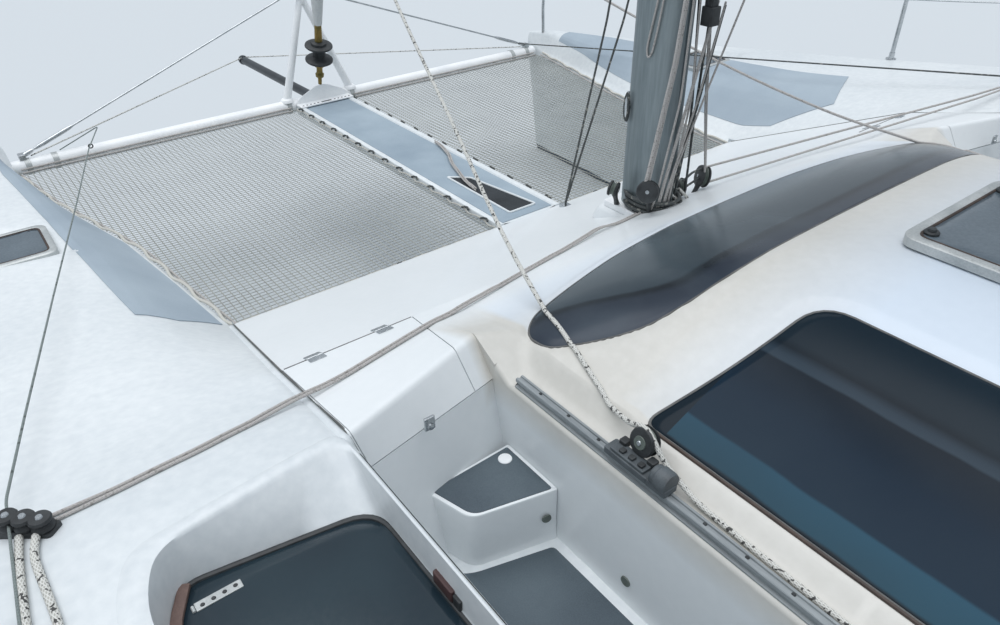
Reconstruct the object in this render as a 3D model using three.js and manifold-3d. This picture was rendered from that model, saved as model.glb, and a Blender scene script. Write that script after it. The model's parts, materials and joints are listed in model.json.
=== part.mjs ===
// A sailing catamaran afloat, about 9.5 m long and 5.2 m wide, as named pieces with working joints.
// Millimetres. +X is forward, +Y is port, +Z is up. The origin is amidships on the centreline
// at the waterline.

import * as THREE from 'three';
import { mergeVertices } from 'three/addons/utils/BufferGeometryUtils.js';
import Module from 'manifold-3d';

const wasm = await Module();
wasm.setup();

// Driving sizes

const GAP = 0.3;               // clearance between pieces that touch
const STERN = -4700;           // foot of each transom
const DECK = 800;              // catwalk, net and front edge of the bridge deck
const SOLE = 832;              // floor of the cockpit and of the two side passages
const SIDE = 1285;             // side decks abreast of the cabin
const UNDER = 520;             // underside of the bridge deck
const FRONT = 2480;            // front edge of the bridge deck
const HINGE = 1600;            // hinge line of the locker lids
const BULKHEAD = 1156;         // front wall of the side passages
const LEDGE = 1213;            // ledge beside the cabin that carries the genoa track
const LEDGE_Y = 1160;          // inboard wall of the side passages
const CABIN_Y = 1046;          // foot of the cabin's sloping sides
const CABIN_Z = 1264;
const AFT = -1500;             // aft end of the cabin
const COCKPIT_END = -3150;     // aft end of the bridge deck
const WALL_Y = 1484;           // outboard wall of the passages, at the floor
const SEAM_Y = 1587;           // the same wall at deck level
const MAST_X = 1775;           // mast centre
const MAST_Z = 1092;           // mast step
const MASTHEAD = 13200;
const HOUNDS = 11600;          // where the stays meet the mast
const BEAM_X = 4730;           // forward crossbeam
const BEAM_R = 43;

// Colours, roughness and metalness

const FINISH = {
  gelcoat: [0xdde4e8, 0.35, 0.0],
  cabin: [0xd9d4cb, 0.4, 0.0],
  grip: [0xb2c1cb, 0.8, 0.0],
  sole: [0x6a7682, 0.8, 0.0],
  spar: [0x767f82, 0.4, 0.7],
  steel: [0xb9bec2, 0.25, 1.0],
  dark: [0x24282b, 0.5, 0.1],
  glass: [0x1c2f3d, 0.1, 0.0],
  net: [0x9a9a94, 0.9, 0.0],
  sail: [0xc9ccce, 0.8, 0.0],
  cover: [0x33475c, 0.9, 0.0],
  keel: [0x27384a, 0.7, 0.0],
  bronze: [0x8f7a4a, 0.4, 0.9],
};

const boat = new THREE.Group();

function add(name, geometry, finish) {
  const [color, roughness, metalness] = FINISH[finish];
  const body = geometry.toNonIndexed ? flat(geometry) : geometry;
  const mesh = new THREE.Mesh(body, new THREE.MeshStandardMaterial({ color, roughness, metalness }));
  mesh.name = name;
  boat.add(mesh);
  return mesh;
}

function flat(geometry) {
  const plain = geometry.index ? geometry.toNonIndexed() : geometry;
  plain.computeVertexNormals();
  return plain;
}

// Booleans

function solid(geometry) {
  const clean = geometry.clone();
  clean.deleteAttribute('normal');
  clean.deleteAttribute('uv');
  const merged = mergeVertices(clean, 1e-2);
  const points = new Float32Array(merged.attributes.position.array);
  const corners = [];
  for (let i = 0; i < merged.index.count; i += 3) {
    const [a, b, c] = [0, 1, 2].map((k) => merged.index.getX(i + k));
    if (a !== b && b !== c && c !== a) corners.push(a, b, c);
  }
  const mesh = new wasm.Mesh({ numProp: 3, vertProperties: points, triVerts: new Uint32Array(corners) });
  mesh.merge();
  return new wasm.Manifold(mesh);
}

function surface(manifold) {
  const mesh = manifold.getMesh();
  const geometry = new THREE.BufferGeometry();
  geometry.setAttribute('position', new THREE.BufferAttribute(new Float32Array(mesh.vertProperties), 3));
  geometry.setIndex(Array.from(mesh.triVerts));
  return geometry;
}

function join(...parts) {
  let whole = solid(parts[0]);
  for (const part of parts.slice(1)) whole = whole.add(solid(part));
  return surface(whole);
}

function cut(base, ...tools) {
  let whole = solid(base);
  for (const tool of tools) whole = whole.subtract(solid(tool));
  return surface(whole);
}

function common(a, b) {
  return surface(solid(a).intersect(solid(b)));
}

// Shapes

function box(x0, x1, y0, y1, z0, z1) {
  const shape = new THREE.BoxGeometry(x1 - x0, y1 - y0, z1 - z0);
  return shape.translate((x0 + x1) / 2, (y0 + y1) / 2, (z0 + z1) / 2);
}

// outline of [x, y] points, raised from z0 to z1
function slabZ(points, z0, z1) {
  const shape = new THREE.Shape(points.map(([x, y]) => new THREE.Vector2(x, y)));
  return new THREE.ExtrudeGeometry(shape, { depth: z1 - z0, bevelEnabled: false }).translate(0, 0, z0);
}

// outline of [x, z] points, spanning y0 to y1
function slabY(points, y0, y1) {
  const shape = new THREE.Shape(points.map(([x, z]) => new THREE.Vector2(x, z)));
  const body = new THREE.ExtrudeGeometry(shape, { depth: y1 - y0, bevelEnabled: false });
  return body.rotateX(Math.PI / 2).translate(0, y1, 0);
}

// outline of [y, z] points, spanning x0 to x1
function slabX(points, x0, x1) {
  const shape = new THREE.Shape(points.map(([y, z]) => new THREE.Vector2(y, z)));
  const body = new THREE.ExtrudeGeometry(shape, { depth: x1 - x0, bevelEnabled: false });
  return body.applyMatrix4(new THREE.Matrix4().set(0, 0, 1, x0, 1, 0, 0, 0, 0, 1, 0, 0, 0, 0, 0, 1));
}

// round bar from a to b, or a cone where the far radius differs
function bar(a, b, radius, sides = 8, far = radius) {
  const from = new THREE.Vector3(...a);
  const to = new THREE.Vector3(...b);
  const along = new THREE.Vector3().subVectors(to, from);
  const shape = new THREE.CylinderGeometry(far, radius, along.length(), sides);
  const upright = new THREE.Vector3(0, 1, 0);
  const turn = new THREE.Quaternion().setFromUnitVectors(upright, along.normalize());
  const middle = from.add(to).multiplyScalar(0.5);
  return shape.applyQuaternion(turn).translate(middle.x, middle.y, middle.z);
}

// round tube through points
function bentTube(points, radius, sides = 8, steps = 24) {
  const extrudePath = new THREE.CatmullRomCurve3(points.map((p) => new THREE.Vector3(...p)));
  const ring = new THREE.Shape();
  ring.absarc(0, 0, radius, 0, 2 * Math.PI, false);
  return new THREE.ExtrudeGeometry(ring, { steps, curveSegments: sides, bevelEnabled: false, extrudePath });
}

// body turned about the upright axis, from [radius, z] points
function turned(profile, sides = 20) {
  const points = profile.map(([r, z]) => new THREE.Vector2(r, z));
  return new THREE.LatheGeometry(points, sides).rotateX(Math.PI / 2);
}

function mirrored(geometry) {
  const twin = (geometry.index ? geometry.toNonIndexed() : geometry.clone());
  twin.deleteAttribute('normal');
  twin.deleteAttribute('uv');
  const p = twin.attributes.position;
  for (let i = 0; i < p.count; i += 3) {
    for (let k = 0; k < 3; k++) p.setY(i + k, -p.getY(i + k));
    const [bx, by, bz] = [p.getX(i + 1), p.getY(i + 1), p.getZ(i + 1)];
    p.setXYZ(i + 1, p.getX(i + 2), p.getY(i + 2), p.getZ(i + 2));
    p.setXYZ(i + 2, bx, by, bz);
  }
  return twin;
}

// closed skin over rings of equal count, each a loop of [x, y, z] points; a fan closes each end
function loft(rings) {
  const count = rings[0].length;
  const faces = [];
  for (let r = 0; r + 1 < rings.length; r++) {
    for (let i = 0; i < count; i++) {
      const j = (i + 1) % count;
      const [a, b, c, d] = [r * count + i, r * count + j, (r + 1) * count + j, (r + 1) * count + i];
      faces.push(a, b, c, a, c, d);
    }
  }
  const points = rings.flat();
  const last = (rings.length - 1) * count;
  for (const [first, ring] of [[0, rings[0]], [last, rings[rings.length - 1]]]) {
    const middle = points.push([0, 1, 2].map((k) => ring.reduce((sum, p) => sum + p[k], 0) / count)) - 1;
    for (let i = 0; i < count; i++) {
      const [a, b] = [first + i, first + ((i + 1) % count)];
      faces.push(...(first ? [a, b, middle] : [b, a, middle]));
    }
  }
  if (volume(points, faces) < 0) faces.reverse();
  const shape = new THREE.BufferGeometry();
  shape.setAttribute('position', new THREE.Float32BufferAttribute(points.flat(), 3));
  shape.setIndex(faces);
  return shape;
}

function volume(points, faces) {
  let six = 0;
  for (let i = 0; i < faces.length; i += 3) {
    const [a, b, c] = [0, 1, 2].map((k) => new THREE.Vector3(...points[faces[i + k]]));
    six += a.dot(b.cross(c));
  }
  return six;
}

// Hulls. The port hull is lofted over stations; the starboard hull is its mirror image.
// Distances off the boat's centreline: inner edge, outer edge and crown of the deck, keel line
// and half width at the waterline.

const STATIONS = [
  // x, innerY, innerZ, crownY, crownZ, outerY, outerZ, keelY, halfWidth, draught
  [4790, 1856, 880, 1874, 925, 1890, 925, 1874, 12, 60],
  [4600, 1850, 812, 1915, 948, 2030, 950, 1900, 46, 210],
  [4096, 1752, 800, 1860, 975, 2250, 968, 1912, 92, 330],
  [3408, 1578, 800, 1815, 985, 2430, 1010, 1925, 175, 420],
  [2900, 1510, 800, 1790, 1020, 2520, 1060, 1935, 240, 450],
  [2481, 1454, 800, 1785, 1050, 2565, 1100, 1940, 285, 465],
  [1600, 1572, 1178, 1850, 1205, 2600, 1215, 1950, 340, 475],
  [1157, SEAM_Y, SIDE, 1850, 1297, 2600, 1272, 1955, 355, 475],
  [1155, SEAM_Y, SIDE, 1850, 1297, 2600, 1272, 1955, 355, 475],
  [-600, SEAM_Y, SIDE, 1850, 1300, 2600, 1280, 1960, 370, 465],
  [-2300, SEAM_Y, SIDE, 1850, 1296, 2570, 1262, 1960, 350, 380],
  [-3600, SEAM_Y, 1240, 1850, 1252, 2500, 1220, 1960, 310, 210],
  [STERN, SEAM_Y, 1150, 1850, 1160, 2430, 1140, 1960, 260, 70],
];

function hullRing([x, innerY, innerZ, crownY, crownZ, outerY, outerZ, keelY, half, draught]) {
  const open = x > FRONT;                       // forward of the bridge deck the inner side flares
  const rake = x > 4700 ? 110 : x > 4500 ? 60 : 0;
  const behind = x < BULKHEAD;                  // beside the passage the inner wall leans
  const kneeY = open ? keelY - half - 0.35 * (keelY - half - innerY) : behind ? WALL_Y : innerY;
  const low = [x, behind ? WALL_Y : innerY + (open ? 3 : 0), open ? innerZ - 60 : SOLE - 5];
  return [
    [x - 1.5 * rake, keelY, -draught],
    [x - 1.4 * rake, keelY + 0.62 * half, -0.72 * draught],
    [x - 1.2 * rake, keelY + 0.95 * half, -0.25 * draught],
    [x - rake, keelY + half + 4, 70],
    [x - 0.5 * rake, outerY - 0.3 * (outerY - keelY - half), 0.47 * outerZ],
    [x, outerY, outerZ - 110],
    [x, outerY - Math.min(12, 0.1 * (outerY - innerY)), outerZ - 28],
    [x, outerY - Math.min(70, 0.3 * (outerY - innerY)), outerZ],
    [x, 0.5 * (crownY + outerY), 0.5 * (crownZ + outerZ) + 8],
    [x, crownY, crownZ],
    [x, innerY + Math.min(30, 0.2 * (crownY - innerY)), innerZ + 6],
    [x, innerY, innerZ - 14],
    low,
    [x - 0.5 * rake, kneeY, 0.6 * DECK],
    [x - rake, keelY - half - 4, 70],
    [x - 1.2 * rake, keelY - 0.95 * half, -0.25 * draught],
    [x - 1.4 * rake, keelY - 0.62 * half, -0.72 * draught],
  ];
}

const hullShell = loft(STATIONS.map(hullRing));

// height of the hull's deck at x and at y off the centreline
function hullTop(x, y) {
  const i = STATIONS.findIndex((row) => row[0] <= x);
  const [fore, aft] = [STATIONS[i - 1], STATIONS[i]];
  const t = (fore[0] - x) / (fore[0] - aft[0]);
  const here = fore.map((value, k) => value + t * (aft[k] - value));
  const [, innerY, innerZ, crownY, crownZ, outerY, outerZ] = here;
  const half = [0.5 * (crownY + outerY), 0.5 * (crownZ + outerZ) + 8];
  const line = [[innerY, innerZ], [crownY, crownZ], half, [outerY, outerZ]];
  const k = Math.max(1, line.findIndex(([edge]) => edge >= y));
  const [[y0, z0], [y1, z1]] = [line[k - 1], line[k]];
  return z0 + ((z1 - z0) * (y - y0)) / (y1 - y0);
}

// boarding steps let into each stern: [aft of x, down to z]
const STERN_STEPS = [[-3500, 830], [-3950, 560], [-4330, 300]];
const stepCuts = STERN_STEPS.map(([x, z]) => box(STERN - 500, x, WALL_Y - 60, 2640, z, 1400));

// hull hatches: the deck hatch near the bow, and the companionway with its sunken lid
const BOW_HATCH = { x0: 3090, x1: 3400, y0: 1870, y1: 2230, z: 988 };
const COMPANION = { x0: 250, x1: 1110, y0: 1612, y1: 2050, z: 1208, foot: 500 };

const bowRecess = box(BOW_HATCH.x0, BOW_HATCH.x1, BOW_HATCH.y0, BOW_HATCH.y1, BOW_HATCH.z - 28, 1200);
const bowWell = box(BOW_HATCH.x0 + 35, BOW_HATCH.x1 - 35, BOW_HATCH.y0 + 35, BOW_HATCH.y1 - 35, 560, 1200);
const companionWell = box(COMPANION.x0 + 40, COMPANION.x1 - 90, COMPANION.y0 + 40, COMPANION.y1 - 40,
  COMPANION.foot, 1400);
const companionCoaming = slabY([
  [COMPANION.x0 - 70, 1400], [COMPANION.x0, COMPANION.z - 24],
  [COMPANION.x1 - 60, COMPANION.z - 24], [COMPANION.x1 + 20, 1400],
], COMPANION.y0, COMPANION.y1);

const beamSocket = bar([BEAM_X, 1700, 790], [BEAM_X, 1868, 790], BEAM_R + GAP, 24);
const stockBore = bar([-4080, 1960, -300], [-4080, 1960, 290], 20.8, 24);
const hull = cut(hullShell, stockBore, ...stepCuts, bowRecess, bowWell, companionCoaming, companionWell,
  beamSocket);
add('hull_port', hull, 'gelcoat');
add('hull_starboard', mirrored(hull), 'gelcoat');

// Shallow fin keels under the hulls

const keelShape = loft([[-820, 0.35], [-500, 0.85], [100, 1], [700, 0.75], [1040, 0.2]].map(([x, w]) => {
  const t = 85 * w;
  const lean = x > 0 ? 0.22 : -0.1;
  return [
    [x, 1955 - t, -440], [x - lean * 300, 1955 - 0.8 * t, -840], [x - lean * 330, 1955, -900],
    [x - lean * 300, 1955 + 0.8 * t, -840], [x, 1955 + t, -440],
  ];
}));
const hullBelow = hullShell.clone().translate(0, 0, -GAP);
const hullAbove = hullShell.clone().translate(0, 0, GAP);
const keel = cut(keelShape, hullBelow);
add('keel_port', keel, 'keel');
add('keel_starboard', mirrored(keel), 'keel');

// Bridge deck: the slab between the hulls, with the cockpit seats moulded in

const INNER = WALL_Y - GAP;
const deckPieces = [slabY([
  [BULKHEAD, UNDER], [BULKHEAD, SOLE], [COCKPIT_END, SOLE], [COCKPIT_END, UNDER + 40],
  [COCKPIT_END + 200, UNDER],
], -INNER, INNER)];
const SEAT_TOP = 1215;
const seatPlan = [
  [AFT - 400, INNER - 2], [AFT - 400, 980], [COCKPIT_END + 420, 980], [COCKPIT_END + 420, 520],
  [COCKPIT_END + 2, 520], [COCKPIT_END + 2, INNER - 2],
];
for (const side of [1, -1]) {
  const plan = seatPlan.map(([x, y]) => [x, side * y]);
  deckPieces.push(slabZ(plan, SOLE - 20, SEAT_TOP));
}
const bridge = join(...deckPieces);
add('bridge_deck', bridge, 'gelcoat');

// Foredeck: the wedge that climbs from the nets to the cabin, over the nacelle

const SLOPE = (1178 - DECK) / (FRONT - HINGE);
function slopeZ(x) {
  return DECK + SLOPE * (FRONT - x);
}

// Coachroof surface: a low turtleback whose front and sides slope up to the roof
// x, half width of the foot, height of the foot, half width of the roof, height of the roof edge, crown

const CABIN_STATIONS = [
  [1409, 40, 1278, 20, 1279, 1280],
  [1372, 611, 1276, 560, 1291, 1295],
  [1263, 1008, 1268, 880, 1322, 1338],
  [1133, CABIN_Y, CABIN_Z, 730, 1374, 1390],
  [920, CABIN_Y, CABIN_Z, 545, 1440, 1472],
  [700, CABIN_Y, CABIN_Z, 545, 1448, 1490],
  [-600, CABIN_Y, CABIN_Z, 560, 1450, 1505],
  [AFT, CABIN_Y, CABIN_Z, 560, 1440, 1495],
];

function cabinRing([x, footY, footZ, roofY, edgeZ, crownZ], grow, bottom) {
  const g = grow;
  const bend = 0.5 * (footZ + edgeZ) + 0.06 * (edgeZ - footZ);
  const half = [
    [0, crownZ + g],
    [0.55 * roofY, crownZ - 0.25 * (crownZ - edgeZ) + g],
    [roofY, edgeZ + g],
    [0.5 * (footY + roofY), bend + g],
    [footY + g, footZ + g],
    [footY + g, bottom],
  ];
  const right = half.slice(1).map(([y, z]) => [x, -y, z]).reverse();
  return [...right, ...half.map(([y, z]) => [x, y, z])];
}

function cabinBody(grow, bottom) {
  const rings = CABIN_STATIONS.map((row) => {
    const ring = [...row];
    ring[0] += grow * (row[0] > 1000 ? 0.6 : 0);
    return cabinRing(ring, grow, bottom);
  });
  return loft(rings);
}

const WALL = 38;               // cabin moulding thickness
const cabinOuter = cabinBody(0, 1190);
const trunk = box(AFT, BULKHEAD - 10, -LEDGE_Y, LEDGE_Y, SOLE + GAP, LEDGE);
const cabinHollow = cut(cabinBody(-WALL, 1100), box(-1e4, AFT + 30, -2000, 2000, 0, 3000));
const trunkHollow = box(AFT + 30, 1080, -LEDGE_Y + WALL, LEDGE_Y - WALL, SOLE - 200, 1176);
const liftHollow = box(AFT + 30, 1080, -CABIN_Y + 40, CABIN_Y - 40, 1100, 1240);

// windows, as outlines seen from above: front strip, side panes
const stripHalf = [
  [1385, 0], [1378, 300], [1350, 600], [1285, 850], [1240, 985], [1205, 1024],
  [1150, 1036], [1075, 960], [1010, 860], [962, 700], [938, 560], [926, 300], [922, 0],
];
const stripPlan = [
  ...stripHalf, ...stripHalf.slice(1, -1).map(([x, y]) => [x, -y]).reverse(),
];
const panePlan = [
  [800, 1036], [752, 880], [716, 700], [695, 622], [655, 586], [560, 580], [-560, 580], [-610, 600],
  [-640, 650], [-640, 985], [-620, 1025], [-580, 1036],
];

// outline moved inward by d, for an outline that runs anticlockwise or clockwise
function inset(points, d) {
  const turn = THREE.ShapeUtils.isClockWise(points.map(([x, y]) => new THREE.Vector2(x, y))) ? -1 : 1;
  const n = points.length;
  return points.map(([x, y], i) => {
    const [px, py] = points[(i + n - 1) % n];
    const [qx, qy] = points[(i + 1) % n];
    const a = new THREE.Vector2(x - px, y - py).normalize();
    const b = new THREE.Vector2(qx - x, qy - y).normalize();
    const normal = new THREE.Vector2(-(a.y + b.y), a.x + b.x).normalize();
    const k = d / Math.max(0.3, normal.dot(new THREE.Vector2(-a.y, a.x)));
    return [x + turn * normal.x * k, y + turn * normal.y * k];
  });
}

const flipY = (points) => points.map(([x, y]) => [x, -y]);
const holes = [stripPlan, panePlan, flipY(panePlan)].map((plan) => slabZ(plan, 1225, 1700));
const ROOF_HATCH = { x0: 225, x1: 722, half: 270, z: 1486 };
const RIM = 30;                // the roof hatch rests on a rim of this width
const roofHole = box(ROOF_HATCH.x0 + RIM, ROOF_HATCH.x1 - RIM, -ROOF_HATCH.half + RIM, ROOF_HATCH.half - RIM,
  1300, 1700);
const roofSeat = box(ROOF_HATCH.x0, ROOF_HATCH.x1, -ROOF_HATCH.half, ROOF_HATCH.half, ROOF_HATCH.z, 1700);
const doorHole = box(AFT - 50, AFT + 80, -300, 300, 860, 1455);
const cabinShell = cut(join(trunk, cabinOuter), cabinHollow, trunkHollow, liftHollow, ...holes,
  roofHole, roofSeat, doorHole);
add('coachroof', cabinShell, 'cabin');

const skin = cut(cabinBody(-4, 1190), cabinBody(-12, 1100));
const pane = common(skin, slabZ(inset(panePlan, GAP), 1240, 1700));
add('front_window', common(skin, slabZ(inset(stripPlan, GAP), 1240, 1700)), 'glass');
add('side_window_port', pane, 'glass');
add('side_window_starboard', mirrored(pane), 'glass');

// foredeck wedge with its locker wells; the lids sit flush in it
const seamLine = [[FRONT, 1454], [HINGE, 1572], [BULKHEAD + 1, SEAM_Y]];
const wedgePlan = [
  ...seamLine.map(([x, y]) => [x, y - GAP]), ...seamLine.map(([x, y]) => [x, -y + GAP]).reverse(),
];
const WEDGE_TOP = [[HINGE, slopeZ(HINGE)], [1215, SIDE + 8], [BULKHEAD + GAP, SIDE]];
const wedgeSide = slabY([
  [FRONT, DECK - 90], [FRONT, DECK], ...WEDGE_TOP, [BULKHEAD + GAP, UNDER], [1900, UNDER], [2300, 590],
], -1700, 1700);
const LID = { x1: HINGE, y0: 1212, y1: 1560, thick: 26, seam: 3, low: 1190 };
const wedgeBody = common(wedgeSide, slabZ(wedgePlan, 0, 2000));
const crest = WEDGE_TOP[1];
const lidSlope = (crest[1] - slopeZ(HINGE)) / (HINGE - crest[0]);
const lidUnder = (x) => slopeZ(HINGE) + (HINGE - x) * lidSlope - LID.thick;
// the hinged edge is chamfered, so that the lid turns clear about its top corner
const lockerLid = slabY([
  [HINGE - LID.seam, lidUnder(HINGE - LID.seam) + LID.thick], crest, [BULKHEAD + GAP, SIDE],
  [BULKHEAD + GAP, LID.low], [BULKHEAD + 20, LID.low], [BULKHEAD + 20, SIDE - 23],
  [crest[0] - 3, lidUnder(crest[0] - 3)],
  [HINGE - LID.seam - LID.thick, lidUnder(HINGE - LID.seam - LID.thick)],
], LID.y0, LID.y1);
const lidSeat = slabY([
  [HINGE, 1500], [HINGE, lidUnder(HINGE) - 6],
  [HINGE - LID.seam - LID.thick, lidUnder(HINGE - LID.seam - LID.thick) - GAP],
  [crest[0] - 3, lidUnder(crest[0] - 3) - GAP], [BULKHEAD + 34, SIDE - 23 - GAP],
  [BULKHEAD + 34, LID.low - LID.seam],
  [BULKHEAD - 50, LID.low - LID.seam], [BULKHEAD - 50, 1500],
], LID.y0 - LID.seam, LID.y1 + LID.seam);
const lockerWell = box(BULKHEAD + 60, LID.x1 - 40, LID.y0 + 40, LID.y1 - 40, 860, 1500);
const mastSeat = box(MAST_X - 150, MAST_X + 150, -110, 110, MAST_Z - GAP, 1400);
const cabinRoom = join(cabinBody(GAP, 900), box(AFT, BULKHEAD + 2, -LEDGE_Y - 1, LEDGE_Y + 1, 700, 1700));
const foredeck = cut(wedgeBody, cabinRoom, lidSeat, mirrored(lidSeat), lockerWell, mirrored(lockerWell),
  mastSeat);
add('foredeck', foredeck, 'gelcoat');
add('locker_lid_port', lockerLid, 'gelcoat');
add('locker_lid_starboard', mirrored(lockerLid), 'gelcoat');

// moulded corner step at the front of each passage
const stepPlan = [[BULKHEAD - 2, LEDGE_Y + 1], [BULKHEAD - 2, 1425], [1006, 1385], [948, LEDGE_Y + 1]];
const cornerStep = slabZ(stepPlan, SOLE + GAP, 1011);
add('corner_step_port', cornerStep, 'sole');
add('corner_step_starboard', mirrored(cornerStep), 'sole');

// Roof hatch, bow hatches and companionway lids

// framed pane with a chamfer under its forward, hinged edge
function framedLid(x0, x1, y0, y1, z, thick) {
  const seam = 3;
  const frame = slabY([
    [x0 + seam, z + GAP], [x0 + seam, z + thick], [x1 - seam, z + thick], [x1 - seam - thick, z + GAP],
  ], y0 + seam, y1 - seam);
  const sink = box(x0 + 32, x1 - 36, y0 + 32, y1 - 32, z + thick - 4, z + thick + 10);
  return cut(frame, sink);
}

const roofLid = framedLid(ROOF_HATCH.x0, ROOF_HATCH.x1, -ROOF_HATCH.half, ROOF_HATCH.half, ROOF_HATCH.z, 28);
add('roof_hatch', roofLid, 'glass');
const bowLid = framedLid(BOW_HATCH.x0, BOW_HATCH.x1, BOW_HATCH.y0, BOW_HATCH.y1, BOW_HATCH.z - 28, 30);
add('bow_hatch_port', bowLid, 'glass');
add('bow_hatch_starboard', mirrored(bowLid), 'glass');
const companionPlan = [
  [COMPANION.x0 + 4, COMPANION.y0 + 6], [COMPANION.x0 + 4, COMPANION.y1 - 6],
  [COMPANION.x1 - 64, COMPANION.y1 - 6], [COMPANION.x1 - 90, COMPANION.y1 - 90],
  [COMPANION.x1 - 105, COMPANION.y0 + 6],
];
const chamfer = new THREE.Vector2(COMPANION.y1 - 6, COMPANION.z);
const companionLid = cut(slabZ(companionPlan, COMPANION.z - 24 + GAP, COMPANION.z), slabX([
  [chamfer.x, chamfer.y], [chamfer.x - 30, chamfer.y - 30], [chamfer.x + 30, chamfer.y - 30],
], COMPANION.x0 - 50, COMPANION.x1 + 50));
add('companion_hatch_port', companionLid, 'glass');
add('companion_hatch_starboard', mirrored(companionLid), 'glass');

// Cabin door in the aft bulkhead, hung on its port edge
add('cabin_door', box(AFT + 2, AFT + 28, -300 + 4, 300 - GAP, 864, 1451), 'glass');

// Crossbeam with its striker, the catwalk and the bowsprit

const BEAM_Z = 790;
const BEAM_END = 1866;
const beam = (radius) => bar([BEAM_X, -BEAM_END, BEAM_Z], [BEAM_X, BEAM_END, BEAM_Z], radius, 24);
add('crossbeam', beam(BEAM_R), 'gelcoat');

const PLANK = { x0: FRONT + GAP, x1: BEAM_X - BEAM_R - GAP, half: 186, top: DECK, thick: 62 };
const slot = slabZ([[3095, 62], [3010, -28], [2560, -96], [2560, 62]], 700, 900);
const plank = cut(box(PLANK.x0, PLANK.x1, -PLANK.half, PLANK.half, PLANK.top - PLANK.thick, PLANK.top), slot);
add('catwalk', plank, 'grip');

const APEX = [4788, 0, 1446];
const strikerLegs = [230, -230].map((y) => bar([BEAM_X, y, BEAM_Z + BEAM_R - 4], APEX, 22, 12));
const striker = cut(join(...strikerLegs, bar([APEX[0], 0, 1395], [APEX[0], 0, 1463], 30, 12)),
  beam(BEAM_R + GAP));
add('striker', striker, 'gelcoat');

const rodLeft = bar([APEX[0], 60, 1470], [BEAM_X + 12, 1790, 848], 8, 8);
const strikerRods = join(rodLeft, bar([APEX[0], -60, 1470], [BEAM_X + 12, -1790, 848], 8, 8),
  box(BEAM_X - 20, BEAM_X + 30, 1770, 1812, BEAM_Z + BEAM_R - 2, 860),
  box(BEAM_X - 20, BEAM_X + 30, -1812, -1770, BEAM_Z + BEAM_R - 2, 860),
  box(4760, 4816, -70, 70, 1463.5, 1476));
add('striker_rods', cut(strikerRods, beam(BEAM_R + GAP)), 'steel');

add('bowsprit', join(bar([BEAM_X + BEAM_R + GAP, 0, 788], [6122, 0, 768], 30, 16),
  bar([6100, 0, 768], [6135, 0, 768], 36, 16)), 'dark');

// Nets on both sides of the catwalk

const netPlan = [
  [FRONT + GAP, PLANK.half + GAP], [BEAM_X, PLANK.half + GAP], [BEAM_X, 1870],
  [4096, 1790], [3408, 1620], [2900, 1550], [FRONT + GAP, 1490],
];
const beamRoom = bar([BEAM_X, 0, 790], [BEAM_X, 1990, 790], BEAM_R + GAP, 24);
const net = cut(slabZ(netPlan, DECK - 26, DECK - 16), hullShell.clone().translate(0, -GAP, 0), beamRoom);
add('net_port', net, 'net');
add('net_starboard', mirrored(net), 'net');

// Mast, spreaders, boom and sails

const MAST = { long: 112, wide: 72 };
function mastProfile(grow, top) {
  const section = ellipse(MAST.long + grow, MAST.wide + grow);
  const tube = { depth: top - MAST_Z, bevelEnabled: false, curveSegments: 12 };
  return new THREE.ExtrudeGeometry(section, tube).translate(MAST_X, 0, MAST_Z);
}
const mastTube = mastProfile(0, MASTHEAD);
const mastFoot = box(MAST_X - 135, MAST_X + 135, -95, 95, MAST_Z, MAST_Z + 24);
const mastCrane = box(MAST_X - 190, MAST_X + 150, -20, 20, MASTHEAD - 40, MASTHEAD + 30);
add('mast', join(mastTube, mastFoot, mastCrane), 'spar');

const SPREADER_Z = 6600;
const mastRoom = mastProfile(GAP, MASTHEAD + 200);
const spreaderArms = [1, -1].map((side) => slabZ([
  [MAST_X - 60, side * MAST.wide], [MAST_X + 30, side * MAST.wide],
  [MAST_X - 150, side * (915 - 9 - GAP)], [MAST_X - 200, side * (915 - 9 - GAP)],
], SPREADER_Z - 15, SPREADER_Z + 15));
const spreaderCollar = new THREE.ExtrudeGeometry(ellipse(MAST.long + 9, MAST.wide + 9),
  { depth: 60, bevelEnabled: false, curveSegments: 12 }).translate(MAST_X, 0, SPREADER_Z - 30);
add('spreaders', cut(join(...spreaderArms, spreaderCollar), mastRoom), 'spar');

function ellipse(a, b) {
  const ring = new THREE.Shape();
  ring.absellipse(0, 0, a, b, 0, 2 * Math.PI);
  return ring;
}

const BOOM = { z: 2230, x0: MAST_X - MAST.long - 40, x1: -2550, long: 75, wide: 50 };
const boomTube = new THREE.ExtrudeGeometry(ellipse(BOOM.wide, BOOM.long),
  { depth: BOOM.x0 - 30 - BOOM.x1, bevelEnabled: false, curveSegments: 10 });
boomTube.rotateY(Math.PI / 2).rotateX(Math.PI / 2).translate(BOOM.x1, 0, BOOM.z);
const gooseneck = bar([BOOM.x0, 0, BOOM.z - 62 + GAP], [BOOM.x0, 0, BOOM.z + 62 - GAP], 22, 16);
const boomNose = box(BOOM.x0 - 60, BOOM.x0, -18, 18, BOOM.z - 35, BOOM.z + 35);
add('boom', join(boomTube, gooseneck, boomNose), 'spar');
const bracketX = MAST_X - MAST.long - 14;
add('gooseneck_bracket', cut(join(
  box(BOOM.x0 - 20, bracketX + 40, -22, 22, BOOM.z - 84, BOOM.z - 62),
  box(BOOM.x0 - 20, bracketX + 40, -22, 22, BOOM.z + 62, BOOM.z + 84),
  box(bracketX, bracketX + 40, -22, 22, BOOM.z - 110, BOOM.z + 110)), mastRoom), 'steel');

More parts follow.
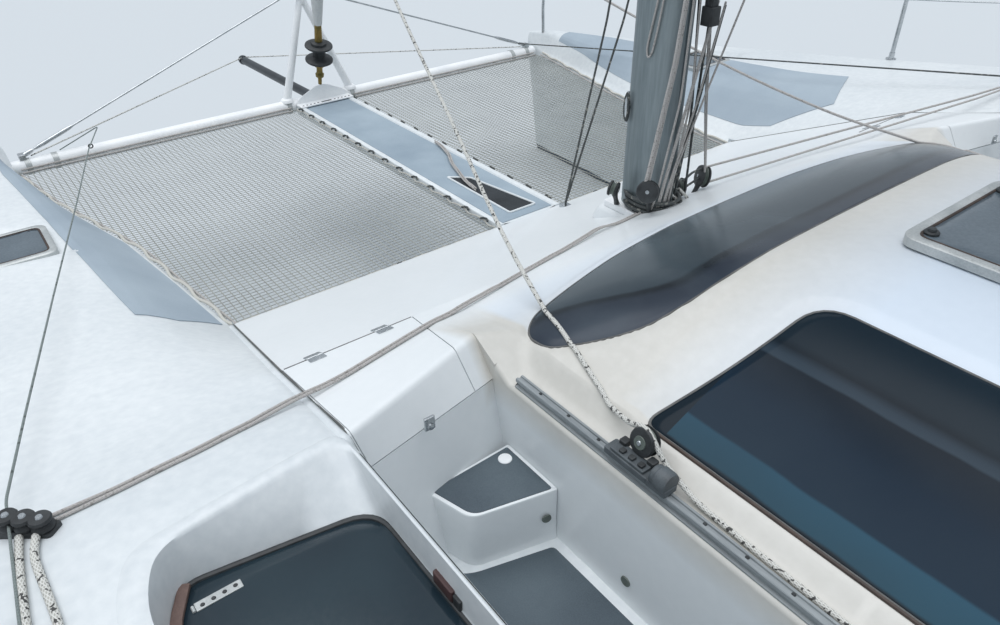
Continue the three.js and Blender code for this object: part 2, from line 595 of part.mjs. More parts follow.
// x, half width and height above the boom
const sailRings = [
  [BOOM.x0 - 140, 90, 330], [700, 130, 330], [-700, 120, 270], [-1900, 90, 190], [-2450, 55, 110],
];
const coverShape = loft(sailRings.map(([x, w, h]) => [
  [x, -0.55 * w, BOOM.z + BOOM.long + GAP], [x, -w, BOOM.z + BOOM.long + 0.35 * h],
  [x, -0.62 * w, BOOM.z + BOOM.long + 0.8 * h], [x, 0, BOOM.z + BOOM.long + h],
  [x, 0.62 * w, BOOM.z + BOOM.long + 0.8 * h], [x, w, BOOM.z + BOOM.long + 0.35 * h],
  [x, 0.55 * w, BOOM.z + BOOM.long + GAP],
]));
add('stowed_mainsail', coverShape, 'cover');

// Forestay with the furled genoa and its drum. The stay turns in its fork at the chainplate.
const TACK = new THREE.Vector3(4688, 0, 900);
const HEAD = new THREE.Vector3(MAST_X + MAST.long + 30, 0, HOUNDS);
const stayPoint = (d) => TACK.clone().addScaledVector(HEAD.clone().sub(TACK).normalize(), d).toArray();
const stayLength = HEAD.distanceTo(TACK);
add('chainplate', cut(join(
  box(4640, 4702, -140, 140, DECK + GAP, 812), box(4676, 4700, -10, 10, 806, 905)),
  bar([BEAM_X, -300, 790], [BEAM_X, 300, 790], BEAM_R + GAP, 24)), 'steel');
add('furled_genoa', join(
  bar(stayPoint(8), stayPoint(180), 9, 12), bar(stayPoint(170), stayPoint(205), 88, 20),
  bar(stayPoint(200), stayPoint(262), 40, 16), bar(stayPoint(258), stayPoint(285), 88, 20),
  bar(stayPoint(280), stayPoint(420), 26, 14), bar(stayPoint(415), stayPoint(5200), 40, 14, 52),
  bar(stayPoint(5190), stayPoint(stayLength - 700), 52, 14, 30),
  bar(stayPoint(stayLength - 710), stayPoint(stayLength - 12), 9, 12)), 'sail');

// Shrouds to the hulls: a cap shroud over the spreader and a lower shroud on each side.
// Each is a wire that is thicker over its screw at the foot.
const WIRE = 5;
const SCREW = 12;
function wire(points) {
  return loft(points.map(([x, y, z, r]) => {
    const ring = [];
    for (let a = 0; a < 8; a++) {
      ring.push([x + r * Math.cos((a * Math.PI) / 4), y + r * Math.sin((a * Math.PI) / 4), z]);
    }
    return ring;
  }));
}
function stay(x, y, [tipX, tipY, tipZ]) {
  const foot = hullTop(x, y) + 2;
  const at = (z) => {
    const t = (z - foot) / (tipZ - foot);
    return [x + (tipX - x) * t, y + (tipY - y) * t, z];
  };
  return [[...at(foot), SCREW], [...at(foot + 300), SCREW], [...at(foot + 330), WIRE],
    [tipX, tipY, tipZ, WIRE]];
}
const capShroud = wire([...stay(980, 2480, [MAST_X - 175, 915, SPREADER_Z]),
  [MAST_X, MAST.wide + WIRE + GAP, HOUNDS, WIRE]]);
const lowerShroud = wire(stay(1060, 2470, [MAST_X, MAST.wide + WIRE + GAP, SPREADER_Z - 60]));
add('shroud_port', capShroud, 'steel');
add('shroud_starboard', mirrored(capShroud), 'steel');
add('lower_shroud_port', lowerShroud, 'steel');
add('lower_shroud_starboard', mirrored(lowerShroud), 'steel');

// Genoa tracks, cars and winches

const TRACK = { x0: -900, x1: 1130, y0: 1120, y1: 1156, z: LEDGE };
const track = box(TRACK.x0, TRACK.x1, TRACK.y0, TRACK.y1, TRACK.z + GAP, TRACK.z + 26);
add('genoa_track_port', track, 'dark');
add('genoa_track_starboard', mirrored(track), 'dark');
const car = join(box(640, 822, 1112, 1156, TRACK.z + 26 + GAP, TRACK.z + 56),
  bar([748, 1092, 1288], [748, 1122, 1284], 36, 18), box(726, 770, 1095, 1128, TRACK.z + 40, 1284));
add('genoa_car_port', car, 'dark');
add('genoa_car_starboard', mirrored(car), 'dark');

const winchProfile = [
  [0, 0], [75, 0], [75, 30], [52, 50], [50, 110], [66, 130], [66, 150], [30, 165], [0, 165],
];
const winches = [hullAbove, mirrored(hullAbove)].map((under, i) => {
  const drum = turned(winchProfile).translate(-1900, i === 0 ? 1760 : -1760, 1284);
  return cut(drum, under);
});
add('winch_port', winches[0], 'steel');
add('winch_starboard', winches[1], 'steel');

// Steering: pedestal with wheel, rudders under the sterns

add('helm_pedestal', box(-2150, -2000, -750, -450, SOLE + GAP, 1330), 'gelcoat');
const WHEEL = { x: -2175, y: -600, z: 1250, r: 320 };
const rim = new THREE.TorusGeometry(WHEEL.r, 14, 8, 32).rotateY(Math.PI / 2);
rim.translate(WHEEL.x, WHEEL.y, WHEEL.z);
const spokes = [];
for (let i = 0; i < 5; i++) {
  const a = (i * 2 * Math.PI) / 5;
  spokes.push(bar([WHEEL.x, WHEEL.y, WHEEL.z],
    [WHEEL.x, WHEEL.y + WHEEL.r * Math.sin(a), WHEEL.z + WHEEL.r * Math.cos(a)], 8, 8));
}
const wheelHub = bar([WHEEL.x - 20, WHEEL.y, WHEEL.z], [WHEEL.x + 24.7, WHEEL.y, WHEEL.z], 38, 16);
add('steering_wheel', join(rim, wheelHub, ...spokes), 'steel');

const RUDDER = { x: -4080, y: 1960 };
const rudderBlade = loft([[-172, 1], [-900, 0.72]].map(([z, k]) => [
  [RUDDER.x + 90 * k, RUDDER.y, z], [RUDDER.x + 30, RUDDER.y + 22 * k, z],
  [RUDDER.x - 270 * k, RUDDER.y + 3, z], [RUDDER.x - 270 * k, RUDDER.y - 3, z],
  [RUDDER.x + 30, RUDDER.y - 22 * k, z],
]));

// the stock turns in a bore that is a little wider than it
const STOCK = { r: 20 };
const rudderStock = bar([RUDDER.x, RUDDER.y, -190], [RUDDER.x, RUDDER.y, 285], STOCK.r, 24);
const rudder = join(rudderBlade, rudderStock);
add('rudder_port', rudder, 'keel');
add('rudder_starboard', mirrored(rudder), 'keel');

// Sail drives and their propellers, ahead of the rudders

const DRIVE = { x: -3050, y: 1960, z: -640 };
const driveLeg = join(
  slabZ([[DRIVE.x + 80, DRIVE.y], [DRIVE.x + 20, DRIVE.y + 30], [DRIVE.x - 100, DRIVE.y],
    [DRIVE.x + 20, DRIVE.y - 30]], -600, -150),
  bar([DRIVE.x + 110, DRIVE.y, DRIVE.z], [DRIVE.x - 120, DRIVE.y, DRIVE.z], 52, 16, 40),
  box(DRIVE.x - 60, DRIVE.x + 40, DRIVE.y - 12, DRIVE.y + 12, -660, -560));
const drive = cut(driveLeg, hullBelow);
add('sail_drive_port', drive, 'keel');
add('sail_drive_starboard', mirrored(drive), 'keel');

const HUB_X = DRIVE.x - 120 - GAP;
// distance from the shaft, half width, half thickness and pitch of the blade
const bladeRings = [[20, 26, 9, 0.9], [90, 62, 6, 0.65], [150, 66, 4, 0.5], [190, 34, 3, 0.4]];
const blades = [];
for (let i = 0; i < 3; i++) {
  const blade = loft(bladeRings.map(([r, half, t, pitch]) => {
    const [c, s] = [Math.cos(pitch), Math.sin(pitch)];
    const corners = [[-half, -t], [half, -t], [half, t], [-half, t]];
    return corners.map(([u, v]) => [u * s - v * c, u * c + v * s, r]);
  }));
  blade.rotateX((i * 2 * Math.PI) / 3).translate(HUB_X - 45, DRIVE.y, DRIVE.z);
  blades.push(blade);
}
const propHub = bar([HUB_X, DRIVE.y, DRIVE.z], [HUB_X - 95, DRIVE.y, DRIVE.z], 38, 16, 20);
const propeller = join(propHub, ...blades);
add('propeller_port', propeller, 'bronze');
add('propeller_starboard', mirrored(propeller), 'bronze');

// Traveller beam across the after end of the cockpit
const beamAft = box(-3300, -3180, -1600, 1600, 980, 1110);
const hullInboard = hullShell.clone().translate(0, -GAP, 0);
add('traveller_beam', cut(beamAft, hullInboard, mirrored(hullInboard)), 'gelcoat');

// Guard rails: posts on the outer gunwales with two wires, closed by a pulpit at the bow
// x, y and deck height of each post

const POSTS = [
  [3900, 2250, 968], [2200, 2516, 1145], [1200, 2530, 1268], [-300, 2530, 1276], [-1800, 2520, 1266],
  [-3200, 2470, 1230],
];
const RAIL_H = 610;
const railPieces = POSTS.map(([x, y, z]) => bar([x, y, z - 30], [x, y, z + RAIL_H], 12, 10));
for (let i = 0; i + 1 < POSTS.length; i++) {
  for (const h of [RAIL_H - 8, 320]) {
    const [a, b] = [POSTS[i], POSTS[i + 1]];
    railPieces.push(bar([a[0], a[1], a[2] + h], [b[0], b[1], b[2] + h], 5, 6));
  }
}
railPieces.push(bentTube([[3900, 2250, 1560], [4320, 2120, 1560], [4620, 1960, 1500], [4672, 1918, 1200],
  [4672, 1915, 910]], 12, 8, 20));
const rails = cut(join(...railPieces), hullAbove);
add('rails_port', rails, 'steel');
add('rails_starboard', mirrored(rails), 'steel');

// Turning blocks at the mast foot and the rows of sheaves on the side decks

// x, y, turn and height of the axle of each block at the mast foot
const blockSpots = [
  [1731, -133, 0.6, 1167], [1722, -258, 0.2, 1180], [1640, 150, -0.6, 1262], [1822, 135, 0.1, 1205],
];
const blockPieces = blockSpots.map(([x, y, turn, z]) => {
  const cheek = bar([0, -18, 0], [0, 18, 0], 38, 16).rotateZ(turn).translate(x, y, z);
  return join(cheek, box(x - 12, x + 12, y - 12, y + 12, slopeZ(x) + 6, z));
});
const [plateAft, plateFore] = [MAST_X - 185, MAST_X + 190];
const footPlate = slabY([[plateAft, slopeZ(plateAft) - 4], [plateAft, slopeZ(plateAft) + 8],
  [plateFore, slopeZ(plateFore) + 8], [plateFore, slopeZ(plateFore) - 4]], -275, 235);
add('mast_blocks', cut(join(...blockPieces, footPlate), wedgeSide.clone().translate(0, 0, GAP),
  box(MAST_X - 150, MAST_X + 150, -110, 110, 1000, 1400)), 'dark');

// three upright sheaves on one slanting foot
const SHEAVE_SPOTS = [[1284, 2162], [1307, 2187], [1330, 2212]];
const sheaveFoot = slabZ([[1247, 2161], [1285, 2125], [1369, 2213], [1331, 2249]], 1262, 1298);
const sheaveRow = join(sheaveFoot, ...SHEAVE_SPOTS.map(([x, y]) => (
  turned([[0, 0], [17, 0], [21, 12], [17, 26], [0, 26]], 16).translate(x, y, 1292))));
const sheaves = cut(sheaveRow, hullAbove);
add('deck_sheaves_port', sheaves, 'dark');
add('deck_sheaves_starboard', mirrored(sheaves), 'dark');

export default boat;
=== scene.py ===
# %% [markdown]
# # Dressing a sailing catamaran
#
# The frame holds the boat's real pieces: two hulls, the deck between them, nets, mast and stays, with
# every hinge and pivot in its place. This lesson gives them their looks: moulded glassfibre with its soft
# edges, smoked acrylic, netting, braided rope, anodised spars. Everything is in metres, +X forward,
# +Y to port, +Z up, and z = 0 is the waterline.

# %% Load the frame
import json
import math

import bpy
import numpy as np
from mathutils import Matrix, Vector
from mathutils.bvhtree import BVHTree


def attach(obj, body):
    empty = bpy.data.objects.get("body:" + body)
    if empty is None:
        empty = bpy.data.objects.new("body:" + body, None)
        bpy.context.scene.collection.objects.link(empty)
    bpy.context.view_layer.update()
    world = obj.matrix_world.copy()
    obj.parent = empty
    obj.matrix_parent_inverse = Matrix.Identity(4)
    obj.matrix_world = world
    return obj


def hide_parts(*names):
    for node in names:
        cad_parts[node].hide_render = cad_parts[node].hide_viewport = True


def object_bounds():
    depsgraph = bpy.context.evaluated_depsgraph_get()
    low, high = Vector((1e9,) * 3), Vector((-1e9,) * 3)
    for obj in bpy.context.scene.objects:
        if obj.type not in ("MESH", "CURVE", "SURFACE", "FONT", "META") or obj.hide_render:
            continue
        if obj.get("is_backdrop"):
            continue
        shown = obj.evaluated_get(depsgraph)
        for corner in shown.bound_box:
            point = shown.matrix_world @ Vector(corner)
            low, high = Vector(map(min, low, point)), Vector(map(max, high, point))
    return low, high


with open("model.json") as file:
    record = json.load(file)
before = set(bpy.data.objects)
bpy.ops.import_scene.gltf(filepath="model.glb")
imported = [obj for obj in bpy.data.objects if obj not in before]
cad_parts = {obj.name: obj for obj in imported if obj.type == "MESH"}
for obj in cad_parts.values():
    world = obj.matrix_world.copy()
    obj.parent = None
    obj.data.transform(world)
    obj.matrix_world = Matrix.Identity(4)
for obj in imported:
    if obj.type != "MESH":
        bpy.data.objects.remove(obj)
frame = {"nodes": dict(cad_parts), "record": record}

CAD_BOX = [list(corner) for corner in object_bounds()]
MM = 0.001

# %% [markdown]
# ## The camera
#
# The picture was taken standing on the port side deck, looking forward and to starboard. A picture of
# something built with square corners gives the camera away: all lines that run forward meet at one
# point of the picture, and all lines that run athwartships meet at another. Those two points and the
# focal length in pixels fix the directions, and the eye height fixes the scale.

# %% Camera from two vanishing points
EYE = Vector((0.0, 2.034, 2.400))
IMAGE_WIDTH, IMAGE_CENTRE = 1000, (500, 312.5)
FOCAL_PX = 748
FORWARD_AT = (-180, -177)
STARBOARD_AT = (1704, -216)
SENSOR_MM = 36


def sight(pixel):
    """Direction through a pixel in camera axes: right, down and into the picture."""
    across, down = pixel[0] - IMAGE_CENTRE[0], pixel[1] - IMAGE_CENTRE[1]
    return Vector((across, down, FOCAL_PX)).normalized()


forward = sight(FORWARD_AT)
up = forward.cross(-sight(STARBOARD_AT)).normalized()
port = up.cross(forward)
camera = bpy.data.objects.new("camera", bpy.data.cameras.new("camera"))
bpy.context.scene.collection.objects.link(camera)
axes = Matrix((forward, port, up))
camera.matrix_world = Matrix.Translation(EYE) @ (axes @ Matrix.Diagonal((1, -1, -1))).to_4x4()
camera.data.sensor_width = SENSOR_MM
camera.data.lens = FOCAL_PX / IMAGE_WIDTH * SENSOR_MM
camera.data.clip_start, camera.data.clip_end = 0.05, 400
bpy.context.scene.camera = camera
print("camera looks along", [round(v, 3) for v in -camera.matrix_world.col[2].xyz], "lens", camera.data.lens)

# %% [markdown]
# ## Colours and nodes
#
# Colours are written as sRGB hex values, the way a paint card is read off, and one function turns them
# to the linear values that a shader works in. One small function adds any node with its settings and
# links, so that each finish below reads as a list of what it is made of.

# %% Helpers for finishes


def hue(code):
    """Linear colour of an sRGB hex value."""
    srgb = np.array([int(code[i:i + 2], 16) for i in (0, 2, 4)]) / 255
    linear = np.where(srgb <= 0.04045, srgb / 12.92, ((srgb + 0.055) / 1.055) ** 2.4)
    return (*linear.tolist(), 1.0)


def put(tree, kind, settings=None, links=None):
    """Adds a node, sets its properties or inputs, and links the sockets given."""
    made = tree.nodes.new(kind)
    for key, value in (settings or {}).items():
        if isinstance(key, str) and hasattr(made, key):
            setattr(made, key, value)
        else:
            made.inputs[key].default_value = value
    for key, socket in (links or {}).items():
        tree.links.new(socket, made.inputs[key])
    return made


def finish(name, colour, roughness, **sockets):
    """A material with a shader of one colour and roughness, ready for its pattern."""
    material = bpy.data.materials.new(name)
    material.use_nodes = True
    shader = material.node_tree.nodes["Principled BSDF"]
    shader.inputs["Base Color"].default_value = hue(colour)
    shader.inputs["Roughness"].default_value = roughness
    for key, value in sockets.items():
        shader.inputs[key.replace("_", " ")].default_value = value
    return material, material.node_tree, shader


def weather(tree, shader, dark, light, patch_mm, grain_mm, rough, relief_mm, stretch=(1, 1, 1)):
    """Cloudy wear: broad patches drift between two colours, grain breaks them up and roughens the
    gloss, and the grain stands up by a small relief. Sizes are those of one patch and one grain."""
    place = put(tree, "ShaderNodeTexCoord").outputs["Object"]
    place = put(tree, "ShaderNodeMapping", {"Scale": stretch}, {"Vector": place}).outputs[0]
    broad = put(tree, "ShaderNodeTexNoise", {"Scale": 1 / (patch_mm * MM), "Detail": 5.0}, {"Vector": place})
    fine = put(tree, "ShaderNodeTexNoise", {"Scale": 1 / (grain_mm * MM), "Detail": 3.0}, {"Vector": place})
    both = put(tree, "ShaderNodeMix", {"data_type": "FLOAT", "Factor": 0.35},
               {2: broad.outputs[0], 3: fine.outputs[0]}).outputs[0]
    ramp = put(tree, "ShaderNodeValToRGB", links={"Fac": both})
    ramp.color_ramp.elements[0].position, ramp.color_ramp.elements[0].color = 0.34, hue(dark)
    ramp.color_ramp.elements[1].position, ramp.color_ramp.elements[1].color = 0.66, hue(light)
    tree.links.new(ramp.outputs[0], shader.inputs["Base Color"])
    gloss = put(tree, "ShaderNodeMapRange", {"To Min": rough[0], "To Max": rough[1]}, {"Value": both})
    tree.links.new(gloss.outputs[0], shader.inputs["Roughness"])
    bump = put(tree, "ShaderNodeBump", {"Strength": 0.6, "Distance": relief_mm * MM},
               {"Height": fine.outputs[0]})
    tree.links.new(bump.outputs[0], shader.inputs["Normal"])
    return ramp, bump


# %% [markdown]
# ## Moulded glassfibre
#
# Hulls and deck are laid up in polished moulds, with gelcoat as the outermost layer. It is glossy when
# new and chalks to a satin in the sun, with faint yellow and grey patches. Walking surfaces are painted
# with non-slip: a coating full of fine grit, whose grain of about 1 mm is drawn at 3 mm so that it shows.

# %% Gelcoat and non-slip
gelcoat, tree, shader = finish("gelcoat_satin_white", "dfe4e6", 0.38, IOR=1.5, Coat_Weight=0.15)
weather(tree, shader, "d3d9dc", "e9edee", 900, 26, (0.30, 0.44), 0.15)

cream, tree, shader = finish("gelcoat_sun_warmed", "dedad0", 0.4, IOR=1.5, Coat_Weight=0.15)
weather(tree, shader, "d6d0c4", "e6e4de", 700, 26, (0.32, 0.46), 0.15)

blue_grip, tree, shader = finish("non_slip_paint_pale_blue", "a9b9c4", 0.8, IOR=1.48)
weather(tree, shader, "98a6b2", "adbac3", 420, 3, (0.68, 0.86), 0.5)

grey_grip, tree, shader = finish("non_slip_paint_grey", "69757e", 0.8, IOR=1.48)
weather(tree, shader, "434e57", "5a666d", 260, 3, (0.66, 0.84), 0.5)

# %% [markdown]
# ## Metals
#
# Spars are extruded aluminium with a grey anodised skin, which ages in long pale streaks down its
# length. Deck fittings are polished stainless steel, the propellers cast bronze.

# %% Anodised, stainless and bronze
anodised, tree, shader = finish("anodised_aluminium_grey", "7b868a", 0.42, Metallic=0.55)
weather(tree, shader, "69757a", "8f999c", 90, 9, (0.34, 0.56), 0.1, stretch=(1, 1, 0.08))

stainless, tree, shader = finish("stainless_steel_polished", "c4c8ca", 0.24, Metallic=1.0)
weather(tree, shader, "a9aeb1", "d3d6d8", 60, 2, (0.16, 0.36), 0.05)

bronze, tree, shader = finish("cast_bronze", "8c7443", 0.4, Metallic=1.0)
weather(tree, shader, "6e6a45", "a2854f", 50, 5, (0.34, 0.6), 0.3)

white_spar, tree, shader = finish("painted_tube_white", "e4e6e6", 0.35, IOR=1.5)
weather(tree, shader, "eceff1", "fbfcfc", 160, 12, (0.28, 0.46), 0.1)

# %% [markdown]
# ## Plastics, acrylic and rubber
#
# Blocks and sheaves are black glass-filled nylon, dull where ropes have scuffed it. Windows are smoked
# acrylic: nearly black from outside, with the sky in its polished face. Gaskets are brown-black rubber.

# %% Nylon, acrylic and rubber
nylon, tree, shader = finish("glass_filled_nylon_black", "26292b", 0.5, IOR=1.5)
weather(tree, shader, "1b1d1f", "3c4042", 30, 2, (0.4, 0.65), 0.15)

rubber, tree, shader = finish("gasket_rubber_brown", "3a302c", 0.75, IOR=1.5)
weather(tree, shader, "2b2523", "54463f", 40, 3, (0.6, 0.85), 0.3)

smoked, tree, shader = finish("smoked_acrylic_navy", "142330", 0.06, IOR=1.49, Specular_IOR_Level=0.5)
weather(tree, shader, "0c1720", "1d3442", 600, 40, (0.04, 0.10), 0.02)

# %% [markdown]
# ## Cloth and bottom paint
#
# The boom cover is acrylic canvas, the furled headsail wears a pale sacrificial strip, and everything
# under the waterline is coated with matt antifouling.

# %% Canvas, sailcloth and antifouling
canvas, tree, shader = finish("acrylic_canvas_blue", "35495d", 0.9, IOR=1.4, Sheen_Weight=0.25)
weather(tree, shader, "2c3e51", "43596e", 180, 2.5, (0.82, 0.95), 0.4)

sailcloth, tree, shader = finish("laminated_sailcloth", "c9ccce", 0.7, IOR=1.45)
weather(tree, shader, "b9bdc0", "d8dadb", 120, 4, (0.6, 0.8), 0.3, stretch=(1, 1, 0.2))

antifouling, tree, shader = finish("antifouling_paint_blue", "2a3b4c", 0.85, IOR=1.45)
weather(tree, shader, "223140", "3a4c5c", 300, 6, (0.75, 0.92), 0.3)
print(len(bpy.data.materials), "finishes so far")

# %% [markdown]
# ## Kept nodes
#
# The frame's own nodes stay where they are, and most are replaced by a dressed piece that stands for
# them. Each still gets a finish, by its name or by its slot in the record, so that none is left bare.

# %% Finish of each kept node
KEPT = {
    "keel_port": antifouling, "keel_starboard": antifouling, "bridge_deck": gelcoat, "coachroof": cream,
    "hull_port": gelcoat, "hull_starboard": gelcoat, "foredeck": gelcoat,
}
BY_SLOT = {"gelcoat": gelcoat, "cabin": cream, "grip": blue_grip, "sole": grey_grip, "spar": anodised,
           "steel": stainless, "dark": nylon, "glass": smoked, "net": rubber, "sail": sailcloth,
           "cover": canvas, "keel": antifouling, "bronze": bronze}
SLOT_OF = {row["node"]: row["material_slot"] for row in frame["record"]["subparts"]}
for name, node in frame["nodes"].items():
    node.data.materials.clear()
    node.data.materials.append(KEPT.get(name, BY_SLOT[SLOT_OF[name]]))

# %% [markdown]
# ## Studio
#
# A pale floor at the waterline and a broad soft light from above and slightly ahead, as under an
# overcast sky. The world's light fills the shadows.

# %% Floor and light
FLOOR_HALF = 90.0
floor_mesh = bpy.data.meshes.new("floor")
floor_mesh.from_pydata([(-FLOOR_HALF, -FLOOR_HALF, 0), (FLOOR_HALF, -FLOOR_HALF, 0),
                        (FLOOR_HALF, FLOOR_HALF, 0), (-FLOOR_HALF, FLOOR_HALF, 0)], [], [(0, 1, 2, 3)])
floor = bpy.data.objects.new("floor", floor_mesh)
bpy.context.scene.collection.objects.link(floor)
paper, tree, shader = finish("studio_paper_pale", "c9ced1", 0.9)
floor_mesh.materials.append(paper)
floor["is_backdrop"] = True

sky = bpy.data.lights.new("overcast", "SUN")
sky.energy, sky.angle = 2.05, math.radians(65)
sky.color = hue("fdfdff")[:3]
sky_object = bpy.data.objects.new("overcast", sky)
sky_object.rotation_euler = Vector((-0.06, -0.10, -1.0)).to_track_quat("-Z", "Y").to_euler()
bpy.context.scene.collection.objects.link(sky_object)
world = bpy.data.worlds.new("studio")
world.use_nodes = True
world.node_tree.nodes["Background"].inputs["Color"].default_value = hue("d6dfe8")
world.node_tree.nodes["Background"].inputs["Strength"].default_value = 0.75
bpy.context.scene.world = world
bpy.context.scene.view_settings.view_transform = "Standard"

# %% [markdown]
# ## Surfaces from arrays
#
# Every new piece is a surface: a grid of points worked out by a formula of two parameters, or a section
# carried along a path. The grid is one numpy array, so no vertex is placed by hand or by a loop. A part
# is a pair of arrays, points and faces, and a few helpers join, mirror and close parts.

# %% Grids, sections and paths


def skin(points, ring=False, loop=False):
    """Quads over a grid of points (rows, columns, 3). With ring, the last column joins the first one;
    with loop, the last row joins the first one."""
    index = np.arange(points.shape[0] * points.shape[1]).reshape(points.shape[:2])
    if ring:
        index = np.hstack([index, index[:, :1]])
    if loop:
        index = np.vstack([index, index[:1]])
    quads = np.stack([index[:-1, :-1], index[:-1, 1:], index[1:, 1:], index[1:, :-1]], -1)
    return points.reshape(-1, 3), [quads.reshape(-1, 4)]


def joined(*parts):
    """One part from several: their points in one array, their faces counted on."""
    starts = np.cumsum([0] + [len(points) for points, _ in parts])
    faces = [some + start for (_, groups), start in zip(parts, starts) for some in groups]
    return np.vstack([points for points, _ in parts]), faces


def twin(part):
    """The same part on the other side of the centreline, with its faces turned to stay outward."""
    points, faces = part
    return points * (1, -1, 1), [some[:, ::-1] for some in faces]


def outward(part):
    """Turns a closed part's faces if the volume inside them comes out negative."""
    points, faces = part
    volume = sum(np.einsum("ij,ij->", points[f[:, 0]], np.cross(points[f[:, k]], points[f[:, k + 1]]))
                 for f in faces for k in range(1, f.shape[1] - 1))
    return part if volume > 0 else (points, [some[:, ::-1] for some in faces])


def closed(rings):
    """A closed part over rings (rings, points, 3): its sides, and a fan of triangles on each end."""
    points, sides = skin(rings, ring=True)
    count, around = rings.shape[:2]
    here, onward = np.arange(around), np.roll(np.arange(around), -1)
    middle = len(points)
    near = np.stack([onward, here, np.full(around, middle)], -1)
    last = (count - 1) * around
    far = np.stack([last + here, last + onward, np.full(around, middle + 1)], -1)
    points = np.vstack([points, rings[0].mean(0), rings[-1].mean(0)])
    return outward((points, sides + [near, far]))


def eased(corners, radii, legs=1, turn=4, shut=False):
    """Points along polylines (..., corners, axes) with soft corners. Corner C becomes the curve
    (1-t)² A + 2t(1-t) C + t² B, where A and B lie one radius before and after it on its two legs.
    Each leg in between is divided evenly."""
    spot = np.asarray(corners, float)
    count = spot.shape[-2]
    radii = np.broadcast_to(np.asarray(radii, float), (count,))
    legs = np.broadcast_to(legs, (count,))
    back, on = np.roll(spot, 1, -2) - spot, np.roll(spot, -1, -2) - spot
    back_long = np.maximum(np.linalg.norm(back, axis=-1, keepdims=True), 1e-9)
    on_long = np.maximum(np.linalg.norm(on, axis=-1, keepdims=True), 1e-9)
    reach = np.minimum(radii[:, None], 0.49 * np.minimum(back_long, on_long))
    before, after = spot + back / back_long * reach, spot + on / on_long * reach
    t = np.linspace(0, 1, turn + 1)[:, None]
    out = []
    for k in range(count):
        if not shut and k in (0, count - 1):
            out.append(spot[..., k:k + 1, :])
            start = spot[..., k:k + 1, :]
        else:
            a, c, b = (v[..., k:k + 1, :] for v in (before, spot, after))
            out.append((1 - t) ** 2 * a + 2 * t * (1 - t) * c + t ** 2 * b)
            start = b
        if (shut or k < count - 1) and legs[k] > 1:
            following = (k + 1) % count
            is_end = not shut and following == count - 1
            stop = spot[..., following:following + 1, :] if is_end else before[..., following:following + 1, :]
            s = (np.arange(1, legs[k]) / legs[k])[:, None]
            out.append(start + (stop - start) * s)
    return np.concatenate(out, -2)


def flowing(points, per_span=8):
    """A smooth curve through points: each span is the Catmull-Rom blend of its four nearest points."""
    p = np.asarray(points, float)
    p = np.vstack([2 * p[0] - p[1], p, 2 * p[-1] - p[-2]])
    t = np.linspace(0, 1, per_span, endpoint=False)[None, :, None]
    a, b, c, d = (p[i:len(p) - 3 + i][:, None] for i in range(4))
    curve = 0.5 * (2 * b + (c - a) * t + (2 * a - 5 * b + 4 * c - d) * t ** 2
                   + (3 * b - a - 3 * c + d) * t ** 3)
    return np.vstack([curve.reshape(-1, p.shape[1]), p[-2]])


def carried(path, section, turned_by=None):
    """Rings of a section carried along a path. The section's first number goes to the side of the path
    and its second one upward. The side is square to the path and to the world axis it least follows."""
    path, section = np.asarray(path, float), np.asarray(section, float)
    along = np.gradient(path, axis=0)
    along /= np.linalg.norm(along, axis=1, keepdims=True)
    axis = np.eye(3)[np.abs(along).max(0).argmin()] if turned_by is None else np.asarray(turned_by, float)
    side = np.cross(axis, along)
    side /= np.linalg.norm(side, axis=1, keepdims=True)
    rise = np.cross(along, side)
    if section.ndim == 2:
        section = np.broadcast_to(section, (len(path), *section.shape))
    return path[:, None] + section[..., :1] * side[:, None] + section[..., 1:] * rise[:, None]


def outline(corners, radius, shut=True):
    """An outline seen from above with eased corners, as (n, 2) points."""
    return eased(corners, radius, shut=shut, turn=6, legs=6)


def distance_to(plan, x, y):
    """Signed distance of points to a closed outline: negative inside it."""
    a, b = plan, np.roll(plan, -1, 0)
    p = np.stack([x, y], -1)[..., None, :]
    edge = b - a
    t = np.clip(((p - a) * edge).sum(-1) / (edge ** 2).sum(-1), 0, 1)
    away = np.linalg.norm(p - a - t[..., None] * edge, axis=-1).min(-1)
    py = p[..., 1]
    crosses = (a[:, 1] > py) != (b[:, 1] > py)
    rise = np.where(b[:, 1] == a[:, 1], 1e-12, b[:, 1] - a[:, 1])
    left = p[..., 0] < a[:, 0] + (py - a[:, 1]) * (b[:, 0] - a[:, 0]) / rise
    inside = (crosses & left).sum(-1) % 2 == 1
    return np.where(inside, -away, away)


def disc(radius, sides=12):
    """A circle of that radius, as section points."""
    angle = np.arange(sides) * 2 * np.pi / sides
    return np.stack([radius * np.cos(angle), radius * np.sin(angle)], -1)


def tube(path, radius, sides=12):
    """A closed round bar along a path; the radius may be one number or one for each point."""
    path = np.asarray(path, float)
    sizes = np.broadcast_to(radius, (len(path),))
    return closed(carried(path, disc(1.0, sides)[None] * sizes[:, None, None]))


def block(x0, x1, y0, y1, z0, z1, soft=0.004):
    """A box with eased edges: its plan is an eased rectangle, drawn in at the bottom and the top."""
    plan = eased([(x0, y0), (x1, y0), (x1, y1), (x0, y1)], soft, shut=True)
    middle = np.array([(x0 + x1) / 2, (y0 + y1) / 2])
    half = np.array([(x1 - x0) / 2, (y1 - y0) / 2])
    levels = eased([(-soft, z0), (0, z0), (0, z1), (-soft, z1)], [0, soft, soft, 0])
    shrink = 1 + levels[:, None, :1] / half
    plane = middle + (plan - middle)[None] * shrink
    height = np.broadcast_to(levels[:, None, 1:], (*plane.shape[:2], 1))
    return closed(np.concatenate([plane, height], -1))


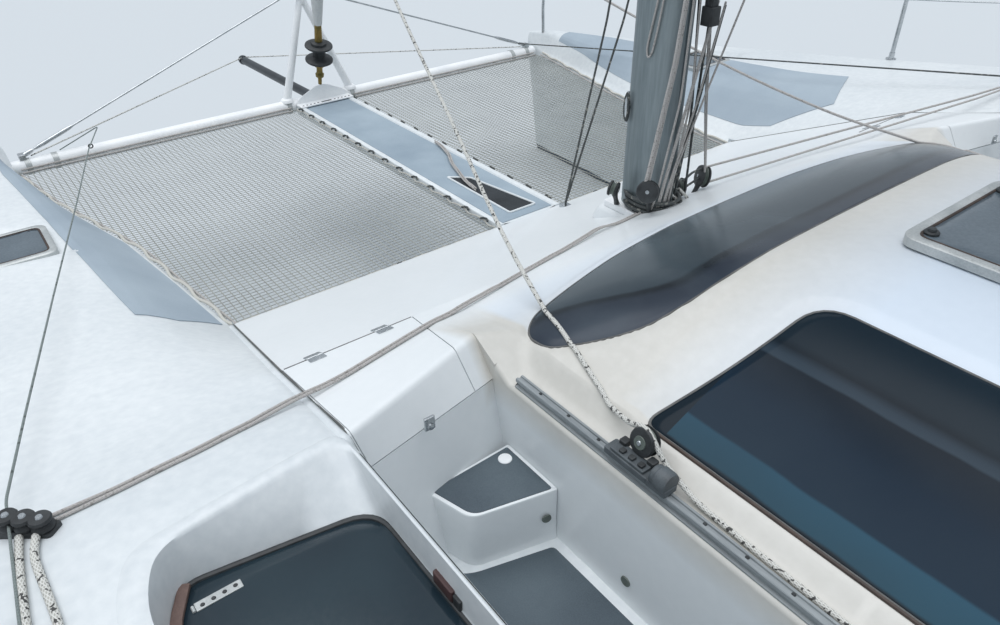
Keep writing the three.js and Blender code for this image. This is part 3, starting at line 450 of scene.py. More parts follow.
def turned(profile, centre, axis=(0, 0, 1), sides=24):
    """A body turned about an axis through centre, from rows of distance along the axis and radius."""
    profile = np.asarray(profile, float)
    path = np.asarray(centre) + profile[:, :1] * np.asarray(axis, float)
    steady = np.eye(3)[np.abs(axis).argmin()]
    side = np.cross(steady, axis)
    side /= np.linalg.norm(side)
    rise = np.cross(axis, side)
    ring = disc(1.0, sides)
    round_it = ring[:, :1] * side + ring[:, 1:] * rise
    return closed(path[:, None] + profile[:, 1, None, None] * round_it[None])


def piece(name, part, material, body="boat", slot=None, stands_for=(), crease=40, uv=None):
    """Makes the Blender object of a part, smooth except at creases, and lets it ride on a body."""
    points, faces = part
    mesh = bpy.data.meshes.new(name)
    mesh.from_pydata(points.tolist(), [], [face for some in faces for face in some.tolist()])
    mesh.polygons.foreach_set("use_smooth", np.ones(len(mesh.polygons), bool))
    mesh.set_sharp_from_angle(angle=math.radians(crease))
    if uv is not None:
        corner = np.zeros(len(mesh.loops), int)
        mesh.loops.foreach_get("vertex_index", corner)
        layer = mesh.uv_layers.new(name="along")
        layer.data.foreach_set("uv", uv[corner].ravel())
    mesh.materials.append(material)
    made = bpy.data.objects.new(name, mesh)
    bpy.context.scene.collection.objects.link(made)
    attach(made, body)
    if stands_for:
        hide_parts(*stands_for)
    return made


def both_sides(name, part, material, **more):
    """The same piece to port and to starboard."""
    stands_for = more.pop("stands_for", ())
    for side, shape in (("port", part), ("starboard", twin(part))):
        piece(f"{name}_{side}", shape, material, stands_for=[f"{node}_{side}" for node in stands_for], **more)


# %% [markdown]
# ## Hulls
#
# Each hull is lofted over stations: at each distance along the boat a ring of corners says where the
# keel line, waterline, gunwale, deck crown and inner edge lie. Between stations the values follow a
# curve that never overshoots, and the ring's corners are eased as the moulds are. The stern steps come
# from holding every point below the step's height. The rings leave out what lies inside the hatches.

# %% Hull shape
STATIONS = MM * np.array([
    # x, innerY, innerZ, crownY, crownZ, outerY, outerZ, keelY, halfWidth, draught
    [-4700, 1587, 1150, 1850, 1160, 2430, 1140, 1960, 260, 70],
    [-3600, 1587, 1240, 1850, 1252, 2500, 1220, 1960, 310, 210],
    [-2300, 1587, 1285, 1850, 1296, 2570, 1262, 1960, 350, 380],
    [-600, 1587, 1285, 1850, 1300, 2600, 1280, 1960, 370, 465],
    [1157, 1587, 1285, 1850, 1297, 2600, 1272, 1955, 355, 475],
    [1600, 1572, 1178, 1850, 1205, 2600, 1215, 1950, 340, 475],
    [2481, 1454, 800, 1785, 1050, 2565, 1100, 1940, 285, 465],
    [2900, 1510, 800, 1790, 1020, 2520, 1060, 1935, 240, 450],
    [3408, 1578, 800, 1815, 985, 2430, 1010, 1925, 175, 420],
    [4096, 1752, 800, 1860, 975, 2250, 968, 1912, 92, 330],
    [4600, 1850, 812, 1915, 948, 2030, 950, 1900, 46, 210],
    [4790, 1856, 880, 1874, 925, 1890, 925, 1874, 12, 60],
])
BULKHEAD_X, FRONT_X = 1.156, 2.480
WALL_FOOT_Y, SOLE_Z, DECK_Z = 1.484, 0.832, 0.800
STERN_STEPS = [(-3.500, 0.830), (-3.950, 0.560), (-4.330, 0.300)]


def steady_curve(x, table):
    """Values of each column at x, on a curve that bends no more than the table does: cubic pieces whose
    slopes are the harmonic mean of the slopes beside each station, and level where those disagree."""
    xs, ys = table[:, 0], table[:, 1:]
    gap = np.diff(xs)[:, None]
    slope = np.diff(ys, axis=0) / gap
    same = slope[:-1] * slope[1:] > 0
    mean = np.where(same, 2 * slope[:-1] * slope[1:] / np.where(same, slope[:-1] + slope[1:], 1), 0)
    at = np.vstack([slope[:1], mean, slope[-1:]])
    k = np.clip(np.searchsorted(xs, x) - 1, 0, len(xs) - 2)
    t = ((x - xs[k]) / gap[k, 0])[:, None]
    return ((1 + 2 * t) * (1 - t) ** 2 * ys[k] + t * (1 - t) ** 2 * gap[k] * at[k]
            + t ** 2 * (3 - 2 * t) * ys[k + 1] + t ** 2 * (t - 1) * gap[k] * at[k + 1])


def ramp01(v):
    """Smooth step from 0 to 1."""
    v = np.clip(v, 0, 1)
    return v * v * (3 - 2 * v)


def side_at(low, middle, high, z):
    """The hull side's distance off the centreline at height z, on the line low-middle-high."""
    share = lambda a, b: a[:, 1] + (b[:, 1] - a[:, 1]) * (z - a[:, 2]) / (b[:, 2] - a[:, 2])
    return np.where(z < middle[:, 2], share(low, middle), share(middle, high))


def hull_rings(x):
    """Rings of the port hull at each x: the CAD's own ring of corners, eased."""
    curve = steady_curve(x, STATIONS)
    inner_y, inner_z, crown_y, crown_z, outer_y, outer_z, keel_y, half, draught = curve.T
    straight = [np.interp(x, STATIONS[:, 0], STATIONS[:, k]) for k in (1, 2)]
    inner_y, inner_z = straight
    ahead, behind = x > FRONT_X, x < BULKHEAD_X
    rake = np.interp(x, [4.40, 4.60, 4.79], [0, 0.060, 0.110])
    knee = np.where(ahead, keel_y - half - 0.35 * (keel_y - half - inner_y),
                    np.where(behind, WALL_FOOT_Y, inner_y))
    low_y = np.where(behind, WALL_FOOT_Y, inner_y + np.where(ahead, 0.003, 0))
    low_z = np.where(ahead, inner_z - 0.060, SOLE_Z - 0.005)
    lip = np.minimum(0.030, 0.2 * (crown_y - inner_y))
    corners = [
        (x - 1.5 * rake, keel_y, -draught),
        (x - 1.4 * rake, keel_y + 0.62 * half, -0.72 * draught),
        (x - 1.2 * rake, keel_y + 0.95 * half, -0.25 * draught),
        (x - rake, keel_y + half + 0.004, 0.070 + 0 * x),
        (x - 0.5 * rake, outer_y - 0.3 * (outer_y - keel_y - half), 0.47 * outer_z),
        (x, outer_y, outer_z - 0.110),
        (x, outer_y - np.minimum(0.012, 0.1 * (outer_y - inner_y)), outer_z - 0.028),
        (x, outer_y - np.minimum(0.070, 0.3 * (outer_y - inner_y)), outer_z),
        (x, 0.5 * (crown_y + outer_y), 0.5 * (crown_z + outer_z) + 0.008),
        (x, crown_y, crown_z),
        (x, inner_y + lip, inner_z + 0.006),
        (x, inner_y, inner_z - 0.014),
        (x, low_y, low_z),
        (x - 0.5 * rake, knee, 0.6 * DECK_Z + 0 * x),
        (x - rake, keel_y - half - 0.004, 0.070 + 0 * x),
        (x - 1.2 * rake, keel_y - 0.95 * half, -0.25 * draught),
        (x - 1.4 * rake, keel_y - 0.62 * half, -0.72 * draught),
    ]
    ring = np.stack([np.stack(np.broadcast_arrays(*corner), -1) for corner in corners], 1)
    soft = MM * np.array([60, 90, 110, 160, 160, 60, 22, 40, 200, 120, 22, 12, 10, 20, 60, 110, 90])
    legs = [1, 1, 1, 2, 2, 1, 1, 10, 10, 14, 1, 4, 2, 2, 1, 1, 1]
    points = eased(ring, soft, legs, shut=True)
    ceiling = np.full(len(x), 9.0)
    for start, height in STERN_STEPS:
        ceiling = np.where(x < start, height, ceiling)
    # what is held down also stays between the two sides at that height, because the hull flares
    outboard = side_at(ring[:, 3], ring[:, 4], ring[:, 5], ceiling)
    inboard = side_at(ring[:, 14], ring[:, 13], ring[:, 12], ceiling)
    held = points[..., 2] > ceiling[:, None]
    points[..., 1] = np.where(held, np.clip(points[..., 1], inboard[:, None], outboard[:, None]), points[..., 1])
    points[..., 2] = np.minimum(points[..., 2], ceiling[:, None])
    return points


spread = [np.linspace(-4.70, -3.52, 34), np.linspace(-3.5, 1.155, 190), np.linspace(1.157, 2.479, 60),
          np.linspace(2.481, 4.60, 84), np.linspace(4.61, 4.79, 12)]
risers = [start + d for start, _ in STERN_STEPS for d in (-0.001, 0.001)]
hull_x = np.unique(np.concatenate(spread + [risers]))
hull_points = hull_rings(hull_x)
# a level pad carries the bow hatch, and the deck eases down to it over 50 mm
BOW_PAD_Z = 0.9745
pad_plan = outline([(3.078, 1.858), (3.412, 1.858), (3.412, 2.242), (3.078, 2.242)], 0.05)
pad_share = ramp01(1 - distance_to(pad_plan, hull_points[..., 0], hull_points[..., 1]) / 0.05)
on_top = hull_points[..., 2] > 0.9
to_pad = np.minimum(hull_points[..., 2], BOW_PAD_Z) - hull_points[..., 2]
hull_points[..., 2] += np.where(on_top, pad_share * to_pad, 0)
hull_shape = closed(hull_points)


def without(part, inside):
    """The part without the faces whose centres are inside, which is asked once with all centres."""
    points, faces = part
    return points, [some[~inside(points[some].mean(1))] for some in faces]


def within(x0, x1, y0, y1, above):
    """A test for points inside a box in plan, above a height."""
    return lambda p: ((p[:, 0] > x0) & (p[:, 0] < x1) & (p[:, 1] > y0) & (p[:, 1] < y1)
                      & (p[:, 2] > above))


coaming_ridge = outline([(1.146, 1.602), (1.096, 2.020), (0.990, 2.064), (0.206, 2.064), (0.206, 1.602)], 0.05)
hull_shape = without(hull_shape, lambda p: (p[:, 2] > 1.21) & (distance_to(coaming_ridge, p[:, 0], p[:, 1]) < 0.014))
hull_shape = without(hull_shape, within(3.125, 3.365, 1.905, 2.195, 0.9))

hull_coat, tree, shader = finish("hull_gelcoat_over_antifouling", "dfe4e6", 0.36, IOR=1.5, Coat_Weight=0.15)
ramp, bump = weather(tree, shader, "d3d9dc", "e9edee", 900, 26, (0.30, 0.44), 0.15)
place = put(tree, "ShaderNodeTexCoord").outputs["Object"]
height = put(tree, "ShaderNodeSeparateXYZ", links={0: place}).outputs["Z"]
dry = put(tree, "ShaderNodeMath", {"operation": "GREATER_THAN", 1: 0.035}, {0: height}).outputs[0]
coats = put(tree, "ShaderNodeMix", {"data_type": "RGBA", 6: hue("2a3b4c")}, {"Factor": dry, 7: ramp.outputs[0]})
tree.links.new(coats.outputs[2], shader.inputs["Base Color"])
both_sides("hull_moulding", hull_shape, hull_coat, slot="gelcoat", stands_for=["hull"], crease=50)
print("hull:", len(hull_shape[0]), "points")

# %% [markdown]
# ## Cabin and foredeck
#
# The cabin is a low turtleback: its height grows with the distance from its foot and levels off, which
# is what a tanh curve does. Where it meets the side ledge and the foredeck, the mould has a generous
# hollow, so the largest of the three heights is taken with a soft maximum: max(a, b) plus a quarter of
# (k - |a - b|)² / k wherever the two are closer than k. The panes lie in shallow recesses, whose edge
# is worked out from the distance to the pane's outline.

# %% Deck heights
CABIN_HALF, LEDGE_HALF, LEDGE_Z, HINGE_X = 1.046, 1.160, 1.213, 1.600
AFT_X, SEAM_INBOARD = -1.500, 1.1595
SLOPE = (1.178 - DECK_Z) / (FRONT_X - HINGE_X)


half_strip = [(1.392, 0.0), (1.388, 0.3), (1.358, 0.6), (1.306, 0.85), (1.270, 0.985), (1.225, 1.038),
              (1.150, 1.040), (1.098, 0.992), (1.040, 0.93), (0.985, 0.85), (0.955, 0.72), (0.940, 0.54),
              (0.942, 0.3), (0.944, 0.0)]
strip_plan = outline(half_strip + [(x, -y) for x, y in half_strip[-2:0:-1]], 0.045)
pane_plan = outline([(0.812, 1.038), (0.764, 0.880), (0.736, 0.740), (0.720, 0.558), (-0.560, 0.556),
                     (-0.640, 0.650), (-0.640, 0.985), (-0.600, 1.036)],
                    [0.035, 0.1, 0.1, 0.085, 0.07, 0.05, 0.05, 0.03])


def soft_max(a, b, k):
    """The larger of two heights, with a round fillet of about size k where they meet."""
    return np.maximum(a, b) + np.maximum(k - np.abs(a - b), 0) ** 2 / (4 * k)


def nose_x(off):
    """Where the cabin's foot turns across the foredeck."""
    return 1.409 - 0.146 * np.minimum(off / 1.008, 1.2) ** 2.74


def crest_x(off):
    """Where the foredeck's slanting crest lies, at a distance off the centreline: in front of the cabin
    it is the cabin's foot, and on the wings a straight line that slants aft."""
    wing = 1.158 + (1.599 - off) * 0.304
    return np.where(off < CABIN_HALF, nose_x(off), np.where(off < LEDGE_HALF, np.interp(
        off, [CABIN_HALF, LEDGE_HALF], [nose_x(CABIN_HALF), 1.158 + 0.439 * 0.304]), wing))


def deck_z(x, y, panes=True):
    """Height of the deck between the hulls' inner edges."""
    off = np.abs(y)
    side, front = CABIN_HALF - off, 1.12 * (nose_x(off) - x)
    inward = -soft_max(-side, -front, 0.12)
    foot = 1.264 + 0.014 * ramp01((x - 1.0) / 0.4)
    cabin = foot + np.where(inward > 0, 0.245 * np.tanh(1.8 * inward), 1.1 * inward)
    crest, crest_z = crest_x(off), np.interp(off, [1.0, LEDGE_HALF], [1.270, 1.288])
    lid_slope = (crest_z - 1.178) / (HINGE_X - crest)
    fore = np.where(x > HINGE_X, DECK_Z + SLOPE * (FRONT_X - x), 1.178 + lid_slope * (HINGE_X - x))
    scoop = crest_z - 0.55 * (crest - x)
    fore = np.where(x < crest, scoop, fore)
    fore = np.where(x < crest, np.maximum(fore, LEDGE_Z), fore)
    deck = soft_max(fore, cabin, 0.022)
    if panes:
        side_away = distance_to(pane_plan, x, off)
        strip_away = distance_to(strip_plan, x, y)
        deck = deck - 0.012 * ramp01(1 - side_away / 0.040) - 0.006 * ramp01(1 - strip_away / 0.014)
    hatch = np.maximum(np.abs(x - 0.4735) - 0.2485, off - 0.270)
    return np.where(hatch < 0.002, np.minimum(deck, 1.4855), deck)


# %% [markdown]
# The cabin moulding is a shell. Each ring runs up the passage wall, over the roof, down the other wall
# and back along the inside, 38 mm further in. The ring is repeated every 13 mm along the boat. The roof
# hatch is left out of both faces, and four short walls join them around it.

# %% Cabin shell
SHELL = 0.038
HATCH_HOLE = {"x0": 0.255, "x1": 0.692, "half": 0.240}
rows_x = np.unique(np.concatenate([np.arange(AFT_X, 1.205, 0.013), [0.255, 0.692, 0.225, 0.722, 1.205]]))
half_y = np.unique(np.concatenate([np.arange(0, 1.146, 0.0132), [0.240, 0.270, 1.046, 1.146]]))
across = np.concatenate([-half_y[:0:-1], half_y])
grid_x, grid_y = np.meshgrid(rows_x, across, indexing="ij")
top = np.stack([grid_x, grid_y, deck_z(grid_x, grid_y)], -1)
quarter = np.linspace(0, math.pi / 2, 6)[1:]
edge_z = top[:, -1, 2]
edge_y = 1.146 + 0.014 * np.sin(quarter)
bend = np.stack([np.repeat(rows_x[:, None], 5, 1), np.broadcast_to(edge_y, (len(rows_x), 5)),
                 edge_z[:, None] - 0.014 * (1 - np.cos(quarter))], -1)
down = np.linspace(0, 1, 8)[1:]
wall = np.stack([np.repeat(rows_x[:, None], 7, 1), np.full((len(rows_x), 7), LEDGE_HALF),
                 (edge_z - 0.014)[:, None] * (1 - down) + (SOLE_Z - 0.002) * down], -1)
port_edge = np.concatenate([bend, wall], 1)
starboard_edge = (port_edge * (1, -1, 1))[:, ::-1]
inner_y = np.array([1.122, 1.122, 1.0, 0.9, 0.75, 0.6, 0.42, 0.24, 0.12, -0.12, -0.24, -0.42, -0.6, -0.75,
                    -0.9, -1.0, -1.122, -1.122])
inner_x, lining_y = np.meshgrid(rows_x, inner_y, indexing="ij")
lining_z = deck_z(inner_x, lining_y, panes=False) - SHELL - 0.012
lining_z[:, [0, -1]] = SOLE_Z - 0.002
lining = np.stack([inner_x, lining_y, lining_z], -1)
shell_rings = np.concatenate([starboard_edge, top, port_edge, lining], 1)
points, sides = skin(shell_rings, ring=True)
around = shell_rings.shape[1]
caps = [np.arange(around)[None], (len(rows_x) - 1) * around + np.arange(around)[::-1][None]]
shell = outward((points, sides + caps))


def in_hatch(p):
    """Faces over the roof hatch's opening."""
    return ((p[:, 0] > HATCH_HOLE["x0"]) & (p[:, 0] < HATCH_HOLE["x1"])
            & (np.abs(p[:, 1]) < HATCH_HOLE["half"]) & (p[:, 2] > 1.3))


shell = without(shell, in_hatch)
x0, x1, half = HATCH_HOLE["x0"], HATCH_HOLE["x1"], HATCH_HOLE["half"]
loop = np.vstack([np.linspace(a, b, 12, endpoint=False)
                  for a, b in zip([(x0, -half), (x1, -half), (x1, half), (x0, half)],
                                  [(x1, -half), (x1, half), (x0, half), (x0, -half)])])
upper = deck_z(loop[:, 0], loop[:, 1])
lower = deck_z(loop[:, 0], loop[:, 1], panes=False) - SHELL - 0.012
wall_loops = np.stack([np.column_stack([loop, upper]), np.column_stack([loop, lower])])
shell = joined(shell, skin(wall_loops, ring=True))
print("cabin shell:", len(shell[0]), "points")

# aft bulkhead, with the doorway left open
rim = shell_rings[0][:-len(inner_y)][:, 1:]
inside_rim = np.vstack([rim[8:-8:4], rim[-1:], rim[:1]])
inside_rim = inside_rim * (0.995, 1) - (0, 0.004)
bearing = np.arctan2(inside_rim[:, 1] - 1.13, inside_rim[:, 0])
reach = np.minimum(0.3 / np.maximum(np.abs(np.cos(bearing)), 1e-6),
                   np.where(np.sin(bearing) > 0, 0.325, 0.27) / np.maximum(np.abs(np.sin(bearing)), 1e-6))
door_rim = np.stack([reach * np.cos(bearing), 1.13 + reach * np.sin(bearing)], -1)


def upright(yz, x):
    """A plan of y and z, stood up at one x."""
    return np.column_stack([np.full(len(yz), x), yz])


bulkhead = outward(skin(np.stack([upright(inside_rim, AFT_X + 0.0005), upright(door_rim, AFT_X + 0.0005),
                                  upright(door_rim, AFT_X + 0.030), upright(inside_rim, AFT_X + 0.030)]),
                        ring=True, loop=True))

# %% [markdown]
# One coat covers cabin and foredeck. The gelcoat around the front windows has gone cream, and the foredeck
# still looks a cool white. The roof away from those windows is tinted blue, which is painted sky light on its
# top, so the colour drifts with the distance from those windows.

# %% Deck gelcoat
deck_coat, tree, shader = finish("deck_gelcoat_cream_with_painted_sky_tint", "e2dfd8", 0.4, IOR=1.5, Coat_Weight=0.12)
ramp, bump = weather(tree, shader, "cac8c1", "d8d6d0", 700, 26, (0.32, 0.46), 0.12)
grain = ramp.inputs["Fac"].links[0].from_socket
place = put(tree, "ShaderNodeTexCoord").outputs["Object"]
parts = put(tree, "ShaderNodeSeparateXYZ", links={0: place})


def two_tones(dark, light):
    """The same stains as the main ramp, between two other colours."""
    tones = put(tree, "ShaderNodeValToRGB", links={"Fac": grain})
    tones.color_ramp.elements[0].color, tones.color_ramp.elements[1].color = hue(dark), hue(light)
    return tones.outputs[0]


def step(socket, low, high, start=0.0, end=1.0):
    """A ramp from start at low to end at high."""
    return put(tree, "ShaderNodeMapRange", {"From Min": low, "From Max": high, "To Min": start, "To Max": end},
               {"Value": socket}).outputs[0]


def larger(a, b, operation="MAXIMUM"):
    """The larger of two values, or another operation on them."""
    return put(tree, "ShaderNodeMath", {"operation": operation}, {0: a, 1: b}).outputs[0]


off = put(tree, "ShaderNodeMath", {"operation": "ABSOLUTE"}, {0: parts.outputs["Y"]}).outputs[0]
away = put(tree, "ShaderNodeMath", {"operation": "ADD", 1: -1.02}, {0: parts.outputs["X"]}).outputs[0]
away = put(tree, "ShaderNodeMath", {"operation": "ABSOLUTE"}, {0: away}).outputs[0]
creamy = larger(step(away, 0.12, 0.42, 1.0, 0.0), step(off, 1.00, 1.03))
ahead = larger(step(parts.outputs["X"], 1.34, 1.50), step(off, 1.165, 1.20))
ahead = larger(ahead, step(parts.outputs["Z"], 1.12, 1.20, 1.0, 0.0))
# the blue tones on the roof are painted sky light on its top
roof = put(tree, "ShaderNodeMix", {"data_type": "RGBA"},
           {"Factor": creamy, 6: two_tones("ccd7e3", "dde7f1"), 7: ramp.outputs[0]})
both = put(tree, "ShaderNodeMix", {"data_type": "RGBA"},
           {"Factor": ahead, 6: roof.outputs[2], 7: two_tones("dde2e4", "eff2f3")})
tree.links.new(both.outputs[2], shader.inputs["Base Color"])
piece("cabin_moulding", joined(shell, bulkhead), deck_coat, slot="cabin", stands_for=["coachroof"], crease=50)

# %% [markdown]
# The foredeck climbs from the nets to the cabin. Its wings have a locker each, closed by a lid that
# bends over the crest and down the bulkhead. Wing and lid are the same surface: profiles run from the
# hinge over the crest and down the face, and the columns between the lid's edges become the lid.

# %% Foredeck, wings and locker lids
SEAM_X, SEAM_Y = (1.06, 1.157, 1.600, 2.480), (1.5855, 1.5855, 1.5705, 1.4525)


def seam_y(x):
    """The hull's inner edge, off the centreline, forward of the bulkhead."""
    return np.interp(x, SEAM_X, SEAM_Y)


def slab(grid, depth):
    """A closed sheet: the grid, the same grid one depth below along its normals, and the rim."""
    lengthwise, widthwise = np.gradient(grid, axis=0), np.gradient(grid, axis=1)
    normal = np.cross(lengthwise, widthwise)
    normal /= np.maximum(np.linalg.norm(normal, axis=-1, keepdims=True), 1e-12)
    normal = normal * np.where(np.median(normal[..., 2]) < 0, -1, 1)
    low = grid - normal * depth
    rim = lambda g: np.concatenate([g[0, :-1], g[:-1, -1], g[-1, :0:-1], g[:0:-1, 0]])
    sides = skin(np.stack([rim(grid), rim(low)]), ring=True)
    points, faces = skin(grid)
    under, back = skin(low)
    whole = joined((points, faces), (under, [back[0][:, ::-1]]))
    kept = joined(whole, (sides[0], [sides[1][0]]))
    return welded(outward_sheet(kept))


def outward_sheet(part):
    """Turns the rim so that it agrees with the sheet: the closed volume is largest when it does."""
    points, groups = part
    centred = points - points.mean(0)
    corner = lambda f, k: np.cross(centred[f[:, k]], centred[f[:, k + 1]])
    volume = lambda some: sum(np.einsum("ij,ij->", centred[f[:, 0]], corner(f, k))
                              for f in some for k in range(1, f.shape[1] - 1))
    flipped = groups[:-1] + [groups[-1][:, ::-1]]
    best = groups if abs(volume(groups)) > abs(volume(flipped)) else flipped
    return points, best if volume(best) > 0 else [f[:, ::-1] for f in best]


def welded(part, close=1e-6):
    """The same part with points at one place made into one."""
    points, faces = part
    keys = np.round(points / close).astype(np.int64)
    _, first, inverse = np.unique(keys, axis=0, return_index=True, return_inverse=True)
    inverse = inverse.ravel()
    return points[first], [inverse[f] for f in faces]


ahead_x = np.unique(np.concatenate([np.linspace(1.6, 2.47, 40), 2.48 - 0.012 * (1 - np.sin(quarter))]))
drop = np.where(ahead_x > 2.468, 0.012 - np.sqrt(np.maximum(0.012 ** 2 - (ahead_x - 2.468) ** 2, 0)), 0)
width = np.linspace(-1, 1, 61)
plank_x, share_y = np.meshgrid(ahead_x, width, indexing="ij")
deck_top = np.stack([plank_x, share_y * seam_y(plank_x),
                     deck_z(plank_x, 0.3 * share_y) - drop[:, None]], -1)
under_z = np.interp(ahead_x, [1.6, 1.9, 2.3, 2.48], [0.52, 0.52, 0.59, 0.71])
low_share = np.array([1.0, 0.0, -1.0])
deck_low = np.stack([np.repeat(ahead_x[:, None], 3, 1), low_share * np.minimum(seam_y(ahead_x), 1.475)[:, None],
                     np.repeat(under_z[:, None], 3, 1)], -1)
fore_rings = np.concatenate([deck_top, deck_low], 1)
points, sides = skin(fore_rings, ring=True)
n = fore_rings.shape[1]
foredeck = outward((points, sides + [np.arange(n)[None], (len(ahead_x) - 1) * n + np.arange(n)[::-1][None]]))

middle_x = np.unique(np.concatenate([np.arange(1.205, 1.6, 0.0125), [1.6]]))
middle_y = np.concatenate([-half_y[:0:-1], half_y])
middle_y = np.concatenate([[-SEAM_INBOARD], middle_y, [SEAM_INBOARD]])
mid_x, mid_y = np.meshgrid(middle_x, middle_y, indexing="ij")
mid_top = np.stack([mid_x, mid_y, deck_z(mid_x, mid_y)], -1)
mid_low = np.stack([np.repeat(middle_x[:, None], 3, 1),
                    np.repeat([[SEAM_INBOARD, 0.0, -SEAM_INBOARD]], len(middle_x), 0),
                    np.full((len(middle_x), 3), 0.52)], -1)
mid_rings = np.concatenate([mid_top, mid_low], 1)
points, sides = skin(mid_rings, ring=True)
n = mid_rings.shape[1]
middle = outward((points, sides + [np.arange(n)[None], (len(middle_x) - 1) * n + np.arange(n)[::-1][None]]))

# wing profiles: hinge, crest, upper face, and below the lid's seam the rest of the face


def wing_profile(off):
    """Corner points of the profile at a distance off the centreline, from the hinge to the lid's seam."""
    face_x = 1.129 + (1.585 - off) * 0.2
    crest_z = 1.288 + 0 * off
    return np.stack([np.stack([HINGE_X + 0 * off, off, 1.178 + 0 * off], -1),
                     np.stack([crest_x(off), off, crest_z], -1),
                     np.stack([face_x, off, 1.190 + 0 * off], -1)], 1)


def lid_columns(shares):
    """Profiles from the lid's inboard edge (share 0) to its outboard edge (share 1)."""
    inner = np.array([1.166, 1.236, 1.226])
    outer = np.array([seam_y(HINGE_X), seam_y(1.16), 1.564]) - 0.005
    off = inner + (outer - inner) * shares[:, None]
    corners = np.stack([wing_profile(off[:, k])[:, k] for k in range(3)], 1)
    return corners


def bent(corners):
    """Profiles with their middle corner rounded to 18 mm."""
    return eased(corners, [0, 0.018, 0], [18, 7, 1], turn=8)


columns = np.linspace(0, 1, 40)
lid_grid = bent(lid_columns(columns))
lid = slab(lid_grid, 0.022)
inboard = np.stack([wing_profile(np.array([v, v, v]))[range(3), range(3)] for v in (SEAM_INBOARD,)])
strip_in = bent(np.concatenate([inboard, lid_columns(np.array([-0.008]))]))
strip_in = np.linspace(strip_in[0], strip_in[1], 6)
outer_edge = np.stack([np.array([(HINGE_X, seam_y(HINGE_X), 1.178), (crest_x(1.587), 1.5865, 1.288),
                                 (1.129, 1.566, 1.190)])])
strip_out = bent(np.concatenate([lid_columns(np.array([1.006])), outer_edge]))
strip_out = np.linspace(strip_out[0], strip_out[1], 2)
face_off = np.array([SEAM_INBOARD, 1.226, 1.32, 1.42, 1.49, 1.54, 1.566])
face_top = np.stack([1.129 + (1.585 - face_off) * 0.2, face_off, np.full(7, 1.1865)], -1)
foot_off = np.interp(face_off, [SEAM_INBOARD, 1.566], [SEAM_INBOARD, 1.483])
foot_x = np.interp(foot_off, [1.16, 1.38, 1.457, 1.484], [1.140, 1.095, 1.063, 1.058])
face_foot = np.stack([foot_x, foot_off, np.full(7, SOLE_Z - 0.002)], -1)
face = np.linspace(face_top, face_foot, 14)
wing = joined(slab(strip_in, 0.012), slab(strip_out, 0.012), slab(face, 0.012))

# locker tub under the lid, and the underside between the hulls
tub_top = outline([(1.235, 1.235), (1.575, 1.235), (1.575, 1.545), (1.225, 1.545)], 0.04)
tub_levels = [(1.0, 1.165), (1.0, 0.90), (0.96, 0.862), (0.96, 0.842), (1.04, 0.842), (1.04, 1.165)]
centre = tub_top.mean(0)
tub = closed(np.stack([np.column_stack([centre + (tub_top - centre) * k, np.full(len(tub_top), z)])
                       for k, z in tub_levels]))
below = block(1.05, 1.60, -1.480, 1.480, 0.520, 0.545)
both_wings = joined(wing, twin(wing))
piece("foredeck_moulding", welded(joined(foredeck, middle, both_wings, tub, twin(tub), below), 1e-5), deck_coat,
      slot="gelcoat", stands_for=["foredeck"], crease=50)
piece("locker_lid_moulding_port", lid, deck_coat, body="locker_port", slot="gelcoat",
      stands_for=["locker_lid_port"], crease=50)
piece("locker_lid_moulding_starboard", twin(lid), deck_coat, body="locker_starboard", slot="gelcoat",
      stands_for=["locker_lid_starboard"], crease=50)
seam_line = np.array([(x, float(seam_y(x)), 0) for x in (2.46, 2.2, 1.9, 1.6)])
seam_line[:, 2] = deck_z(seam_line[:, 0], 0 * seam_line[:, 0])
seam_path = np.vstack([seam_line, [(1.38, 1.577, 1.2305), (1.18, 1.5855, 1.283), (1.150, 1.5855, 1.272),
                                   (1.132, 1.568, 1.19), (1.085, 1.522, 0.99), (1.056, 1.484, 0.84)]])
seal_grey, tree, shader = finish("joint_sealant_grey", "5c5d5c", 0.7, IOR=1.5)
weather(tree, shader, "4a4b4b", "747472", 45, 3, (0.6, 0.8), 0.2)
both_sides("foredeck_sealant", tube(eased(seam_path, 0.02, 3), 0.0026, 6), seal_grey, slot="dark")
# the hull's edge is rounded, so a bar of gelcoat filler makes the joint flush up to the sealant
filler_path = seam_path + np.where(np.arange(len(seam_path))[:, None] < 6, (0.0, 0.0120, -0.0155), (0.006, 0.012, 0.0))
both_sides("foredeck_joint_filler", tube(eased(filler_path, 0.02, 3), 0.0150, 14), gelcoat, slot="gelcoat")

# %% [markdown]
# ## Windows and hatches
#
# The panes are smoked acrylic, thermoformed to the cabin and bedded on a brown sealant. A pane is a
# sheet over its outline: rings run from the middle of the outline out to its edge, and every point takes
# the deck's height there. Acrylic shows the sky strongly at a low angle, and the curved side panes carry
# a teal reflection of the headliner's edge, drawn as a band that follows the pane.

# %% Panes


def over_outline(plan, centre, low, high, edge=0.003, rings=22, height=deck_z):
    """A closed sheet over an outline: high above the surface on top and low below it underneath."""
    share = np.concatenate([np.linspace(0.02, 1, rings) ** 0.8])
    size = np.linalg.norm(plan - centre, axis=1, keepdims=True)
    inner = plan - (plan - centre) / size * edge
    top = [np.array(centre) + (inner - centre) * k for k in share]
    layers = [np.column_stack([p, height(p[:, 0], p[:, 1]) + high]) for p in top]
    layers.append(np.column_stack([plan, height(plan[:, 0], plan[:, 1]) + high - edge]))
    layers.append(np.column_stack([plan, height(plan[:, 0], plan[:, 1]) + low]))
    last = np.array(centre) + (plan - centre) * 0.02
    layers.append(np.column_stack([last, height(last[:, 0], last[:, 1]) + low]))
    return closed(np.stack(layers))


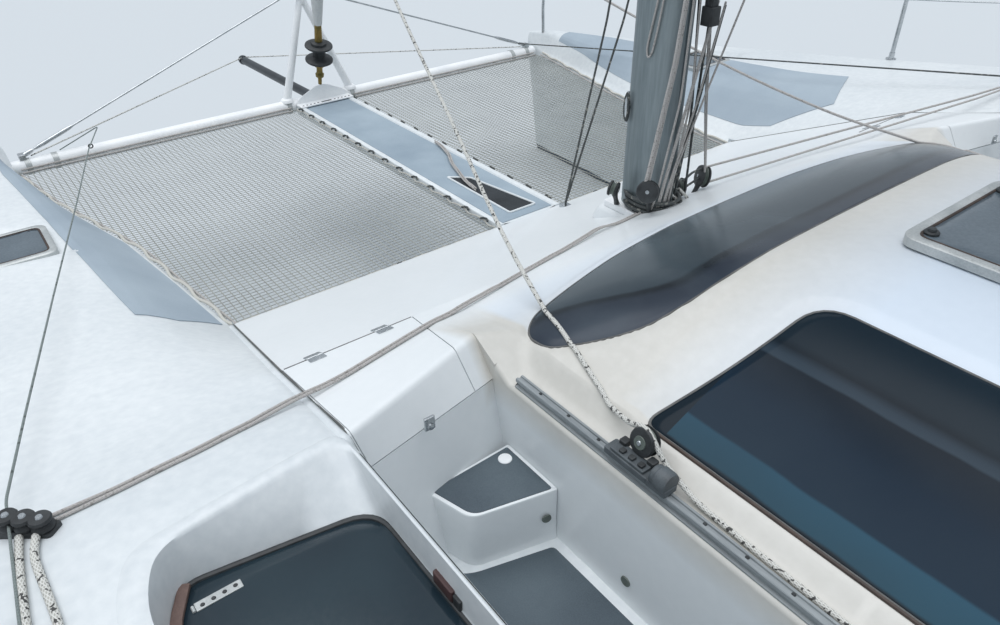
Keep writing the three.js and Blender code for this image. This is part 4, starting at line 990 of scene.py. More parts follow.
def ring_tube(plan, radius, lift, sides=8, height=deck_z):
    """A round bead laid along an outline on the deck."""
    path = np.column_stack([plan, height(plan[:, 0], plan[:, 1]) + lift])
    along = np.roll(path, -1, 0) - np.roll(path, 1, 0)
    along /= np.linalg.norm(along, axis=1, keepdims=True)
    side = np.cross((0, 0, 1), along)
    side /= np.linalg.norm(side, axis=1, keepdims=True)
    rise = np.cross(along, side)
    section = disc(radius, sides)
    rings = path[:, None] + section[None, :, :1] * side[:, None] + section[None, :, 1:] * rise[:, None]
    return outward(skin(rings, ring=True, loop=True))


side_glass, tree, shader = finish("smoked_acrylic_side_pane", "13202c", 0.16, IOR=1.49, Specular_IOR_Level=0.12)
place = put(tree, "ShaderNodeTexCoord").outputs["Object"]
axis = put(tree, "ShaderNodeSeparateXYZ", links={0: place})
off = put(tree, "ShaderNodeMath", {"operation": "ABSOLUTE"}, {0: axis.outputs["Y"]}).outputs[0]
wobble = put(tree, "ShaderNodeTexNoise", {"Scale": 5.0, "Detail": 3.0}, {"Vector": place}).outputs[0]
off = put(tree, "ShaderNodeMath", {"operation": "MULTIPLY_ADD", 1: 0.016}, {0: wobble, 2: off}).outputs[0]
band = put(tree, "ShaderNodeValToRGB", links={"Fac": put(
    tree, "ShaderNodeMapRange", {"From Min": 0.70, "From Max": 1.10}, {"Value": off}).outputs[0]})
stops = band.color_ramp.elements
stops[0].position, stops[0].color = 0.0, hue("1b2730")
stops[1].position, stops[1].color = 1.0, hue("0d1318")
for position, code in ((0.05, "131e27"), (0.10, "2b3843"), (0.14, "303d48"), (0.155, "121d27"), (0.42, "0c2233"),
                       (0.678, "0a2436"), (0.692, "254d60"), (0.835, "234858"), (0.85, "0d1419")):
    stops.new(position).color = hue(code)
before_end = put(tree, "ShaderNodeMath", {"operation": "GREATER_THAN", 1: 0.752}, {0: axis.outputs["X"]}).outputs[0]
cut = put(tree, "ShaderNodeMix", {"data_type": "RGBA", 7: hue("101a22")}, {"Factor": before_end, 6: band.outputs[0]})
# the soft lighter patches drifting over the pane are painted reflections
cloud = put(tree, "ShaderNodeTexNoise", {"Scale": 2.2, "Detail": 4.0}, {"Vector": place}).outputs[0]
painted_reflection_share = put(tree, "ShaderNodeMapRange", {"From Min": 0.40, "From Max": 0.75, "To Min": 0.0, "To Max": 0.45},
            {"Value": cloud}).outputs[0]
mixed = put(tree, "ShaderNodeMix", {"data_type": "RGBA", 7: hue("24343f")}, {"Factor": painted_reflection_share, 6: cut.outputs[2]})
tree.links.new(mixed.outputs[2], shader.inputs["Base Color"])
dust = put(tree, "ShaderNodeTexNoise", {"Scale": 1 / (6 * MM), "Detail": 3.0}, {"Vector": place}).outputs[0]
gloss = put(tree, "ShaderNodeMapRange", {"To Min": 0.14, "To Max": 0.26}, {"Value": dust}).outputs[0]
tree.links.new(gloss, shader.inputs["Roughness"])

front_glass, tree, shader = finish("smoked_acrylic_front_strip", "323a42", 0.2, IOR=1.49, Specular_IOR_Level=0.22)
place = put(tree, "ShaderNodeTexCoord").outputs["Object"]
axis = put(tree, "ShaderNodeSeparateXYZ", links={0: place})
# the tones that change across the strip and its pale patches are painted reflections of the sky
off = put(tree, "ShaderNodeMath", {"operation": "ABSOLUTE"}, {0: axis.outputs["Y"]}).outputs[0]
turn = put(tree, "ShaderNodeMapRange", {"interpolation_type": "SMOOTHSTEP", "From Min": 0.66, "From Max": 1.02,
                                        "To Max": -0.23}, {"Value": off}).outputs[0]
ahead = put(tree, "ShaderNodeMath", {"operation": "ADD"}, {0: axis.outputs["X"], 1: turn}).outputs[0]
wobble = put(tree, "ShaderNodeTexNoise", {"Scale": 1.8, "Detail": 4.0}, {"Vector": place}).outputs[0]
shifted = put(tree, "ShaderNodeMath", {"operation": "MULTIPLY_ADD", 1: 0.05}, {0: wobble, 2: ahead})
tone = put(tree, "ShaderNodeValToRGB", links={"Fac": put(
    tree, "ShaderNodeMapRange", {"From Min": 0.90, "From Max": 1.45}, {"Value": shifted.outputs[0]}).outputs[0]})
stops = tone.color_ramp.elements
stops[0].position, stops[0].color = 0.0, hue("3a424d")
stops[1].position, stops[1].color = 1.0, hue("525d63")
for position, code in ((0.22, "2c333d"), (0.262, "1b2127"), (0.285, "1c2228"), (0.31, "343e45"), (0.6, "3e494f")):
    stops.new(position).color = hue(code)
patch = put(tree, "ShaderNodeTexNoise", {"Scale": 3.2, "Detail": 5.0}, {"Vector": place}).outputs[0]
painted_sky_reflection_share = put(tree, "ShaderNodeMapRange", {"From Min": 0.45, "From Max": 0.72, "To Max": 0.4}, {"Value": patch}).outputs[0]
mixed = put(tree, "ShaderNodeMix", {"data_type": "RGBA", 7: hue("58636a")}, {"Factor": painted_sky_reflection_share, 6: tone.outputs[0]})
tree.links.new(mixed.outputs[2], shader.inputs["Base Color"])
gloss = put(tree, "ShaderNodeMapRange", {"To Min": 0.14, "To Max": 0.26}, {"Value": wobble}).outputs[0]
tree.links.new(gloss, shader.inputs["Roughness"])

sealant, tree, shader = finish("sealant_brown_weathered", "3e3430", 0.6, IOR=1.5)
weather(tree, shader, "332b28", "564840", 60, 3, (0.5, 0.72), 0.15)

side_pane = over_outline(pane_plan, (0.1, 0.80), -0.004, 0.0035)
strip_pane = over_outline(strip_plan, (1.15, 0.0), -0.004, 0.0035, rings=30)
both_sides("side_pane", side_pane, side_glass, slot="glass", stands_for=["side_window"], crease=60)
piece("front_pane", strip_pane, front_glass, slot="glass", stands_for=["front_window"], crease=60)
lower_edge = outward(ring_tube(pane_plan, 0.0040, 0.0012))
outboard = tube(np.column_stack([np.linspace(-0.600, 0.800, 60), np.full(60, 1.0395),
                                 deck_z(np.linspace(-0.600, 0.800, 60), np.full(60, 1.0395)) + 0.001]), 0.0048, 8)
both_sides("side_pane_bead", lower_edge, seal_grey, slot="dark")
both_sides("side_pane_sealant", outboard, sealant, slot="dark")
piece("front_pane_sealant", ring_tube(strip_plan, 0.0034, 0.0005), seal_grey, slot="dark")

# %% [markdown]
# The roof hatch is a bought fitting: a pale aluminium frame with round corners, a black seal, a pane of
# grey acrylic and two round latches. The bow hatches are smaller ones of the same make.

# %% Hatches
lid_frame, tree, shader = finish("hatch_frame_pale_aluminium", "b9bdbd", 0.38, Metallic=0.35)
weather(tree, shader, "a6abab", "c9cccb", 80, 5, (0.3, 0.5), 0.05)


def flat(z):
    """A height function for something level."""
    return lambda x, y: np.full(np.shape(x), z)


def frame_ring(x0, x1, y0, y1, width, z0, z1, corner):
    """A frame of rectangular section with round corners and an eased top edge."""
    outer = outline([(x0, y0), (x1, y0), (x1, y1), (x0, y1)], corner)
    w = width
    inner = outline([(x0 + w, y0 + w), (x1 - w, y0 + w), (x1 - w, y1 - w), (x0 + w, y1 - w)], corner * 0.7)
    ease = 0.2
    loops = [(outer, z0), (outer, z1 - 0.004), (outer + (inner - outer) * ease, z1),
             (outer + (inner - outer) * (1 - ease), z1), (inner, z1 - 0.004), (inner, z0)]
    rings = np.stack([np.column_stack([plan, np.full(len(plan), z)]) for plan, z in loops], 1)
    return outward(skin(rings, ring=True, loop=True))


def hatch(name, x0, x1, y0, y1, z, thick, frame_wide, latches, body, replaced, pane_code):
    """Frame, seal, pane and latches of a framed hatch on one moving body."""
    w = frame_wide
    piece(name + "_frame", frame_ring(x0, x1, y0, y1, w, z + 0.0005, z + thick, 0.045), lid_frame, body=body,
          slot="steel", stands_for=[replaced], crease=50)
    seal = outline([(x0 + w, y0 + w), (x1 - w, y0 + w), (x1 - w, y1 - w), (x0 + w, y1 - w)], 0.032)
    piece(name + "_seal", ring_tube(seal, 0.0045, z + thick - 0.004, height=flat(0.0)), rubber, body=body,
          slot="dark")
    middle = ((x0 + x1) / 2, (y0 + y1) / 2)
    pane = over_outline(seal, middle, z + thick - 0.014, z + thick - 0.0035, rings=6, height=flat(0.0))
    piece(name + "_pane", pane, pane_code, body=body, slot="glass", crease=50)
    fixed = [joined(turned([(0, 0.0), (0.001, 0.019), (0.006, 0.019), (0.009, 0.016), (0.0091, 0.0)],
                           (lx, ly, z + thick - 0.004)),
                    turned([(0, 0.0), (0.0005, 0.011), (0.006, 0.0095), (0.0061, 0.0)],
                           (lx, ly, z + thick + 0.0052))) for lx, ly in latches]
    piece(name + "_latches", joined(*fixed), nylon, body=body, slot="dark")


hatch_glass, tree, shader = finish("hatch_acrylic_grey", "59646c", 0.12, IOR=1.49)
weather(tree, shader, "4f5a62", "65717a", 300, 8, (0.09, 0.2), 0.02)
hatch("roof_hatch", 0.229, 0.719, -0.266, 0.266, 1.486, 0.027, 0.030, [(0.672, 0.200), (0.672, -0.185)],
      "roof_lid", "roof_hatch", hatch_glass)
for side, sign in (("port", 1), ("starboard", -1)):
    y_in, y_out = sorted((sign * 1.874, sign * 2.226))
    hatch("bow_hatch_" + side, 3.094, 3.396, y_in, y_out, BOW_PAD_Z, 0.0265, 0.028, [(3.16, sign * 2.13)],
          "bow_lid_" + side, "bow_hatch_" + side, hatch_glass)

# %% [markdown]
# ## Companionways
#
# A sunken lid closes the way down into each hull. Its coaming is a soft ridge round a well: the loops
# run from the deck over the ridge, down a facet that is wide at the forward inboard corner, and into
# the well. All loops have the same corners, so the surface between them is a plain grid.

# %% Coaming, well and lid
hull_tree = BVHTree.FromPolygons(hull_points.reshape(-1, 3).tolist(),
                                 skin(hull_points, ring=True)[1][0].tolist())


def on_hull(plan):
    """Height of the hull's deck under each point of a plan."""
    hits = [hull_tree.ray_cast(Vector((x, abs(y), 1.9)), Vector((0, 0, -1)))[0] for x, y in plan.tolist()]
    return np.array([1.2 if hit is None else hit.z for hit in hits])


corner_soft = [0.050, 0.050, 0.060, 0.05, 0.05]
skirt = outline([(1.190, 1.591), (1.130, 2.066), (1.005, 2.118), (0.165, 2.115), (0.165, 1.591)], corner_soft)
ridge_out = outline([(1.168, 1.597), (1.108, 2.040), (0.998, 2.082), (0.190, 2.080), (0.190, 1.597)], corner_soft)
ridge_in = outline([(1.146, 1.606), (1.092, 2.014), (0.988, 2.058), (0.212, 2.058), (0.212, 1.604)], corner_soft)
facet = outline([(1.012, 1.613), (1.076, 1.996), (0.985, 2.046), (0.246, 2.048), (0.246, 1.608)],
                [0.070, 0.040, 0.050, 0.03, 0.03])
lip = facet + (facet.mean(0) - facet) * 0.012
well = outline([(0.985, 1.652), (1.020, 1.960), (0.965, 2.010), (0.290, 2.010), (0.290, 1.652)], 0.03)
loops = [(skirt, on_hull(skirt) - 0.004), (skirt + (ridge_out - skirt) * 0.5, None), (ridge_out, None),
         (ridge_out + (ridge_in - ridge_out) * 0.5, None), (ridge_in, None)]
levels = [on_hull(plan) if z is None else z for plan, z in loops]
levels = [levels[0], levels[1] + 0.003, levels[2] + 0.007, levels[3] + 0.008, levels[4] + 0.003]
rings = [np.column_stack([plan, z]) for (plan, _), z in zip(loops, levels)]
steep = ridge_in + (facet - ridge_in) * 0.08
rings.append(np.column_stack([steep, levels[4] - 0.006]))
rings.append(np.column_stack([facet, np.full(len(facet), 1.199)]))
rings.append(np.column_stack([facet, np.full(len(facet), 1.184)]))
rings.append(np.column_stack([well + (facet - well) * 0.15, np.full(len(well), 1.180)]))
rings.append(np.column_stack([well, np.full(len(well), 1.170)]))
rings += [np.column_stack([well, np.full(len(well), z)]) for z in (0.9, 0.503, 0.5)]
back = [np.column_stack([well + (skirt - well) * k, np.full(len(well), z)])
        for k, z in ((0.05, 0.49), (0.05, 0.9), (0.2, 1.150))]
back.append(np.column_stack([skirt, levels[0] - 0.02]))
coaming = outward(skin(np.stack(rings[:-1]), ring=True))
points, sides = skin(np.stack(rings), ring=True)
floor = [(len(rings) - 1) * len(well) + np.arange(len(well))[None]]
part = (points, sides + floor)
under, under_sides = skin(np.stack([rings[0], *[b for b in back[::-1]]]), ring=True)
last = [3 * 0 + (len(back)) * len(well) + np.arange(len(well))[None]]
coaming = welded(outward(joined(part, (under, [under_sides[0][:, ::-1]] + [last[0][:, ::-1]]))))
both_sides("companion_coaming", coaming, gelcoat, slot="gelcoat", crease=42)

lid_glass, tree, shader = finish("companion_lid_smoked_acrylic", "222c36", 0.14, IOR=1.49)
place = put(tree, "ShaderNodeTexCoord").outputs["Object"]
broad = put(tree, "ShaderNodeTexNoise", {"Scale": 1.7, "Detail": 3.0}, {"Vector": place}).outputs[0]
tone = put(tree, "ShaderNodeValToRGB", links={"Fac": broad})
tone.color_ramp.elements[0].position, tone.color_ramp.elements[0].color = 0.35, hue("141e29")
tone.color_ramp.elements[1].position, tone.color_ramp.elements[1].color = 0.68, hue("26373f")
tree.links.new(tone.outputs[0], shader.inputs["Base Color"])
dust = put(tree, "ShaderNodeTexNoise", {"Scale": 1 / (9 * MM), "Detail": 4.0}, {"Vector": place}).outputs[0]
gloss = put(tree, "ShaderNodeMapRange", {"To Min": 0.10, "To Max": 0.24}, {"Value": dust}).outputs[0]
tree.links.new(gloss, shader.inputs["Roughness"])

lid_edge = facet + (facet.mean(0) - facet) * 0.018


def crowned(x, y):
    """Height of the companion lid: it rises a little towards its middle."""
    across, along = (np.abs(y) - 1.83) / 0.22, (x - 0.65) / 0.42
    return 1.2005 + 0.0075 * np.clip(1 - across ** 2, 0, 1) * np.clip(1 - along ** 4, 0, 1)


lid = over_outline(lid_edge, (0.65, 1.83), -0.012, 0.0, edge=0.004, rings=10, height=crowned)
gasket = ring_tube(facet + (facet.mean(0) - facet) * 0.006, 0.0075, 1.1985, height=flat(0.0))
strap = block(0.997, 1.017, 1.902, 1.990, 1.2020, 1.2055, 0.0015)
screw_head = [(0, 0.0), (0.0003, 0.0045), (0.0016, 0.0035), (0.0017, 0.0)]
dots = joined(*[turned(screw_head, (1.008 - 0.001 * k, y, 1.2053), sides=12)
                for k, y in enumerate((1.914, 1.935, 1.956, 1.977))])
knuckle = tube([(0.999, 1.994, 1.2035), (1.013, 1.994, 1.2035)], 0.0035, 10)
batten = np.array([(1.066, 1.990), (0.985, 2.034), (0.80, 2.0385), (0.26, 2.0395)])
batten = np.column_stack([eased(batten, 0.03, 8), np.full(len(eased(batten, 0.03, 8)), 1.205)])
bar_shape = eased([(-0.011, -0.005), (0.011, -0.005), (0.011, 0.006), (-0.011, 0.006)], 0.003, shut=True, turn=2)
bend = np.count_nonzero(batten[:, 0] > 0.94)
strip = closed(carried(batten[bend - 1:], bar_shape, turned_by=(0, 0, 1)))
corner_lip = closed(carried(batten[:bend], bar_shape, turned_by=(0, 0, 1)))
brown, tree, shader = finish("rubber_strip_brown", "6a5550", 0.65, IOR=1.5)
weather(tree, shader, "5a4843", "7a645c", 50, 3, (0.55, 0.75), 0.2)
leather, tree, shader = finish("latch_reddish_brown", "4a3535", 0.6, IOR=1.5)
weather(tree, shader, "3d2a2a", "5a4240", 40, 3, (0.5, 0.7), 0.2)
latch = block(0.726, 0.788, 1.588, 1.618, 1.207, 1.236, 0.005)
tail = block(0.702, 0.7255, 1.586, 1.616, 1.205, 1.231, 0.004)
for side, sign in (("port", 1), ("starboard", -1)):
    as_is = (lambda part: part) if sign > 0 else twin
    lid_body = "companion_lid_" + side
    piece("companion_lid_" + side, as_is(lid), lid_glass, body=lid_body, slot="glass",
          stands_for=["companion_hatch_" + side], crease=50)
    piece("companion_strap_" + side, as_is(joined(strap, knuckle)), lid_frame, body=lid_body, slot="steel")
    piece("companion_strap_screws_" + side, as_is(dots), nylon, body=lid_body, slot="dark")
    piece("companion_latch_" + side, as_is(latch), leather, body=lid_body)
    piece("companion_latch_end_" + side, as_is(tail), nylon, body=lid_body, slot="dark")
    piece("companion_edge_strip_" + side, as_is(strip), brown, body=lid_body)
both_sides("companion_gasket", gasket, nylon, slot="dark")
# the strip round the lid's corner stays on the coaming, since it would swing into it
both_sides("companion_corner_lip", corner_lip, brown)

# %% [markdown]
# ## Passages
#
# Each side passage has a moulded corner step at its front end. Its top and the floor carry panels of
# grey non-slip that stop 12 mm short of the edges, where the white gelcoat shows as a rim.

# %% Corner steps and floor panels
step_plan = [(1.150, 1.1605), (1.145, 1.425), (1.006, 1.385), (0.948, 1.1605)]
step_top = outline(step_plan, [0.006, 0.012, 0.030, 0.010])
centre = step_top.mean(0)
flare = [(1.022, SOLE_Z + 0.0005), (1.016, SOLE_Z + 0.012), (1.008, SOLE_Z + 0.035), (1.0, SOLE_Z + 0.080),
         (1.0, 1.004), (0.994, 1.009), (0.985, 1.0105), (0.3, 1.0105)]
step = closed(np.stack([np.column_stack([centre + (step_top - centre) * k, np.full(len(step_top), z)])
                        for k, z in flare]))
panel_edge = centre + (step_top - centre) * 0.905
panel = over_outline(panel_edge, centre, 0.0, 0.0022, edge=0.001, rings=5, height=flat(1.0105))
white_disc = joined(turned([(0, 0), (0.0006, 0.0185), (0.0026, 0.0175), (0.0032, 0.0)], (1.110, 1.203, 1.0124)))
plugs = joined(turned([(0, 0.0), (0.0005, 0.013), (0.004, 0.012), (0.005, 0.0)], (0.9525, 1.195, 0.925),
                      axis=(-0.955, 0.28, 0)),
               turned([(0, 0.0), (0.0005, 0.014), (0.004, 0.013), (0.005, 0.0)], (0.708, 1.1602, 0.908),
                      axis=(0, 1, 0)))
grey_plastic, tree, shader = finish("plug_grey_plastic", "5d6660", 0.5, IOR=1.5)
weather(tree, shader, "4b544f", "6d7670", 30, 2, (0.4, 0.6), 0.1)
both_sides("corner_step_moulding", step, deck_coat, slot="cabin", stands_for=["corner_step"], crease=50)
both_sides("corner_step_grip", panel, grey_grip, slot="sole", crease=50)
both_sides("corner_step_cap", white_disc, white_spar)
both_sides("drain_plugs", plugs, grey_plastic, slot="dark")
floor_plan = outline([(1.035, 1.452), (0.992, 1.402), (0.930, 1.188), (-1.47, 1.180), (-1.47, 1.464), (0.98, 1.466)],
                     [0.012, 0.03, 0.012, 0.02, 0.02, 0.02])
floor_panel = over_outline(floor_plan, (0.2, 1.32), 0.0, 0.0022, edge=0.001, rings=6, height=flat(SOLE_Z + 0.0003))
both_sides("passage_floor_grip", floor_panel, grey_grip, slot="sole", crease=50)

# %% [markdown]
# ## Nets and catwalk
#
# The nets between the hulls are laced up tight, so that a person can walk on them. Pale cords run fore
# and aft every 29 mm, and thinner, darker ones cross them every 24 mm. Each cord is a small four-sided bar along its
# own row of an array, and the net hangs 30 mm lower in the middle.

# %% Nets


def strings(paths, radius, sides=4):
    """Closed bars along many paths at once: paths (count, points, 3)."""
    along = np.gradient(paths, axis=1)
    along /= np.linalg.norm(along, axis=-1, keepdims=True)
    side = np.cross((0.0, 0.0, 1.0), along)
    side /= np.maximum(np.linalg.norm(side, axis=-1, keepdims=True), 1e-9)
    rise = np.cross(along, side)
    angle = np.arange(sides) * 2 * np.pi / sides
    rings = (paths[:, :, None] + radius * (np.cos(angle)[:, None] * side[:, :, None]
                                           + np.sin(angle)[:, None] * rise[:, :, None]))
    index = np.arange(rings[..., 0].size).reshape(rings.shape[:3])
    turned_index = np.roll(index, -1, 2)
    quads = np.stack([index[:, :-1], turned_index[:, :-1], turned_index[:, 1:], index[:, 1:]], -1).reshape(-1, 4)
    return rings.reshape(-1, 3), [quads, index[:, 0, ::-1], index[:, -1]]


NET_X0, NET_X1, NET_IN, NET_Z = 2.484, 4.685, 0.190, 0.779
EDGE_X, EDGE_Y = (2.480, 2.90, 3.408, 4.096, 4.600, 4.73), (1.447, 1.503, 1.570, 1.745, 1.842, 1.860)


def net_z(x, y):
    """The net sags as a sine across and along."""
    u, v = (x - NET_X0) / (NET_X1 - NET_X0), (y - NET_IN) / (np.interp(x, EDGE_X, EDGE_Y) - NET_IN)
    return NET_Z - 0.022 * np.sin(np.pi * np.clip(u, 0, 1)) * np.sin(np.pi * np.clip(v, 0, 1))


def net_paths(ends, count):
    """Straight paths in plan between two ends (n, 2, 2), laid on the net's sag."""
    t = np.linspace(0, 1, count)[None, :, None]
    plan = ends[:, None, 0] * (1 - t) + ends[:, None, 1] * t
    return np.concatenate([plan, net_z(plan[..., 0], plan[..., 1])[..., None]], -1)


warp_y = np.arange(NET_IN + 0.018, 1.842, 0.029)
warp_start = np.interp(warp_y, EDGE_Y, EDGE_X, left=NET_X0)
warps = net_paths(np.stack([np.column_stack([np.maximum(warp_start, NET_X0), warp_y]),
                            np.column_stack([np.full(len(warp_y), NET_X1), warp_y])], 1), 26)
weft_x = np.arange(NET_X0 + 0.014, NET_X1, 0.024)
wefts = net_paths(np.stack([np.column_stack([weft_x, np.full(len(weft_x), NET_IN)]),
                            np.column_stack([weft_x, np.interp(weft_x, EDGE_X, EDGE_Y)])], 1), 22)
wefts[..., 2] -= 0.003
net = strings(warps, 0.0024)
cordage, tree, shader = finish("net_cord_pale_polyester", "9fa19b", 0.85, IOR=1.5)
weather(tree, shader, "8f918b", "b3b5ae", 260, 6, (0.75, 0.92), 0.4)
thin_cord, tree, shader = finish("net_cord_thin_grey", "888a85", 0.85, IOR=1.5)
weather(tree, shader, "777974", "9a9c96", 200, 5, (0.75, 0.92), 0.3)
both_sides("bow_net", net, cordage, slot="net", stands_for=["net"], crease=80)
both_sides("bow_net_wefts", strings(wefts, 0.0014), thin_cord, slot="net", crease=80)
print("net:", len(net[0]), "points a side")

# %% [markdown]
# Paint zones are thin sheets over the mould. Non-slip paint is rolled on between strips of masking tape,
# so its edges are sharp and straight in plan, and it lies on the deck just thicker than the gelcoat.

# %% Painted walkways forward


def on_deck(lines, count, lift=0.0035, legs=90):
    """A sheet over the hull's deck through edge lines given in plan, with heights from the hull."""
    marks = [np.linspace(0, len(line) - 1, legs) for line in lines]
    lines = np.stack([np.stack([np.interp(mark, np.arange(len(line)), np.array(line)[:, k]) for k in (0, 1)], -1)
                      for mark, line in zip(marks, lines)])
    place = np.linspace(0, len(lines) - 1, count)
    first = np.minimum(place.astype(int), len(lines) - 2)
    share = (place - first)[:, None, None]
    plan = lines[first] * (1 - share) + lines[first + 1] * share
    z = on_hull(plan.reshape(-1, 2)).reshape(plan.shape[:2])
    return slab(np.concatenate([plan, (z + lift)[..., None]], -1), 0.002)


inner_line = [(2.475, 1.490), (2.90, 1.532), (3.408, 1.600), (4.096, 1.775), (4.60, 1.866)]
middle_line = [(2.350, 1.650), (2.80, 1.670), (3.410, 1.735), (4.13, 1.850), (4.60, 1.902)]
outer_line = [(2.360, 1.774), (2.71, 1.801), (3.413, 1.852), (4.17, 1.925), (4.60, 1.940)]
zone = on_deck([inner_line, middle_line, outer_line], 31)
piece("walkway_paint_port", zone, blue_grip, slot="grip")
near_line = [(2.300, -1.560), (2.52, -1.565), (2.90, -1.600), (3.408, -1.665), (4.096, -1.820), (4.45, -1.885)]
middle_line = [(2.051, -1.720), (2.50, -1.735), (2.853, -1.760), (3.42, -1.830), (4.10, -1.920), (4.45, -1.940)]
far_line = [(2.200, -2.085), (2.53, -2.080), (2.87, -2.080), (3.42, -2.130), (4.10, -2.080), (4.45, -1.990)]
zone = on_deck([near_line, middle_line, far_line], 41)
piece("walkway_paint_starboard", zone, blue_grip, slot="grip")

# %% [markdown]
# ## Ropes
#
# Rope is drawn as a round bar whose texture coordinates run along and around it. The braid is two sets
# of diagonal strands that cross: each set is a wave of the length plus or minus the angle, and the bump
# takes the higher of the two. Marker threads every few pitches give the dark flecks of a sheet.

# %% Rope and its braid


def rope_finish(name, code, shade, fleck, fleck_share, pitch_mm=14, fleck_mm=16):
    """Braided rope: two crossing sets of strands in one colour with flecks of another. Where the strands dip, the shade
    colour is painted shade in the grooves.
    """
    material, tree, shader = finish(name, code, 0.8, IOR=1.5)
    along = put(tree, "ShaderNodeUVMap", {"uv_map": "along"}).outputs[0]
    part = put(tree, "ShaderNodeSeparateXYZ", links={0: along})
    waves = []
    for sign in (1, -1):
        turn = put(tree, "ShaderNodeMath", {"operation": "MULTIPLY", 1: sign * 4.0}, {0: part.outputs["X"]})
        phase = put(tree, "ShaderNodeMath", {"operation": "MULTIPLY_ADD", 1: 1 / (pitch_mm * MM)},
                    {0: part.outputs["Y"], 2: turn.outputs[0]})
        whole = put(tree, "ShaderNodeMath", {"operation": "MULTIPLY", 1: 2 * math.pi}, {0: phase.outputs[0]})
        waves.append(put(tree, "ShaderNodeMath", {"operation": "SINE"}, {0: whole.outputs[0]}).outputs[0])
    high = put(tree, "ShaderNodeMath", {"operation": "MAXIMUM"}, {0: waves[0], 1: waves[1]}).outputs[0]
    speck = put(tree, "ShaderNodeTexNoise", {"Scale": 1 / (fleck_mm * MM), "Detail": 1.0},
                {"Vector": put(tree, "ShaderNodeTexCoord").outputs["Object"]}).outputs[0]
    marked = put(tree, "ShaderNodeMath", {"operation": "GREATER_THAN", 1: 1 - fleck_share}, {0: speck}).outputs[0]
    # the darker shade colour in the grooves between strands is painted shade
    groove = put(tree, "ShaderNodeMapRange", {"From Min": -0.2, "From Max": 0.9}, {"Value": high}).outputs[0]
    body = put(tree, "ShaderNodeMix", {"data_type": "RGBA", 6: hue(shade), 7: hue(code)}, {"Factor": groove})
    coat = put(tree, "ShaderNodeMix", {"data_type": "RGBA", 7: hue(fleck)}, {"Factor": marked, 6: body.outputs[2]})
    tree.links.new(coat.outputs[2], shader.inputs["Base Color"])
    bump = put(tree, "ShaderNodeBump", {"Strength": 0.7, "Distance": 0.8 * MM}, {"Height": high})
    tree.links.new(bump.outputs[0], shader.inputs["Normal"])
    return material


def rope(name, paths, radius, material, body="boat", sides=10):
    """One object of several ropes: each path is a bar with its own along-and-around coordinates."""
    parts, coordinates = [], []
    for path in paths:
        path = np.asarray(path, float)
        part = tube(path, radius, sides)
        length = np.concatenate([[0], np.cumsum(np.linalg.norm(np.diff(path, axis=0), axis=1))])
        around = np.abs(np.linspace(-1, 1, sides, endpoint=False))
        uv = np.stack(np.broadcast_arrays(around[None, :], length[:, None]), -1).reshape(-1, 2)
        coordinates.append(np.vstack([uv, [0, 0], [0, length[-1]]]))
        parts.append(part)
    return piece(name, joined(*parts), material, body=body, crease=80, uv=np.vstack(coordinates))


sheet_white = rope_finish("sheet_braided_white_flecked", "dfdfda", "b8b7b0", "4e4e4d", 0.39, fleck_mm=9)
line_grey = rope_finish("line_braided_grey", "c6c3c0", "aaa6a2", "9b9793", 0.36, fleck_mm=7)
line_dark = rope_finish("line_braided_dark", "565a5a", "3e4242", "8a8a84", 0.36)
line_green = rope_finish("line_braided_grey_green", "929c9a", "6f7a79", "59625f", 0.36)
lacing_white = rope_finish("lacing_white", "dcdad2", "b0aea6", "8b8880", 0.22, 10)


def between(a, b, count=12):
    """Evenly spaced points of a straight line."""
    return np.linspace(np.array(a, float), np.array(b, float), count)


def wavy(path, reach, pitch, lift=0.0):
    """A path that swings from side to side, as lacing does: a sine of the length, with a lift."""
    path = flowing(path, 60)
    length = np.concatenate([[0], np.cumsum(np.linalg.norm(np.diff(path, axis=0), axis=1))])
    along = np.gradient(path, axis=0)
    side = np.cross((0, 0, 1), along)
    side /= np.linalg.norm(side, axis=1, keepdims=True)
    swing = np.sin(length / pitch * 2 * np.pi)[:, None]
    rise = (0.5 + 0.5 * np.cos(length / pitch * 4 * np.pi))[:, None] * (0, 0, lift)
    return path + side * swing * reach + rise


hull_edge = np.column_stack([EDGE_X[:-1], np.array(EDGE_Y[:-1]) + 0.004, np.full(5, 0.792)])
hull_edge[-1, 2] = 0.806
hull_lacing = wavy(hull_edge, 0.0075, 0.230, 0.004)
edge_rope = flowing(hull_edge - (0, 0.017, 0.010), 12)
beam_lines = [between((x, 0.232, z), (x, 1.82, z), 12) for x, z in ((4.672, 0.798), (4.650, 0.786))]
beam_lashing = wavy(between((4.684, 0.235, 0.792), (4.684, 1.82, 0.792), 12), 0.010, 0.145, 0.004)
plank_edge = [(x, 0.196, 0.786) for x in np.linspace(2.50, 4.66, 12)]
plank_lacing = wavy(plank_edge, 0.007, 0.16, 0.004)
front_edge = [(2.492, y, 0.786) for y in np.linspace(0.20, 1.44, 12)]
front_lacing = wavy(front_edge, 0.004, 0.11, 0.003)
knot_x = np.arange(2.58, 4.62, 0.155)
knots = joined(*[tube([(x - 0.022, 0.196, 0.797), (x - 0.006, 0.190, 0.803), (x + 0.012, 0.196, 0.802),
                       (x + 0.026, 0.202, 0.796)], 0.0052, 8) for x in knot_x])
for side, turn_it in (("port", 1), ("starboard", -1)):
    flip = np.array([1, turn_it, 1])
    rope("net_lacing_hull_" + side, [hull_lacing * flip], 0.0066, lacing_white)
    rope("net_edge_rope_" + side, [edge_rope * flip] + [line * flip for line in beam_lines], 0.0052, line_grey)
    rope("net_lacing_beam_" + side, [beam_lashing * flip, plank_lacing * flip, front_lacing * flip], 0.0036,
         lacing_white)
both_sides("net_lashings", knots, line_dark)

# %% [markdown]
# ## Catwalk and crossbeam
#
# The catwalk is a moulded plank with raised white edges. Its walking surface and the slot where a line
# goes down are worked as panels and rims. The beam is a painted aluminium tube.

